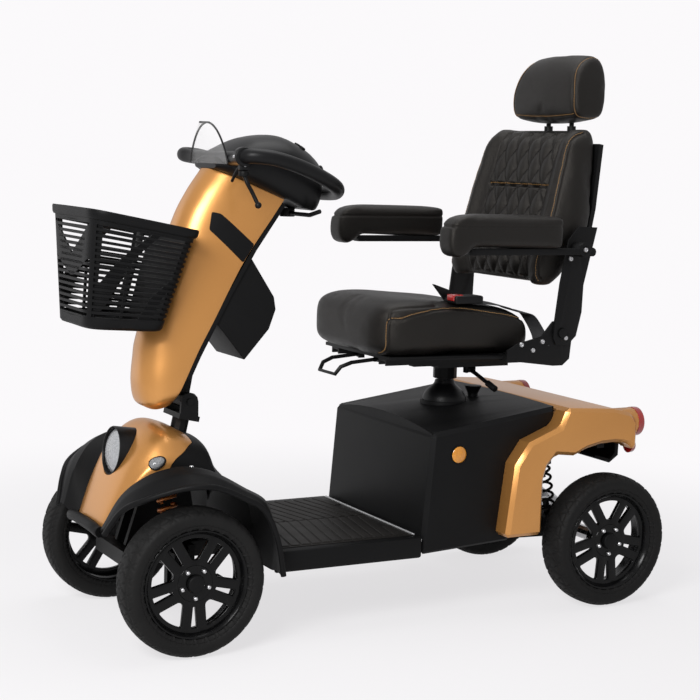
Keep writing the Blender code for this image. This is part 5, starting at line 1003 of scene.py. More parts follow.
def coil_spring(low, high):
    """Coil with flattened end turns between two seats."""
    axis = high - low
    length = axis.length - 2 * SPRING_WIRE
    turns = np.linspace(0, SPRING_COILS, SPRING_COILS * 24 + 1)
    climb = np.interp(
        turns, [0, 0.9, SPRING_COILS - 0.9, SPRING_COILS], [0, 0.09, 0.91, 1]
    ) * length + SPRING_WIRE
    place = Matrix.Translation(low) @ turn_to(axis)
    points = []
    for turn, height in zip(turns, climb):
        x, y = polar(SPRING_RADIUS, 360 * turn)
        points.append(place @ Vector((x, y, height)))
    return pipe(points, SPRING_WIRE, resolution=3)


for LABEL, SIDE in SIDES:
    MIRROR = Matrix.Scale(SIDE, 4, (1, 0, 0))
    for END, SEATS, CARRIER in (
        ("front", FRONT_SPRING, "front_arm_" + LABEL), ("rear", REAR_SPRING, "rear_axle")
    ):
        LOW, HIGH = (MIRROR @ seat for seat in SEATS)
        NODE = END + "_spring_" + LABEL
        # The rear coils are copper springs like the front ones; their black steel finish is painted
        # shade
        COAT = COPPER if END == "front" else STEEL
        COIL = placed(coil_spring(LOW, HIGH), END + "_coil_" + LABEL, None, COAT, [NODE])
        TO_FRAME @ LOW
        TO_FRAME @ HIGH
        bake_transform(COIL)


# Front bodywork

HOOD = [
    (-0.690, 0.262, 0.085, 0.245), (-0.655, 0.352, 0.112, 0.310), (-0.625, 0.415, 0.128, 0.352),
    (-0.590, 0.458, 0.139, 0.380), (-0.555, 0.478, 0.143, 0.392), (-0.520, 0.472, 0.140, 0.390),
    (-0.485, 0.454, 0.135, 0.384), (-0.448, 0.437, 0.130, 0.366), (-0.425, 0.385, 0.128, 0.345),
    (-0.362, 0.318, 0.126, 0.310),
]
HOOD_LINE = spline(HOOD, 240)
HOOD_FRONT_Y = -0.690
HOOD_REAR_Y = -0.362
SEAM_MIDDLE_Y = -0.483
SEAM_SIDE_Y = -0.556
SEAM_BEND = 0.45
SEAM_GAP = 0.0009
PANEL_WALL = 0.004
STEER_BASE = Vector((0, -0.479, 0.451))
STEER_AXIS = Vector((0, math.sin(math.radians(12)), math.cos(math.radians(12))))


def hood_at(y):
    """Top, half width and lower edge of the hood at a station."""
    return [np.interp(y, HOOD_LINE[:, 0], HOOD_LINE[:, k]) for k in (1, 2, 3)]


def hood_point(share, y):
    """Point of the hood at a share of its width, with a crease along each flank."""
    top, half, low = hood_at(y)
    turn = share * math.pi / 2
    across = math.copysign(abs(math.sin(turn)) ** 0.8, share)
    rise = max(math.cos(turn), 0.0) ** 0.8
    flank = math.exp(-((abs(share) - 0.70) / 0.16) ** 2)
    return (half * across, y, low + (top - low) * (rise - 0.10 * flank))


def seam(share):
    """Station where the gold cowl meets the black scuttle."""
    past = max(abs(share) - SEAM_BEND, 0.0) / (1 - SEAM_BEND)
    return SEAM_MIDDLE_Y + (SEAM_SIDE_Y - SEAM_MIDDLE_Y) * past


def hood_panel(start, end, rows, columns=49):
    """Part of the hood between two lines across it."""
    grid = []
    for r in range(rows):
        row = []
        for c in range(columns):
            share = 2 * c / (columns - 1) - 1
            row.append(
                hood_point(share, start(share) + (end(share) - start(share)) * r / (rows - 1))
            )
        grid.append(row)
    return walled(grid_mesh(grid), PANEL_WALL)


def on_axis(base, axis, height):
    """Point on the steering axis at a height."""
    return base + axis * ((height - base.z) / axis.z)


LAMP_AXIS = Vector((0, -math.cos(math.radians(8)), math.sin(math.radians(8))))
LAMP_CENTRE = Vector((0, -0.622, 0.411))
LAMP_HOLE = 0.0563


def lamp_at(depth):
    """Point on the headlight's axis."""
    return LAMP_CENTRE + LAMP_AXIS * depth


def stem_room():
    """Room for the steering stem through the hood."""
    return rod(on_axis(STEER_BASE, STEER_AXIS, 0.30), on_axis(STEER_BASE, STEER_AXIS, 0.60), 0.027)


COWL = hood_panel(lambda share: HOOD_FRONT_Y, lambda share: seam(share) - SEAM_GAP, 60)
COWL = combine(
    COWL, [rod(lamp_at(-0.09), lamp_at(0.09), LAMP_HOLE, sides=64), stem_room()], "DIFFERENCE"
)
COWL_SKIN = surface_of(COWL)
placed(COWL, "gold_front_cowl", "frame", GOLD, ["front_cowl"])
SCUTTLE = hood_panel(lambda share: seam(share) + SEAM_GAP, lambda share: HOOD_REAR_Y, 40)
placed(
    combine(SCUTTLE, [stem_room()], "DIFFERENCE"), "black_scuttle", "frame", BLACK,
    ["scuttle_cover"]
)

BEZEL = lathe(
    [
        (0.0518, 0.0150), (0.0524, 0.0190), (0.0536, 0.0206), (0.0550, 0.0204), (0.0560, 0.0184),
        (0.0560, -0.0340), (0.0490, -0.0340), (0.0490, 0.0020), (0.0518, 0.0040)
    ],
    lamp_at(0), LAMP_AXIS, 96, True,
)
placed(BEZEL, "headlight_ring", "frame", SOFT, ["headlight_bezel"])
BOWL = spline([(0.010, -0.030), (0.026, -0.022), (0.040, -0.010), (0.0482, 0.006)], 16)
BOWL_BACK = (BOWL + (0.0006, -0.0016))[::-1]
placed(
    lathe(BOWL.tolist() + BOWL_BACK.tolist(), lamp_at(0), LAMP_AXIS, 64, True),
    "headlight_reflector", "frame", CHROME
)
DOME = spline(
    [(0.0, 0.0262), (0.015, 0.0254), (0.030, 0.0226), (0.043, 0.0170), (0.0514, 0.0100)], 24
)
DOME_BACK = (DOME - (0.0, 0.0024))[::-1]
GLASS = lathe(DOME.tolist() + DOME_BACK.tolist(), lamp_at(0), LAMP_AXIS, 64)
placed(GLASS, "headlight_glass", "frame", LENS, ["headlight_lens"])
BULB = joined(
    lathe(
        [
            (0.0, 0.006), (0.006, 0.004), (0.0085, -0.002), (0.0085, -0.014), (0.011, -0.020),
            (0.0, -0.020)
        ],
        lamp_at(0), LAMP_AXIS
    ),
    lathe(
        [(0.030, 0.0), (0.032, 0.002), (0.034, 0.0), (0.032, -0.002)], lamp_at(-0.004), LAMP_AXIS,
        48, True
    ),
)
placed(BULB, "headlight_bulb", "frame", BRIGHT)


def lamp_flutes():
    """Upright flutes behind the headlight glass."""
    item = rod((0, 0, -0.5), (0, 0, 0.5), 0.0016, sides=8)
    rise = LAMP_AXIS.cross(Vector((1, 0, 0))).normalized()
    spots = []
    sizes = []
    for i in range(-6, 7):
        x = i * 0.0066
        spots.append(lamp_at(0.0075) + Vector((x, 0, 0)))
        sizes.append((1, 1, 2 * math.sqrt(0.0450 ** 2 - x * x)))
    return spread(item, spots, rise, (1, 0, 0), LENS, 1.0, sizes)


placed(lamp_flutes(), "headlight_flutes", "frame", LENS)

# Each row holds the guard's edge, its lip and the station where it leaves the hood
MUDGUARD = [
    ((0.128, -0.709, 0.268), (0.160, -0.713, 0.260), -0.697),
    ((0.158, -0.674, 0.345), (0.203, -0.688, 0.320), -0.672),
    ((0.196, -0.628, 0.392), (0.250, -0.654, 0.350), -0.635),
    ((0.228, -0.575, 0.413), (0.288, -0.590, 0.376), -0.590),
    ((0.240, -0.530, 0.411), (0.302, -0.545, 0.381), -0.547),
    ((0.240, -0.483, 0.395), (0.302, -0.505, 0.375), -0.483),
    ((0.240, -0.420, 0.360), (0.302, -0.450, 0.351), -0.420),
    ((0.240, -0.362, 0.322), (0.301, -0.396, 0.318), -0.362),
    ((0.240, -0.342, 0.250), (0.300, -0.362, 0.248), -0.342),
    ((0.240, -0.342, 0.165), (0.300, -0.346, 0.166), -0.342)
]


def mudguard():
    """Left wheel cover with its rolled lip, in crisp bands along the wheel."""
    bands = []
    for edge_point, lip_point, inner_y in MUDGUARD:
        _, half, low = hood_at(inner_y)
        edge = Vector(edge_point)
        lip = Vector(lip_point)
        inner = Vector((half + 0.0006, inner_y, min(low, edge.z)))
        shoulder = edge.lerp(lip, 0.5) + Vector((0, 0, 0.006))
        bands.append([inner, inner.lerp(edge, 0.5), edge, shoulder, lip])
    dense = spline(np.array([[tuple(p) for p in band] for band in bands]), 64)
    parts = []
    for c in range(4):
        parts.append(
            np.linspace(dense[:, c], dense[:, c + 1], 6, axis=1)[:, :-1 if c < 3 else None]
        )
    rows = np.concatenate(parts, axis=1)
    cover = walled(grid_mesh(rows), PANEL_WALL)
    bead = pipe(dense[:, 4].tolist(), 0.0065, resolution=4)
    return joined(cover, bead), bands[0]


GUARD, FIRST_BAND = mudguard()
BAR_END = FIRST_BAND[0].lerp(FIRST_BAND[2], 0.25)
BAR_HALF = [
    BAR_END, FIRST_BAND[0] + Vector((0, -0.005, 0.006)),
    Vector((0.05, FIRST_BAND[0].y - 0.007, FIRST_BAND[0].z + 0.010))
]
BAR_LINE = [tuple(p) for p in BAR_HALF] + [(-p.x, p.y, p.z) for p in reversed(BAR_HALF)]
KICK_HALF = 0.136
KICK_Y = -0.342
KICK_LOW = 0.2007
KICK_TOP = 0.306
KICK = block((-KICK_HALF, KICK_Y - 0.004, KICK_LOW), (KICK_HALF, KICK_Y, KICK_TOP), 0.0012)


def kick_sill():
    """Sloped sill from under the scuttle's rear edge to the kick plate."""
    under = [
        Vector(hood_point(share, HOOD_REAR_Y - 0.004)) for share in np.linspace(-0.98, 0.98, 41)
    ]
    rows = [
        [(p.x, p.y, p.z - 0.0045) for p in under],
        [(p.x, KICK_Y - 0.0005, KICK_TOP - 0.0002) for p in under]
    ]
    return walled(grid_mesh(np.array(rows)), 0.003)


FRONT_GUARD = joined(
    twin(GUARD), KICK, kick_sill(), pipe(spline(BAR_LINE, 60).tolist(), 0.0125, resolution=5)
)


def bolt_head(radius):
    """Low round bolt head with a socket."""
    profile = [
        (0.0, 0.3), (0.38, 0.3), (0.42, 0.62), (0.80, 0.58), (1.0, 0.20), (1.0, -0.3), (0.0, -0.3)
    ]
    return lathe([(r * radius, h * radius) for r, h in profile], sides=20)


def bolted(surface, starts, way, radius):
    """Bright bolts where rays from the starts meet a surface."""
    hits = [surface.ray_cast(Vector(start), Vector(way))[:2] for start in starts]
    hits = [hit for hit in hits if hit[0]]
    return spread(
        bolt_head(radius), [h[0] for h in hits], [h[1] for h in hits], (0.3, 0.5, 0.8), BRIGHT
    )


INDICATOR_Y = -0.588
INDICATOR_Z = 0.404
INDICATOR_STRETCH = 1.75
INDICATOR_WAY = Vector((0, 1, 0.30))


def flank_lamp(side, profile, lift):
    """Round piece set on the cowl's flank, drawn out towards the rear."""
    start = Vector((side * 0.4, INDICATOR_Y, INDICATOR_Z))
    spot, normal = COWL_SKIN.ray_cast(start, Vector((-side, 0, 0)))[:2]
    shape = lathe(profile, sides=40)
    points = np.array([v.co for v in shape.data.vertices])
    points[:, 0] *= np.where(points[:, 0] > 0, INDICATOR_STRETCH, 1.0)
    shape.data.vertices.foreach_set("co", points.ravel())
    back = (INDICATOR_WAY - normal * normal.dot(INDICATOR_WAY)).normalized()
    turn = Matrix((back, normal.cross(back), normal)).transposed().to_4x4()
    shape.data.transform(Matrix.Translation(spot + normal * lift) @ turn)
    outward(shape.data)
    return shape


GUARD_SKIN = surface_of(FRONT_GUARD)
placed(FRONT_GUARD, "front_wheel_covers", "frame", BLACK, ["front_mudguard"])
placed(
    bolted(GUARD_SKIN, [(side * 0.232, -0.541, 0.6) for _, side in SIDES], (0, 0, -1), 0.0052),
    "guard_bolts", "frame", BRIGHT
)
for LABEL, SIDE in SIDES:
    # Black disc round each indicator lens: painted shade standing for the shadowed recess in the gold
    # cowl
    INDICATOR_SHADE_DISC = flank_lamp(
        SIDE, [(0.0, 0.0010), (0.0135, 0.0010), (0.0148, 0.0002), (0.0150, -0.004), (0.0, -0.004)],
        0.0
    )
    placed(INDICATOR_SHADE_DISC, "indicator_seat_" + LABEL, "frame", BLACK)
    DOMED = flank_lamp(
        SIDE,
        [
            (0.0, 0.0074), (0.0060, 0.0066), (0.0105, 0.0044), (0.0126, 0.0010), (0.0126, -0.002),
            (0.0, -0.002)
        ],
        0.0010
    )
    placed(DOMED, "indicator_lens_" + LABEL, "frame", LENS)


# Floor mat, rear lamps, reflectors and seat post boot

MAT_FRONT_Y = -0.332
MAT_REAR_Y = 0.032
MAT_HALF = 0.226
MAT_LOW = 0.2081
MAT_TOP = 0.2096
RIB_PITCH = 0.0270
RIB_SLOPE = -0.20
RIB_GAP = 0.003
RIB_FRONT_Y = MAT_FRONT_Y + 0.018
RIB_REAR_Y = MAT_REAR_Y - 0.020
RIB_REACH = MAT_HALF - 0.010


def mat_ribs():
    """Chevron ribs over both halves of the floor mat, cut off at its edges."""
    bar = slab(fillet([(-0.5, 0.0), (0.5, 0.0), (0.46, 1.0), (-0.46, 1.0)], 0.2, 2), -0.5, 0.5)
    spots = []
    headings = []
    sizes = []
    for side in (1, -1):
        for i in range(20):
            start_y = RIB_FRONT_Y + i * RIB_PITCH
            low = max(RIB_GAP, (RIB_REAR_Y - start_y) / RIB_SLOPE)
            high = min(RIB_REACH, (RIB_FRONT_Y - start_y) / RIB_SLOPE)
            if high - low < 0.012:
                continue
            middle = (low + high) / 2
            spots.append((side * middle, start_y + RIB_SLOPE * middle, MAT_TOP - 0.0003))
            headings.append((side, RIB_SLOPE, 0))
            sizes.append(((high - low) * math.hypot(1, RIB_SLOPE), RIB_PITCH - 0.0052, 0.0022))
    return spread(bar, spots, (0, 0, 1), headings, MAT, 1.0, sizes)


MAT_OUTLINE = [
    (MAT_FRONT_Y, MAT_LOW), (MAT_REAR_Y, MAT_LOW), (MAT_REAR_Y, MAT_TOP), (MAT_FRONT_Y, MAT_TOP)
]
placed(slab(MAT_OUTLINE, -MAT_HALF, MAT_HALF, 0.0006, 2), "floor_mat", "frame", MAT)
placed(mat_ribs(), "floor_mat_ribs", "frame", MAT)
EDGE_STRIP = block(
    (-MAT_HALF, MAT_REAR_Y - 0.0050, MAT_LOW), (MAT_HALF, MAT_REAR_Y, MAT_TOP + 0.0034), 0.0012
)
placed(EDGE_STRIP, "floor_mat_strip", "frame", TRIM)


def round_lamp(centre, axis, radius, height):
    """Domed lens with a raised ring."""
    profile = [
        (0.0, height * 1.05), (radius * 0.40, height), (radius * 0.56, height * 0.82),
        (radius * 0.62, height * 0.70), (radius * 0.68, height * 0.84),
        (radius * 0.84, height * 0.86), (radius * 0.96, height * 0.62), (radius, 0.0), (0.0, 0.0)
    ]
    return lathe(profile, centre, axis, 64)


POD_X = 0.248
POD_Z = 0.452
TAIL_Y = 0.625
UPPER_LAMP_Y = TAIL_Y + 0.0153
LOWER_LAMP_Z = 0.392
REFLECTOR_PLACE = (0.2450, 0.135, 0.398)
for LABEL, SIDE in SIDES:
    X = SIDE * POD_X
    UPPER = round_lamp((X, UPPER_LAMP_Y, POD_Z), (0, 1, 0), 0.032, 0.013)
    LOWER = round_lamp((X, TAIL_Y + 0.0060, LOWER_LAMP_Z), (0, 1, 0), 0.019, 0.0155)
    CARRIER = block(
        (X - 0.0068, UPPER_LAMP_Y, LOWER_LAMP_Z + 0.003),
        (X + 0.0068, TAIL_Y + 0.0205, POD_Z - 0.028), 0.0012
    )
    LAMP = joined(UPPER, LOWER, CARRIER)
    placed(LAMP, "tail_lamp_" + LABEL, "frame", RED, ["tail_light_" + LABEL])
    HOODED = lathe(
        [
            (0.0322, -0.004), (0.0362, -0.004), (0.0368, 0.004), (0.0360, 0.0125), (0.0345, 0.0135),
            (0.0328, 0.0120)
        ],
        (X, TAIL_Y + 0.0150, POD_Z), (0, 1, 0), 64, True,
    )
    placed(HOODED, "tail_lamp_ring_" + LABEL, "frame", RED)
    CENTRE = lathe(
        [(0.0, 0.0152), (0.010, 0.0146), (0.0118, 0.0132), (0.0118, 0.010), (0.0, 0.010)],
        (X, TAIL_Y + 0.0152, POD_Z), (0, 1, 0)
    )
    placed(CENTRE, "tail_lamp_centre_" + LABEL, "frame", GAUGE)
    SPOT = Vector((SIDE * REFLECTOR_PLACE[0], *REFLECTOR_PLACE[1:]))
    REFLECTOR = lathe(
        [
            (0.0, 0.0062), (0.0070, 0.0058), (0.0145, 0.0046), (0.0190, 0.0026), (0.0205, 0.0),
            (0.0205, -0.0006), (0.0, -0.0006)
        ],
        SPOT, (SIDE, 0, 0), 40,
    )
    placed(REFLECTOR, "side_reflector_" + LABEL, "frame", AMBER)
    RING = lathe(
        [
            (0.0204, -0.0004), (0.0226, -0.0004), (0.0226, 0.0018), (0.0212, 0.0026),
            (0.0202, 0.0020)
        ],
        SPOT, (SIDE, 0, 0), 48, True
    )
    placed(RING, "side_reflector_ring_" + LABEL, "frame", BLACK)

BOOT = spline(
    [
        (0.0555, 0.4880), (0.0552, 0.4925), (0.0520, 0.5030), (0.0440, 0.5150), (0.0330, 0.5245),
        (0.0270, 0.5310), (0.0245, 0.5380), (0.0240, 0.5400)
    ],
    36
)
BOOT_SHAPE = lathe(
    [(0.0198, 0.4880)] + BOOT.tolist() + [(0.0198, 0.5400)], (0, 0.240, 0), (0, 0, 1), 64, True
)
placed(BOOT_SHAPE, "seat_post_bell", "frame", SOFT, ["seat_post_boot"])


# Tiller

SHROUD = [
    (-0.556, 0.507, -0.526, 0.520, 0.060), (-0.578, 0.522, -0.512, 0.546, 0.080),
    (-0.587, 0.566, -0.495, 0.584, 0.085), (-0.585, 0.620, -0.466, 0.646, 0.085),
    (-0.578, 0.671, -0.430, 0.713, 0.085), (-0.540, 0.795, -0.361, 0.843, 0.085),
    (-0.497, 0.932, -0.291, 0.945, 0.085), (-0.463, 1.000, -0.266, 0.981, 0.085),
    (-0.425, 1.055, -0.261, 0.988, 0.085)
]
SHROUD_STEPS = 60
SHROUD_HALF = 0.085


def shroud_rows(stations):
    """Rows of points round the shroud's front, from its right rear edge to its left."""
    rows = []
    for front_y, front_z, rear_y, rear_z, half in stations:
        row = []
        for c in range(SHROUD_STEPS + 1):
            turn = math.pi * c / SHROUD_STEPS - math.pi / 2
            across = math.copysign(abs(math.sin(turn)) ** 0.75, turn)
            ahead = max(math.cos(turn), 0.0) ** 0.75
            row.append(
                (
                    half * across, rear_y + (front_y - rear_y) * ahead,
                    rear_z + (front_z - rear_z) * ahead
                )
            )
        rows.append(row)
    return rows


SHROUD_SHAPE = walled(grid_mesh(shroud_rows(spline(SHROUD, 90))), PANEL_WALL)
SHROUD_SHAPE = rounded(SHROUD_SHAPE, 0.0012, 2, 60.0)
SHROUD_SIDE = surface_of(SHROUD_SHAPE)
placed(SHROUD_SHAPE, "gold_tiller_shroud", "tiller", GOLD, ["tiller_shroud"])


STRIPE = [(-0.441, 0.918), (-0.362, 0.844), (-0.335, 0.885), (-0.414, 0.954), (-0.434, 0.958)]
STRIPE_CUTS = 12
STRIPE_LIFT = 0.0011


def side_stripe(side):
    """Slanted black inlay on the shroud's side."""
    sheet = slab(fillet(STRIPE, 0.004, 3), -0.5, 0.5)
    bm = bmesh.new()
    bm.from_mesh(sheet.data)
    bpy.data.objects.remove(sheet, do_unlink=True)
    bmesh.ops.delete(
        bm, geom=[f for f in bm.faces if abs(f.normal.x) < 0.5 or f.calc_center_median().x < 0],
        context="FACES"
    )
    lows = np.min(STRIPE, axis=0)
    highs = np.max(STRIPE, axis=0)
    for cut in range(STRIPE_CUTS):
        for axis, low, high in zip((1, 2), lows, highs):
            spot = [0, 0, 0]
            way = [0, 0, 0]
            spot[axis] = low + (high - low) * (cut + 0.5) / STRIPE_CUTS
            way[axis] = 1
            bmesh.ops.bisect_plane(
                bm, geom=bm.verts[:] + bm.edges[:] + bm.faces[:], plane_co=spot, plane_no=way
            )
    for vert in bm.verts:
        hit = SHROUD_SIDE.ray_cast(
            Vector((side * 0.5, vert.co.y, vert.co.z)), Vector((-side, 0, 0))
        )[0]
        vert.co.x = (hit.x if hit else side * SHROUD_HALF) + side * STRIPE_LIFT
    bmesh.ops.recalc_face_normals(bm, faces=bm.faces)
    for face in bm.faces:
        if face.normal.x * side < 0:
            face.normal_flip()
    mesh = bpy.data.meshes.new("stripe")
    bm.to_mesh(mesh)
    bm.free()
    return walled(mesh, 0.0012)


for LABEL, SIDE in SIDES:
    placed(side_stripe(SIDE), "shroud_inlay_" + LABEL, "tiller", BLACK)

CONSOLE = [
    (-0.423, 1.0550, 1.070, 0.060), (-0.405, 1.0478, 1.090, 0.084), (-0.385, 1.0395, 1.103, 0.100),
    (-0.330, 1.0170, 1.127, 0.118), (-0.262, 0.9890, 1.134, 0.126), (-0.205, 0.9660, 1.112, 0.118),
    (-0.172, 0.9700, 1.090, 0.096), (-0.158, 1.0300, 1.076, 0.060)
]
CONSOLE_POWER = 2.4
CONSOLE_RINGS = [
    oval_ring(half, low - (high - low) * 0.15, high, y, CONSOLE_POWER, low + 0.0003, 64, 0.5)
    for y, low, high, half in spline(CONSOLE, 56)
]
CONSOLE_SHAPE = rounded(loft(CONSOLE_RINGS), 0.003, 3, 50.0)
CONSOLE_TOP = surface_of(CONSOLE_SHAPE)
placed(CONSOLE_SHAPE, "console_hood", "tiller", SOFT, ["console"])


def console_spot(x, y):
    """Point and normal on top of the console."""
    return CONSOLE_TOP.ray_cast(Vector((x, y, 1.3)), Vector((0, 0, -1)))[:2]


def panel_button(x, y, radius, height):
    """Round button with a shallow dish, standing on the console."""
    spot, normal = console_spot(x, y)
    profile = [
        (0.0, height * 0.86), (radius * 0.6, height * 0.90), (radius * 0.86, height),
        (radius, height * 0.80), (radius, -0.003), (0.0, -0.003)
    ]
    return lathe(profile, spot, normal, 32)


BUTTONS = joined(*(panel_button(x, -0.212, 0.0075, 0.004) for x in (-0.070, -0.044, 0.044, 0.070)))
placed(BUTTONS, "console_buttons", "tiller", BLACK)
KEY_SPOT, KEY_NORMAL = console_spot(-0.074, -0.205)
placed(
    lathe(
        [
            (0.0, 0.002), (0.004, 0.002), (0.0045, 0.004), (0.0085, 0.004), (0.0095, 0.0),
            (0.0095, -0.003), (0.0, -0.003)
        ],
        KEY_SPOT, KEY_NORMAL, 32
    ),
    "key_switch", "tiller", BRIGHT
)


def gauge_panel(half, low_y, high_y, lift, wall):
    """Rounded window that follows the console's top."""
    rows = []
    middle = (low_y + high_y) / 2
    for y in np.linspace(low_y, high_y, 12):
        row = []
        for share in np.linspace(-1, 1, 16):
            edge = max(abs(share) - 0.86, 0) / 0.14
            spot, normal = console_spot(
                half * share, middle + (y - middle) * (1 - 0.25 * edge * edge)
            )
            row.append(tuple(spot + normal * lift))
        rows.append(row)
    return walled(grid_mesh(rows), wall)


placed(gauge_panel(0.034, -0.222, -0.182, 0.0010, 0.0016), "battery_gauge", "tiller", GAUGE)


def gauge_lights():
    """Row of small charge lights in the gauge."""
    item = lathe([(0.0, 0.0012), (0.0016, 0.0010), (0.0022, 0.0), (0.0, 0.0)], sides=10)
    spots = [console_spot(x, -0.204) for x in np.linspace(-0.022, 0.022, 7)]
    return spread(item, [s + n * 0.0012 for s, n in spots], [n for s, n in spots], (1, 0, 0), AMBER)


placed(gauge_lights(), "charge_lights", "tiller", AMBER)

HANDLE = [
    (0.0, -0.396, 1.078), (0.118, -0.398, 1.079), (0.170, -0.404, 1.083), (0.195, -0.388, 1.085),
    (0.207, -0.345, 1.081), (0.207, -0.288, 1.066), (0.194, -0.226, 1.044), (0.166, -0.173, 1.022),
    (0.116, -0.143, 1.008), (0.055, -0.133, 1.003)
]
HANDLE_LOOP = evenly(
    spline(HANDLE + [(-x, y, z) for x, y, z in reversed(HANDLE[1:])], 400, True), 180, True
)
BRAKE_PIVOT = Vector((0.170, -0.404, 1.046))
GRIP = pipe(HANDLE_LOOP.tolist(), 0.0165, True, 8)
CLAMP = rod(
    Vector(HANDLE[2]) + Vector((-0.016, 0.002, 0)), Vector(HANDLE[2]) + Vector((0.010, -0.002, 0)),
    0.0215, edge=0.003
)
PERCH = block(
    BRAKE_PIVOT + Vector((-0.010, -0.010, 0.0063)),
    (BRAKE_PIVOT.x + 0.006, BRAKE_PIVOT.y + 0.012, HANDLE[2][2] - 0.008), 0.003
)
ADJUSTER = joined(
    rod(
        BRAKE_PIVOT + Vector((-0.012, -0.004, 0.014)),
        BRAKE_PIVOT + Vector((-0.034, -0.006, -0.006)), 0.0048, edge=0.001
    ),
    rod(
        BRAKE_PIVOT + Vector((-0.030, -0.006, -0.002)),
        BRAKE_PIVOT + Vector((-0.046, -0.007, -0.018)), 0.0034, edge=0.001
    ),
)
placed(joined(GRIP, CLAMP, PERCH, ADJUSTER), "loop_handlebar", "tiller", SOFT, ["handlebar"])


def clamp_bolts():
    """Socket screws in the lever clamp."""
    item = lathe(
        [
            (0.0, 0.0012), (0.0014, 0.0012), (0.0016, 0.0026), (0.0030, 0.0026), (0.0034, 0.0018),
            (0.0034, -0.001), (0.0, -0.001)
        ],
        sides=14
    )
    spots = [
        Vector(HANDLE[2]) + Vector((-0.003, -0.0215, 0.0)),
        BRAKE_PIVOT + Vector((0.0062, 0.0, 0.018))
    ]
    return spread(item, spots, [(0, -1, 0), (1, 0, 0)], (0, 0, 1), BRIGHT)


placed(clamp_bolts(), "lever_clamp_screws", "tiller", BRIGHT)
LEVER_TIP = Vector((0.190, -0.376, 0.978))
LEVER_LINE = [
    BRAKE_PIVOT, BRAKE_PIVOT + Vector((0.012, 0.004, -0.020)), BRAKE_PIVOT.lerp(LEVER_TIP, 0.6),
    LEVER_TIP
]
LEVER = joined(
    rod(
        BRAKE_PIVOT + Vector((0, 0, -0.006)), BRAKE_PIVOT + Vector((0, 0, 0.006)), 0.011,
        edge=0.0015
    ),
    pipe(spline([tuple(p) for p in LEVER_LINE], 40).tolist(), 0.0045),
    lathe(
        [(0.0075 * math.sin(a), -0.0075 * math.cos(a)) for a in np.linspace(0, math.pi, 17)],
        LEVER_TIP
    ),
)
placed(LEVER, "brake_hand_lever", "brake_lever", STEEL, ["brake_lever"])

KNOB = Vector((0.026, -0.1577, 1.054))
KNOB_BODY = [
    (0.0, 0.0185), (0.0085, 0.0188), (0.0105, 0.0200), (0.0118, 0.0190), (0.0128, 0.0060),
    (0.0150, 0.0030), (0.0150, 0.0), (0.0, 0.0)
]


def knob_ribs():
    """Grip ribs round the speed knob."""
    item = rod((0, 0, 0.0), (0, 0, 0.0125), 0.0011, edge=0.0003, sides=8)
    turns = [math.tau * i / 20 for i in range(20)]
    spots = [KNOB + Vector((0.0122 * math.cos(t), 0.0058, 0.0122 * math.sin(t))) for t in turns]
    return spread(item, spots, (0, 1, 0), [(math.cos(t), 0, math.sin(t)) for t in turns], SOFT)


placed(
    joined(lathe(KNOB_BODY, KNOB, (0, 1, 0), 40), knob_ribs()), "speed_dial", "speed_knob", SOFT,
    ["speed_knob"]
)
placed(
    block(KNOB + Vector((-0.0010, 0.0176, 0.003)), KNOB + Vector((0.0010, 0.0208, 0.0115)), 0.0005),
    "speed_dial_mark", "speed_knob", BRIGHT
)


SHIELD_HALF = 0.106
SHIELD_Y = -0.4318
SHIELD_Z = 1.066
SHIELD_RISE = 0.092
SHIELD_BOW = 0.018
SHIELD_LEAN = 0.006


def shield_rows():
    """Rows of points over the wind shield."""
    rows = []
    for rise in np.sin(np.linspace(0, math.pi / 2, 40)):
        half = SHIELD_HALF * max(1 - rise ** 1.35, 0.010) ** 0.5
        row = []
        for share in np.linspace(-1, 1, 31):
            y = SHIELD_Y + SHIELD_BOW * share * share - SHIELD_LEAN * rise
            row.append((half * share, y, SHIELD_Z + SHIELD_RISE * rise))
        rows.append(row)
    return np.array(rows)


SHIELD_ROWS = shield_rows()
placed(walled(grid_mesh(SHIELD_ROWS), 0.0025, 1), "wind_shield", "tiller", SHIELD, ["windscreen"])
SHIELD_EDGE = np.concatenate([SHIELD_ROWS[:-1, 0], SHIELD_ROWS[-1, 15:16], SHIELD_ROWS[-2::-1, -1]])
placed(
    pipe(evenly(spline(SHIELD_EDGE, 300), 120).tolist(), 0.0024, resolution=3), "wind_shield_trim",
    "tiller", SOFT
)


# Basket

RIM_FRONT = (0.150, -0.735, 0.964)
RIM_REAR = (0.168, 0.918)
FLOOR_FRONT = (0.108, -0.734, 0.706)
FLOOR_REAR = (0.140, 0.700)
BASKET_WALL = 0.0040
BASKET_CORNER = 0.042
SHROUD_FACE = ((-0.578, 0.671), (-0.497, 0.932))
SLOT_LOW = 0.085
SLOT_HIGH = 0.895
SLOT_ROWS = 16
LIP_LEVEL = 0.935
SCREW_LEVEL = 0.965

# Solid bands of one half: wall, then level, start and end as shares along that wall.
# A side runs from the front corner to the rear one, the others from their corner to the middle.
BASKET_BANDS = (
    (
        "side",
        (
            (0.14, 0.00, 0.10), (0.20, 0.00, 0.17), (0.36, 0.00, 0.26), (0.40, 0.08, 0.28),
            (0.58, 0.24, 0.38), (0.79, 0.47, 0.57), (0.90, 0.59, 0.67)
        )
    ),
    ("side", ((0.08, 0.62, 0.80), (0.30, 0.72, 0.86), (0.46, 0.88, 0.96), (0.54, 0.96, 1.00))),
    ("side", ((0.08, 0.375, 0.415), (0.90, 0.375, 0.405))),
    ("side", ((0.08, -0.04, 0.03), (0.90, -0.04, 0.06))),
    ("side", ((0.08, 0.93, 1.06), (0.90, 0.94, 1.06))),
    (
        "front",
        (
            (0.42, 0.92, 1.00), (0.50, 0.50, 1.00), (0.60, 0.10, 1.00), (0.62, 0.00, 0.96),
            (0.72, 0.00, 0.62), (0.80, 0.00, 0.38), (0.90, 0.00, 0.10)
        )
    ),
    ("front", ((0.08, 0.00, 0.12), (0.90, 0.00, 0.10))),
    ("rear", ((0.08, 0.28, 1.00), (0.90, 0.28, 1.00))),
)


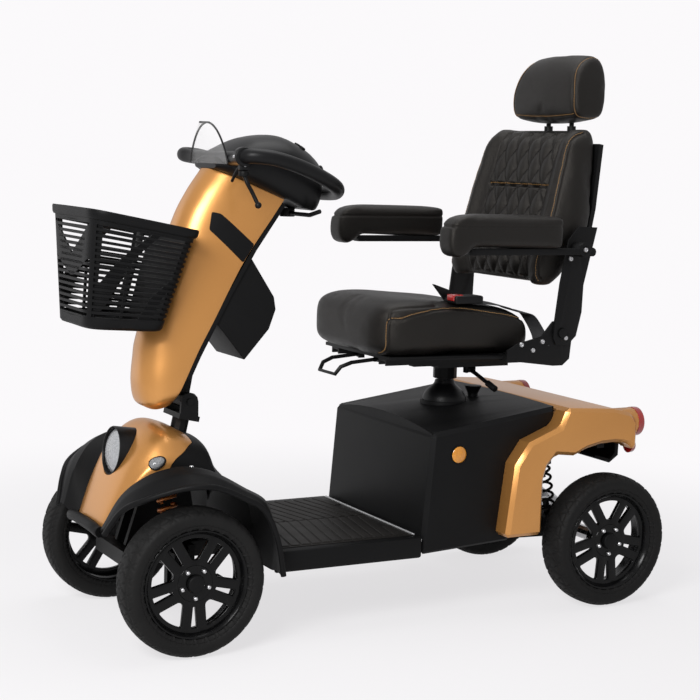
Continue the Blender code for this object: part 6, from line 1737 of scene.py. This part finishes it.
def basket_corners(level):
    """Left front and rear corners of the basket at a height between floor, 0, and rim, 1."""
    half, y, z = (low + (high - low) * level for low, high in zip(FLOOR_FRONT, RIM_FRONT))
    rear_half, rear_z = (low + (high - low) * level for low, high in zip(FLOOR_REAR, RIM_REAR))
    (low_y, low_z), (high_y, high_z) = SHROUD_FACE
    rear_y = low_y + (high_y - low_y) * (rear_z - low_z) / (high_z - low_z) - 0.0015
    return Vector((half, y, z)), Vector((rear_half, rear_y, rear_z))


def basket_outline(level, outset=0.0, count=240):
    """Closed outline from the middle of the rear wall round the left side first."""
    front, rear = basket_corners(level)
    corners = [rear, front, Vector((-front.x, front.y, front.z)), Vector((-rear.x, rear.y, rear.z))]
    path = [(rear + corners[3]) / 2]
    for i, corner in enumerate(corners):
        before = (corners[i - 1] - corner).normalized()
        after = (corners[(i + 1) % 4] - corner).normalized()
        for t in np.linspace(0, 1, 10):
            path.append(corner + (before * (1 - t) ** 2 + after * t ** 2) * BASKET_CORNER)
    ring = evenly(np.array([tuple(p) for p in path]), count, True)
    push = ring - ring.mean(axis=0)
    push[:, 2] = 0
    return ring + push / np.linalg.norm(push, axis=1)[:, None] * outset


def wall_place(level, wall, share):
    """Share of the whole outline for a share of one wall of its left half."""
    front, rear = basket_corners(level)
    deep = (front - rear).length
    start, run = {
        "rear": (rear.x, -rear.x),
        "side": (rear.x + deep, -deep),
        "front": (rear.x + deep, front.x),
    }[wall]
    return (start + run * share) / (2 * (rear.x + deep + front.x))


def basket_point(ring, place):
    """Point at a share of the way round an outline."""
    spot = place % 1.0 * len(ring)
    low = int(spot)
    after = ring[(low + 1) % len(ring)]
    return ring[low % len(ring)] * (1 - spot + low) + after * (spot - low)


def basket_band(wall, marks, columns=9):
    """Solid band over a wall of the basket's left half."""
    marks = np.array(marks)
    rows = []
    for level in np.linspace(marks[0, 0], marks[-1, 0], 40):
        ends = [wall_place(level, wall, np.interp(level, marks[:, 0], marks[:, k])) for k in (1, 2)]
        ring = basket_outline(level)
        rows.append([basket_point(ring, place) for place in np.linspace(*ends, columns)])
    return walled(grid_mesh(np.array(rows)), BASKET_WALL)


def basket():
    """Open basket with slanted solid bands between rows of level slots."""
    parts = []
    pitch = (SLOT_HIGH - SLOT_LOW) / SLOT_ROWS
    bar = pitch * 0.46
    for i in range(SLOT_ROWS + 1):
        middle = SLOT_LOW + i * pitch
        rows = [
            basket_outline(level, 0, 120)
            for level in np.linspace(middle - bar / 2, middle + bar / 2, 3)
        ]
        parts.append(walled(grid_mesh(np.array(rows), True), BASKET_WALL))
    top = [basket_outline(level) for level in (SLOT_HIGH, LIP_LEVEL)]
    top += [
        basket_outline(level, outset)
        for level, outset in (
            (LIP_LEVEL + 0.004, 0.005), (LIP_LEVEL + 0.014, 0.0065), (0.99, 0.0065), (1.0, 0.005)
        )
    ]
    parts.append(walled(grid_mesh(np.array(top), True), BASKET_WALL))
    foot = [
        basket_outline(level, outset)
        for level, outset in ((0.0, -0.010), (0.006, -0.003), (0.02, 0.0), (SLOT_LOW, 0.0))
    ]
    floor = basket_outline(0.0)
    centre = floor.mean(axis=0)
    for share in (0.75, 0.4, 0.04):
        foot.insert(0, centre + (floor - centre) * (share, share, share))
    parts.append(walled(grid_mesh(np.array(foot), True), BASKET_WALL))
    for wall, marks in BASKET_BANDS:
        parts.append(twin(basket_band(wall, marks)))
    return joined(*parts)


placed(basket(), "front_basket", "tiller", BLACK, ["basket"])


def basket_screws():
    """Bright screws in the basket's rim, one on each side."""
    item = lathe(
        [
            (0.0, 0.0012), (0.0012, 0.0012), (0.0016, 0.0024), (0.0034, 0.0022), (0.0042, 0.0008),
            (0.0042, -0.002), (0.0, -0.002)
        ],
        sides=16
    )
    spots = []
    facing = []
    for side in (1, -1):
        ring = basket_outline(SCREW_LEVEL, 0.0068)
        spots.append(basket_point(ring, wall_place(SCREW_LEVEL, "side", 0.60)) * (side, 1, 1))
        facing.append((side, 0, 0.1))
    return spread(item, spots, facing, (0, 1, 0), BRIGHT)


placed(basket_screws(), "basket_screws", "tiller", BRIGHT)


# Padded pieces

FILL_FRAMES = 20


def remeshed(shape, voxel):
    """Even quad skin over a closed shape."""
    step = shape.modifiers.new("even_skin", "REMESH")
    step.mode = "VOXEL"
    step.voxel_size = voxel
    step.use_smooth_shade = True
    return settled(shape)


def coordinates(mesh):
    """A mesh's points as rows of numbers."""
    flat = np.empty(len(mesh.vertices) * 3)
    mesh.vertices.foreach_get("co", flat)
    return flat.reshape(-1, 3)


def normals_of(mesh):
    """A mesh's outward directions, one for each point."""
    flat = np.empty(len(mesh.vertices) * 3)
    mesh.vertex_normals.foreach_get("vector", flat)
    return flat.reshape(-1, 3)


def set_points(mesh, points):
    """Move a mesh's points to the given places."""
    mesh.vertices.foreach_set("co", np.asarray(points, float).ravel())
    mesh.update()


def eased(mesh, rounds):
    """Smooth a mesh's points towards their neighbours."""
    edges = np.empty(len(mesh.edges) * 2, int)
    mesh.edges.foreach_get("vertices", edges)
    edges = edges.reshape(-1, 2)
    points = coordinates(mesh)
    count = np.bincount(edges.ravel(), minlength=len(points))[:, None]
    for _ in range(rounds):
        total = np.zeros_like(points)
        np.add.at(total, edges[:, 0], points[edges[:, 1]])
        np.add.at(total, edges[:, 1], points[edges[:, 0]])
        points = points * 0.5 + total / count * 0.5
    set_points(mesh, points)


def swollen(shape, cap, voxel=0.006, pressure=4.0, rounds=6):
    """Fill a shape as a cover is filled with foam: cloth under pressure, held to a cap."""
    shape = remeshed(shape, voxel)
    eased(shape.data, rounds)
    start = coordinates(shape.data)
    step = shape.modifiers.new("filling", "CLOTH")
    cover = step.settings
    cover.quality = 5
    cover.mass = 0.3
    cover.tension_stiffness = 12.0
    cover.compression_stiffness = 12.0
    cover.bending_stiffness = 1.5
    cover.use_pressure = True
    cover.uniform_pressure_force = pressure
    cover.effector_weights.gravity = 0.0
    step.collision_settings.use_collision = False
    step.point_cache.frame_start = 1
    step.point_cache.frame_end = FILL_FRAMES
    scene = bpy.context.scene
    for number in range(1, FILL_FRAMES + 1):
        scene.frame_set(number)
    graph = bpy.context.evaluated_depsgraph_get()
    final = coordinates(shape.evaluated_get(graph).data)
    shape.modifiers.remove(step)
    scene.frame_set(1)
    push = final - start
    length = np.linalg.norm(push, axis=1)[:, None]
    set_points(
        shape.data, start + push * (cap * np.tanh(length / cap) / np.maximum(length, 1e-9))
    )
    eased(shape.data, 3)
    finer = shape.modifiers.new("finer", "SUBSURF")
    finer.levels = 1
    finer.render_levels = 1
    return settled(shape)


def meets(surface, starts, way):
    """Points where rays from the starts meet a surface."""
    hits = [surface.ray_cast(Vector(start), Vector(way))[0] for start in starts]
    return [hit for hit in hits if hit]


def on_side(surface, points, side, start):
    """Points of a side view brought on to a surface from the left or right."""
    return meets(surface, [(start, y, z) for y, z in points], (-side, 0, 0))


def on_front(surface, points):
    """Points of a front view brought on to a surface from ahead."""
    return meets(surface, [(x, -0.4, z) for x, z in points], (0, 1, 0))


def sewn(shape, path, depth, width):
    """Draw a cover in along a seam."""
    mesh = shape.data
    tree = KDTree(len(path))
    for i, point in enumerate(path):
        tree.insert(point, i)
    tree.balance()
    points = coordinates(mesh)
    low = np.min(path, axis=0) - 4 * width
    high = np.max(path, axis=0) + 4 * width
    near = np.flatnonzero(np.all((points > low) & (points < high), axis=1))
    normals = normals_of(mesh)
    for i in near:
        away = tree.find(points[i])[2]
        points[i] -= normals[i] * depth * math.exp(-(away / width) ** 2)
    set_points(mesh, points)


STITCH_PITCH = 0.0062


def thread_stitch():
    """One short stitch that dips at both ends."""
    line = [(-0.0023, 0, -0.0006), (-0.0012, 0, 0.0004), (0.0012, 0, 0.0004), (0.0023, 0, -0.0006)]
    return pipe(line, 0.00062, resolution=1)


def stitches(surface, path, aside=0.0, material=None):
    """Row of thread stitches beside a seam."""
    line = np.array([tuple(p) for p in path])
    count = max(2, int(np.linalg.norm(np.diff(line, axis=0), axis=1).sum() / STITCH_PITCH))
    line = evenly(line, count)
    ways = np.gradient(line, axis=0)
    spots = []
    facing = []
    heading = []
    for spot, way in zip(line, ways):
        normal = surface.find_nearest(Vector(spot))[1]
        side = normal.cross(Vector(way)).normalized()
        rest, normal = surface.find_nearest(Vector(spot) + side * aside)[:2]
        spots.append(rest + normal * 0.0001)
        facing.append(normal)
        heading.append(Vector(way))
    return spread(thread_stitch(), spots, facing, heading, material or THREAD)


def seamed(pad, seams):
    """Sew a pad along its seams, and return its new skin and its stitches.

    A seam is a line, its depth, its width, and how far beside it the stitches run, or 0 for none.
    """
    for line, depth, width, _ in seams:
        sewn(pad, line, depth, width)
    skin = surface_of(pad)
    return skin, joined(*(stitches(skin, line, aside) for line, _, _, aside in seams if aside))


# Seat

SEAT_LOW = 0.6262
SEAT_STATIONS = [
    (-0.0650, 0.108, 0.664, 0.690), (-0.0565, 0.147, 0.642, 0.724), (-0.0280, 0.187, 0.628, 0.748),
    (0.0440, 0.204, 0.627, 0.754), (0.1500, 0.198, 0.627, 0.750), (0.2600, 0.204, 0.627, 0.740),
    (0.3350, 0.200, 0.628, 0.722), (0.3595, 0.186, 0.640, 0.697), (0.3680, 0.154, 0.658, 0.672)
]


def seat_pad():
    """Seat cushion with a top panel that runs down the front, and sewn side panels."""
    rings = [
        oval_ring(half, low, high, y, 5.4, SEAT_LOW)
        for y, half, low, high in spline(SEAT_STATIONS, 60)
    ]
    pad = swollen(loft(rings), 0.006, rounds=3)
    points = coordinates(pad.data)
    points[:, 2] = np.maximum(points[:, 2], SEAT_LOW)
    hollow = np.exp(-(points[:, 0] / 0.13) ** 2 - ((points[:, 1] - 0.20) / 0.13) ** 2)
    top = np.clip((points[:, 2] - 0.70) / 0.05, 0, 1)
    points[:, 2] -= 0.010 * hollow * top
    edge = np.clip((np.abs(points[:, 0]) - 0.10) / 0.10, 0, 1)
    points[:, 2] += 0.004 * edge * top * np.clip(1 - (points[:, 1] + 0.07) / 0.3, 0, 1)
    set_points(pad.data, points)
    return pad


# Seams of a side panel as seen from the side: up its front and along its top, and the edge above that
SEAT_SEAM = [
    (-0.0280, 0.6310), (-0.0300, 0.6600), (-0.0310, 0.6900), (-0.0290, 0.7110), (-0.0210, 0.7150),
    (-0.0060, 0.7155), (0.0263, 0.7250), (0.0668, 0.7325), (0.0984, 0.7365), (0.1565, 0.7375),
    (0.1943, 0.7340), (0.2372, 0.7270), (0.2920, 0.7190), (0.3480, 0.7080)
]
SEAT_EDGE = [
    (-0.0290, 0.7110), (-0.0270, 0.7270), (-0.0180, 0.7375), (0.0050, 0.7420), (0.0450, 0.7440),
    (0.1000, 0.7450)
]
SEAT_PAD = seat_pad()
SEAT_SKIN = surface_of(SEAT_PAD)
SEAT_SEAMS = []
for TABLE, STEPS, COUNT, DEPTH, WIDTH, ASIDE in (
    (SEAT_SEAM, 300, 220, 0.0032, 0.0038, 0.0040),
    (SEAT_EDGE, 120, 90, 0.0030, 0.0036, 0.0),
):
    for _, SIDE in SIDES:
        LINE = on_side(SEAT_SKIN, evenly(spline(TABLE, STEPS), COUNT), SIDE, SIDE * 0.6)
        SEAT_SEAMS.append((LINE, DEPTH, WIDTH, ASIDE * SIDE))
SEAT_SKIN, SEAT_STITCHES = seamed(SEAT_PAD, SEAT_SEAMS)
placed(SEAT_PAD, "seat_pad", "seat", LEATHER, ["seat_cushion"], sharp=80)
placed(SEAT_STITCHES, "seat_pad_stitching", "seat", THREAD)

BACK = [
    (0.788, 0.393, 0.406), (0.800, 0.388, 0.416), (0.830, 0.387, 0.440), (0.880, 0.398, 0.480),
    (0.930, 0.415, 0.504), (0.980, 0.430, 0.514), (1.030, 0.443, 0.519), (1.083, 0.459, 0.524),
    (1.138, 0.479, 0.529), (1.168, 0.500, 0.530), (1.177, 0.512, 0.524)
]
BACK_HALF = 0.216
PANEL_HALF = 0.196
QUILT_HALF = 0.128
QUILT_WIDE = 0.0510
QUILT_TALL = 0.094
BACK_SEAM_Z = 1.030
QUILT_LOW = 0.806
QUILT_HIGH = 1.166


def back_taper(z):
    """Share of its width that the backrest keeps on its way up."""
    return 1 - 0.085 * np.clip((z - 0.96) / 0.19, 0, 1.1) ** 1.5


def back_ring(z, front, rear, squeeze):
    """Cross section of the backrest: plain panel, two bolsters and a flat rear."""
    deep = rear - front
    half = [
        (0.0, 0.0), (0.060, -0.001), (0.118, 0.0), (0.137, 0.001), (0.156, -0.009), (0.176, -0.022),
        (0.194, -0.027), (0.207, -0.016)
    ]
    half += [
        (0.214, 0.010), (BACK_HALF, deep * 0.5), (BACK_HALF - 0.002, deep * 0.84),
        (BACK_HALF - 0.016, deep), (0.10, deep)
    ]
    ring = [(x * squeeze, front + min(d, deep), z) for x, d in half]
    ring += [(0.0, rear, z)] + [
        (-x * squeeze, front + min(d, deep), z) for x, d in reversed(half[1:])
    ]
    return evenly(spline(ring, 300, True), 120, True)


def back_pad():
    """Backrest cushion with its quilted middle."""
    rings = []
    for z, front, rear in spline(BACK, 56):
        from_end = min(z - BACK[0][0], BACK[-1][0] - z)
        squeeze = back_taper(z) * (1 - 0.085 * max(1 - from_end / 0.045, 0) ** 2)
        rings.append(back_ring(z, front, rear, squeeze))
    pad = swollen(loft(rings), 0.007)
    mesh = pad.data
    points = coordinates(mesh)
    normals = normals_of(mesh)
    x = points[:, 0]
    z = points[:, 2]
    ahead = np.clip(-normals[:, 1] * 2 - 0.2, 0, 1)
    run = np.where(z > BACK_SEAM_Z, z - BACK_SEAM_Z, BACK_SEAM_Z - z)
    one = np.abs(np.sin(math.pi * (x / QUILT_WIDE + run / QUILT_TALL)))
    two = np.abs(np.sin(math.pi * (x / QUILT_WIDE - run / QUILT_TALL)))
    border = np.clip((QUILT_HALF - np.abs(x)) / 0.006, 0, 1)
    ends = np.clip((z - QUILT_LOW) / 0.008, 0, 1) * np.clip((QUILT_HIGH - z) / 0.008, 0, 1)
    seam_gap = np.clip((run - 0.001) / 0.006, 0, 1)
    puff = np.sqrt(one * two) * border * ends * seam_gap
    rim = np.exp(-((np.abs(x) - QUILT_HALF) / 0.0035) ** 2) * np.clip(ends * 2, 0, 1)
    points += normals * (
        ahead * (0.0085 * puff - 0.0030 * (1 - puff) * border * ends - 0.0025 * rim)
    )[:, None]
    set_points(mesh, points)
    return pad


BACK_PAD = back_pad()
BACK_SKIN = surface_of(BACK_PAD)
BACK_SEAMS = []
for _, SIDE in SIDES:
    LINE = on_front(
        BACK_SKIN,
        [(SIDE * PANEL_HALF * back_taper(z), z) for z in np.linspace(QUILT_LOW, QUILT_HIGH, 180)]
    )
    BACK_SEAMS.append((LINE, 0.0036, 0.0045, 0.0045 * SIDE))
LINE = on_front(BACK_SKIN, [(x, BACK_SEAM_Z) for x in np.linspace(-QUILT_HALF, QUILT_HALF, 120)])
BACK_SEAMS.append((LINE, 0.0030, 0.0040, 0.0036))
BACK_SKIN, BACK_STITCHES = seamed(BACK_PAD, BACK_SEAMS)


def quilt_thread():
    """Dark thread along the quilting lines, by both slants."""
    rows = []
    for way in (1, -1):
        for k in range(-9, 10):
            for low, high, turn in (
                (BACK_SEAM_Z + 0.004, QUILT_HIGH - 0.006, 1),
                (QUILT_LOW + 0.006, BACK_SEAM_Z - 0.004, -1)
            ):
                places = []
                for z in np.linspace(low, high, 60):
                    x = way * turn * (k - abs(z - BACK_SEAM_Z) / QUILT_TALL * turn) * QUILT_WIDE
                    if abs(x) < QUILT_HALF - 0.004:
                        places.append((x, z))
                line = on_front(BACK_SKIN, places)
                if len(line) > 6:
                    rows.append(stitches(BACK_SKIN, line, 0.0, LEATHER))
    return joined(*rows)


placed(BACK_PAD, "back_pad", "backrest", LEATHER, ["backrest_cushion"], sharp=80)
placed(BACK_STITCHES, "back_pad_stitching", "backrest", THREAD)
placed(quilt_thread(), "quilting_thread", "backrest", LEATHER)

HEADREST = [
    (0.516, 1.196), (0.500, 1.219), (0.499, 1.266), (0.514, 1.316), (0.544, 1.350), (0.580, 1.362),
    (0.600, 1.345), (0.605, 1.300), (0.597, 1.225), (0.581, 1.197)
]
HEADREST_CENTRE = (0.555, 1.275)
HEADREST_SPAN = [
    (-0.140, 0.70), (-0.137, 0.85), (-0.126, 0.94), (-0.100, 0.975), (-0.050, 1.0), (0.0, 1.01)
]
HEADREST_SEAM = 0.125


def headrest_taper(z):
    """Share of its width that the headrest keeps on its way up."""
    return 1.03 - 0.17 * np.clip((z - 1.235) / 0.12, 0, 1) ** 1.6


def headrest_ring(x, scale):
    """Side outline of the headrest at a place across its width."""
    ring = evenly(spline(HEADREST, 200, True), 90, True)
    middle = np.array(HEADREST_CENTRE)
    ring = middle + (ring - middle) * scale
    return [(x * headrest_taper(z), y, z) for y, z in ring]


HALF_SPAN = [(-x, s) for x, s in reversed(HEADREST_SPAN[:-1])]
HEAD_RINGS = [headrest_ring(x, s) for x, s in spline(HEADREST_SPAN + HALF_SPAN, 44)]
HEAD_PAD = swollen(loft(HEAD_RINGS), 0.007, 0.005)
HEAD_SKIN = surface_of(HEAD_PAD)
HEAD_SEAMS = []
for _, SIDE in SIDES:
    LINE = []
    for TURN in np.linspace(math.radians(20), math.radians(285), 160):
        WAY = Vector((0, math.cos(TURN), math.sin(TURN)))
        ACROSS = SIDE * HEADREST_SEAM * headrest_taper(HEADREST_CENTRE[1] + 0.085 * math.sin(TURN))
        LINE += meets(HEAD_SKIN, [Vector((ACROSS, *HEADREST_CENTRE)) + WAY * 0.3], -WAY)
    HEAD_SEAMS.append((LINE, 0.0030, 0.0042, 0.0044 * SIDE))
LOWER = np.linspace(-HEADREST_SEAM, HEADREST_SEAM, 120)
LINE = on_front(
    HEAD_SKIN, [(x, 1.2065 - 0.004 * math.cos(x / HEADREST_SEAM * math.pi / 2)) for x in LOWER]
)
HEAD_SEAMS.append((LINE, 0.0026, 0.0040, 0.0040))
_, HEAD_STITCHES = seamed(HEAD_PAD, HEAD_SEAMS)
placed(HEAD_PAD, "headrest_pad", "headrest", LEATHER, ["headrest"], sharp=80)
placed(HEAD_STITCHES, "headrest_stitching", "headrest", THREAD)

ARM_X = 0.272
PAD_HALF = 0.0305
PAD_LOW = 0.8877
PAD_TOP = 0.966
PAD_OUTLINE = [
    (0.372, PAD_LOW + 0.001), (0.126, PAD_LOW + 0.001), (0.106, PAD_LOW - 0.013),
    (0.080, PAD_LOW - 0.022), (0.061, PAD_LOW - 0.012), (0.054, PAD_LOW + 0.014),
    (0.059, PAD_TOP - 0.028), (0.076, PAD_TOP - 0.008), (0.104, PAD_TOP), (0.372, PAD_TOP - 0.004)
]


def arm_pad():
    """Left armrest pad, deeper and rounded at its front."""
    shape = slab(fillet(PAD_OUTLINE, 0.010, 4), ARM_X - PAD_HALF, ARM_X + PAD_HALF, 0.011, 3)
    pad = swollen(shape, 0.0035, 0.0045, rounds=3)
    skin = surface_of(pad)
    level = [
        (y, PAD_TOP - 0.0265 - 0.020 * max(0.097 - y, 0)) for y in np.linspace(0.058, 0.370, 160)
    ]
    for side in (1, -1):
        sewn(pad, on_side(skin, level, side, ARM_X + side * 0.2), 0.0028, 0.0030)
    front = [(x, level[0][1]) for x in np.linspace(ARM_X - 0.027, ARM_X + 0.027, 40)]
    sewn(pad, on_front(skin, front), 0.0028, 0.0030)
    points = coordinates(pad.data)
    flat = points[:, 1] > 0.130
    points[flat, 2] = np.maximum(points[flat, 2], PAD_LOW)
    set_points(pad.data, points)
    return pad


ARM_PAD = arm_pad()
for LABEL, SIDE in SIDES:
    PAD = moved(ARM_PAD, Matrix.Diagonal((SIDE, 1, 1, 1)))
    if SIDE < 0:
        PAD.data.flip_normals()
    placed(PAD, "arm_pad_" + LABEL, "armrest_" + LABEL, LEATHER, ["armrest_pad_" + LABEL], sharp=80)
bpy.data.objects.remove(ARM_PAD, do_unlink=True)


def seat_carrier():
    """Seat carrier with the pan's front corners taken off under the pad."""
    shape = cad_copy("seat_frame", 0.0014, 2)
    points = coordinates(shape.data)
    y = points[:, 1] - TO_FRAME.translation.y
    corner = (np.abs(points[:, 0]) > 0.195) & (y < 0.0) & (points[:, 2] < 0.640)
    points[corner, 0] *= 0.80
    points[corner, 1] += 0.024
    set_points(shape.data, points)
    return shape


placed(seat_carrier(), "seat_carrier", "seat", STEEL, ["seat_frame"], False)


# Pieces that follow a built part: the part, the piece, its finish,
# and the width, steps and least angle of its rounded edges

FOLLOWING = (
    ("floor_pan", "deck_tray", BLACK, 0.0012, 2),
    ("battery_cover", "battery_housing", BLACK, 0.004, 4),
    ("rear_cover", "gold_rear_cover", GOLD, 0.0045, 4),
    ("rear_bumper", "tail_panel", BLACK, 0.002, 3),
    ("battery_pack", "battery_box", BLACK, 0.002, 2),
    ("tiller_rear_strip", "tiller_back_strip", BLACK, 0.003, 3),
    ("storage_box", "tiller_bin", BLACK, 0.007, 4, 20.0),
    ("throttle_paddle", "thumb_paddle", SOFT, 0.0012, 3),
    ("back_frame", "back_carrier", STEEL, 0.0016, 2),
    ("seat_base", "swivel_carrier", STEEL, 0.0014, 2),
    ("armrest_arm_left", "arm_bar_left", STEEL, 0.0018, 2),
    ("armrest_arm_right", "arm_bar_right", STEEL, 0.0018, 2),
    ("swivel_lever", "swivel_hand_lever", STEEL, 0.0008, 2),
    ("slide_lever", "slide_loop", STEEL, 0.0008, 2),
    ("headrest_posts", "headrest_stems", STEEL, 0.0008, 2),
)
for NODE, PIECE, COAT, *EDGES in FOLLOWING:
    placed(cad_copy(NODE, *EDGES), PIECE, BODY_OF[NODE], COAT, [NODE], False)


# Lap belt and seat bolts


def belt_strap(points, across, width):
    """Flat webbing along a line of points."""
    line = evenly(spline(points, 80), 40)
    side = Vector(across).normalized() * (width / 2)
    shares = np.linspace(-1, 1, 7)[None, :, None]
    rows = line[:, None, :] + shares * np.array(side)[None, None, :]
    return walled(grid_mesh(rows), 0.0018, 0)


def seat_height(x, y):
    """Top of the seat pad at a place."""
    return SEAT_SKIN.ray_cast(Vector((x, y, 1.0)), Vector((0, 0, -1)))[0].z


BELT_X = 0.158
BELT_LINE = [(BELT_X, y, seat_height(BELT_X, y) + 0.007) for y in (0.205, 0.245, 0.290, 0.330)]
BELT_LINE += [
    (0.166, 0.362, 0.722), (0.182, 0.378, 0.694), (0.204, 0.380, 0.668), (0.224, 0.372, 0.652)
]
BELT_TOP = seat_height(BELT_X, 0.180)
placed(belt_strap(BELT_LINE, (1.0, 0.35, -0.15), 0.050), "lap_belt", "seat", BELT)
BUCKLE = joined(
    block(
        (BELT_X - 0.026, 0.150, BELT_TOP + 0.001), (BELT_X + 0.026, 0.228, BELT_TOP + 0.021), 0.005
    ),
    slab(
        fillet(
            [(0.120, BELT_TOP + 0.046), (0.186, BELT_TOP + 0.024), (0.158, BELT_TOP + 0.002)],
            0.004, 3
        ),
        BELT_X - 0.040, BELT_X - 0.030, 0.002
    ),
    block(
        (BELT_X - 0.036, 0.152, BELT_TOP + 0.004), (BELT_X - 0.018, 0.172, BELT_TOP + 0.014), 0.002
    ),
)
placed(BUCKLE, "lap_belt_buckle", "seat", SOFT)
placed(
    block(
        (BELT_X - 0.012, 0.146, BELT_TOP + 0.008), (BELT_X + 0.018, 0.176, BELT_TOP + 0.0235), 0.003
    ),
    "lap_belt_button", "seat", RED
)
SEAT_BOLT = 0.0062
for NODE, PIECE, SPOTS in (
    ("seat_frame", "seat_plate_bolts", ((0.362, 0.660), (0.3015, 0.654), (0.335, 0.640))),
    ("back_frame", "back_plate_bolts", ((0.425, 0.668), (0.445, 0.884), (0.430, 0.860))),
):
    SKIN = surface_of(frame["nodes"][NODE])
    STARTS = [(side * 0.5, y + TO_FRAME.translation.y, z) for y, z in SPOTS for _, side in SIDES]
    LEFT = bolted(SKIN, STARTS[0::2], (-1, 0, 0), SEAT_BOLT)
    RIGHT = bolted(SKIN, STARTS[1::2], (1, 0, 0), SEAT_BOLT)
    placed(joined(LEFT, RIGHT), PIECE, BODY_OF[NODE], BRIGHT, shift=False)


# Built parts that show as they are

SHOWN_FINISH = {"transaxle": BRIGHT, "tie_rod": BRIGHT}
for NODE, SOLID in frame["nodes"].items():
    SOLID.data.materials.clear()
    SOLID.data.materials.append(SHOWN_FINISH.get(NODE, STEEL))
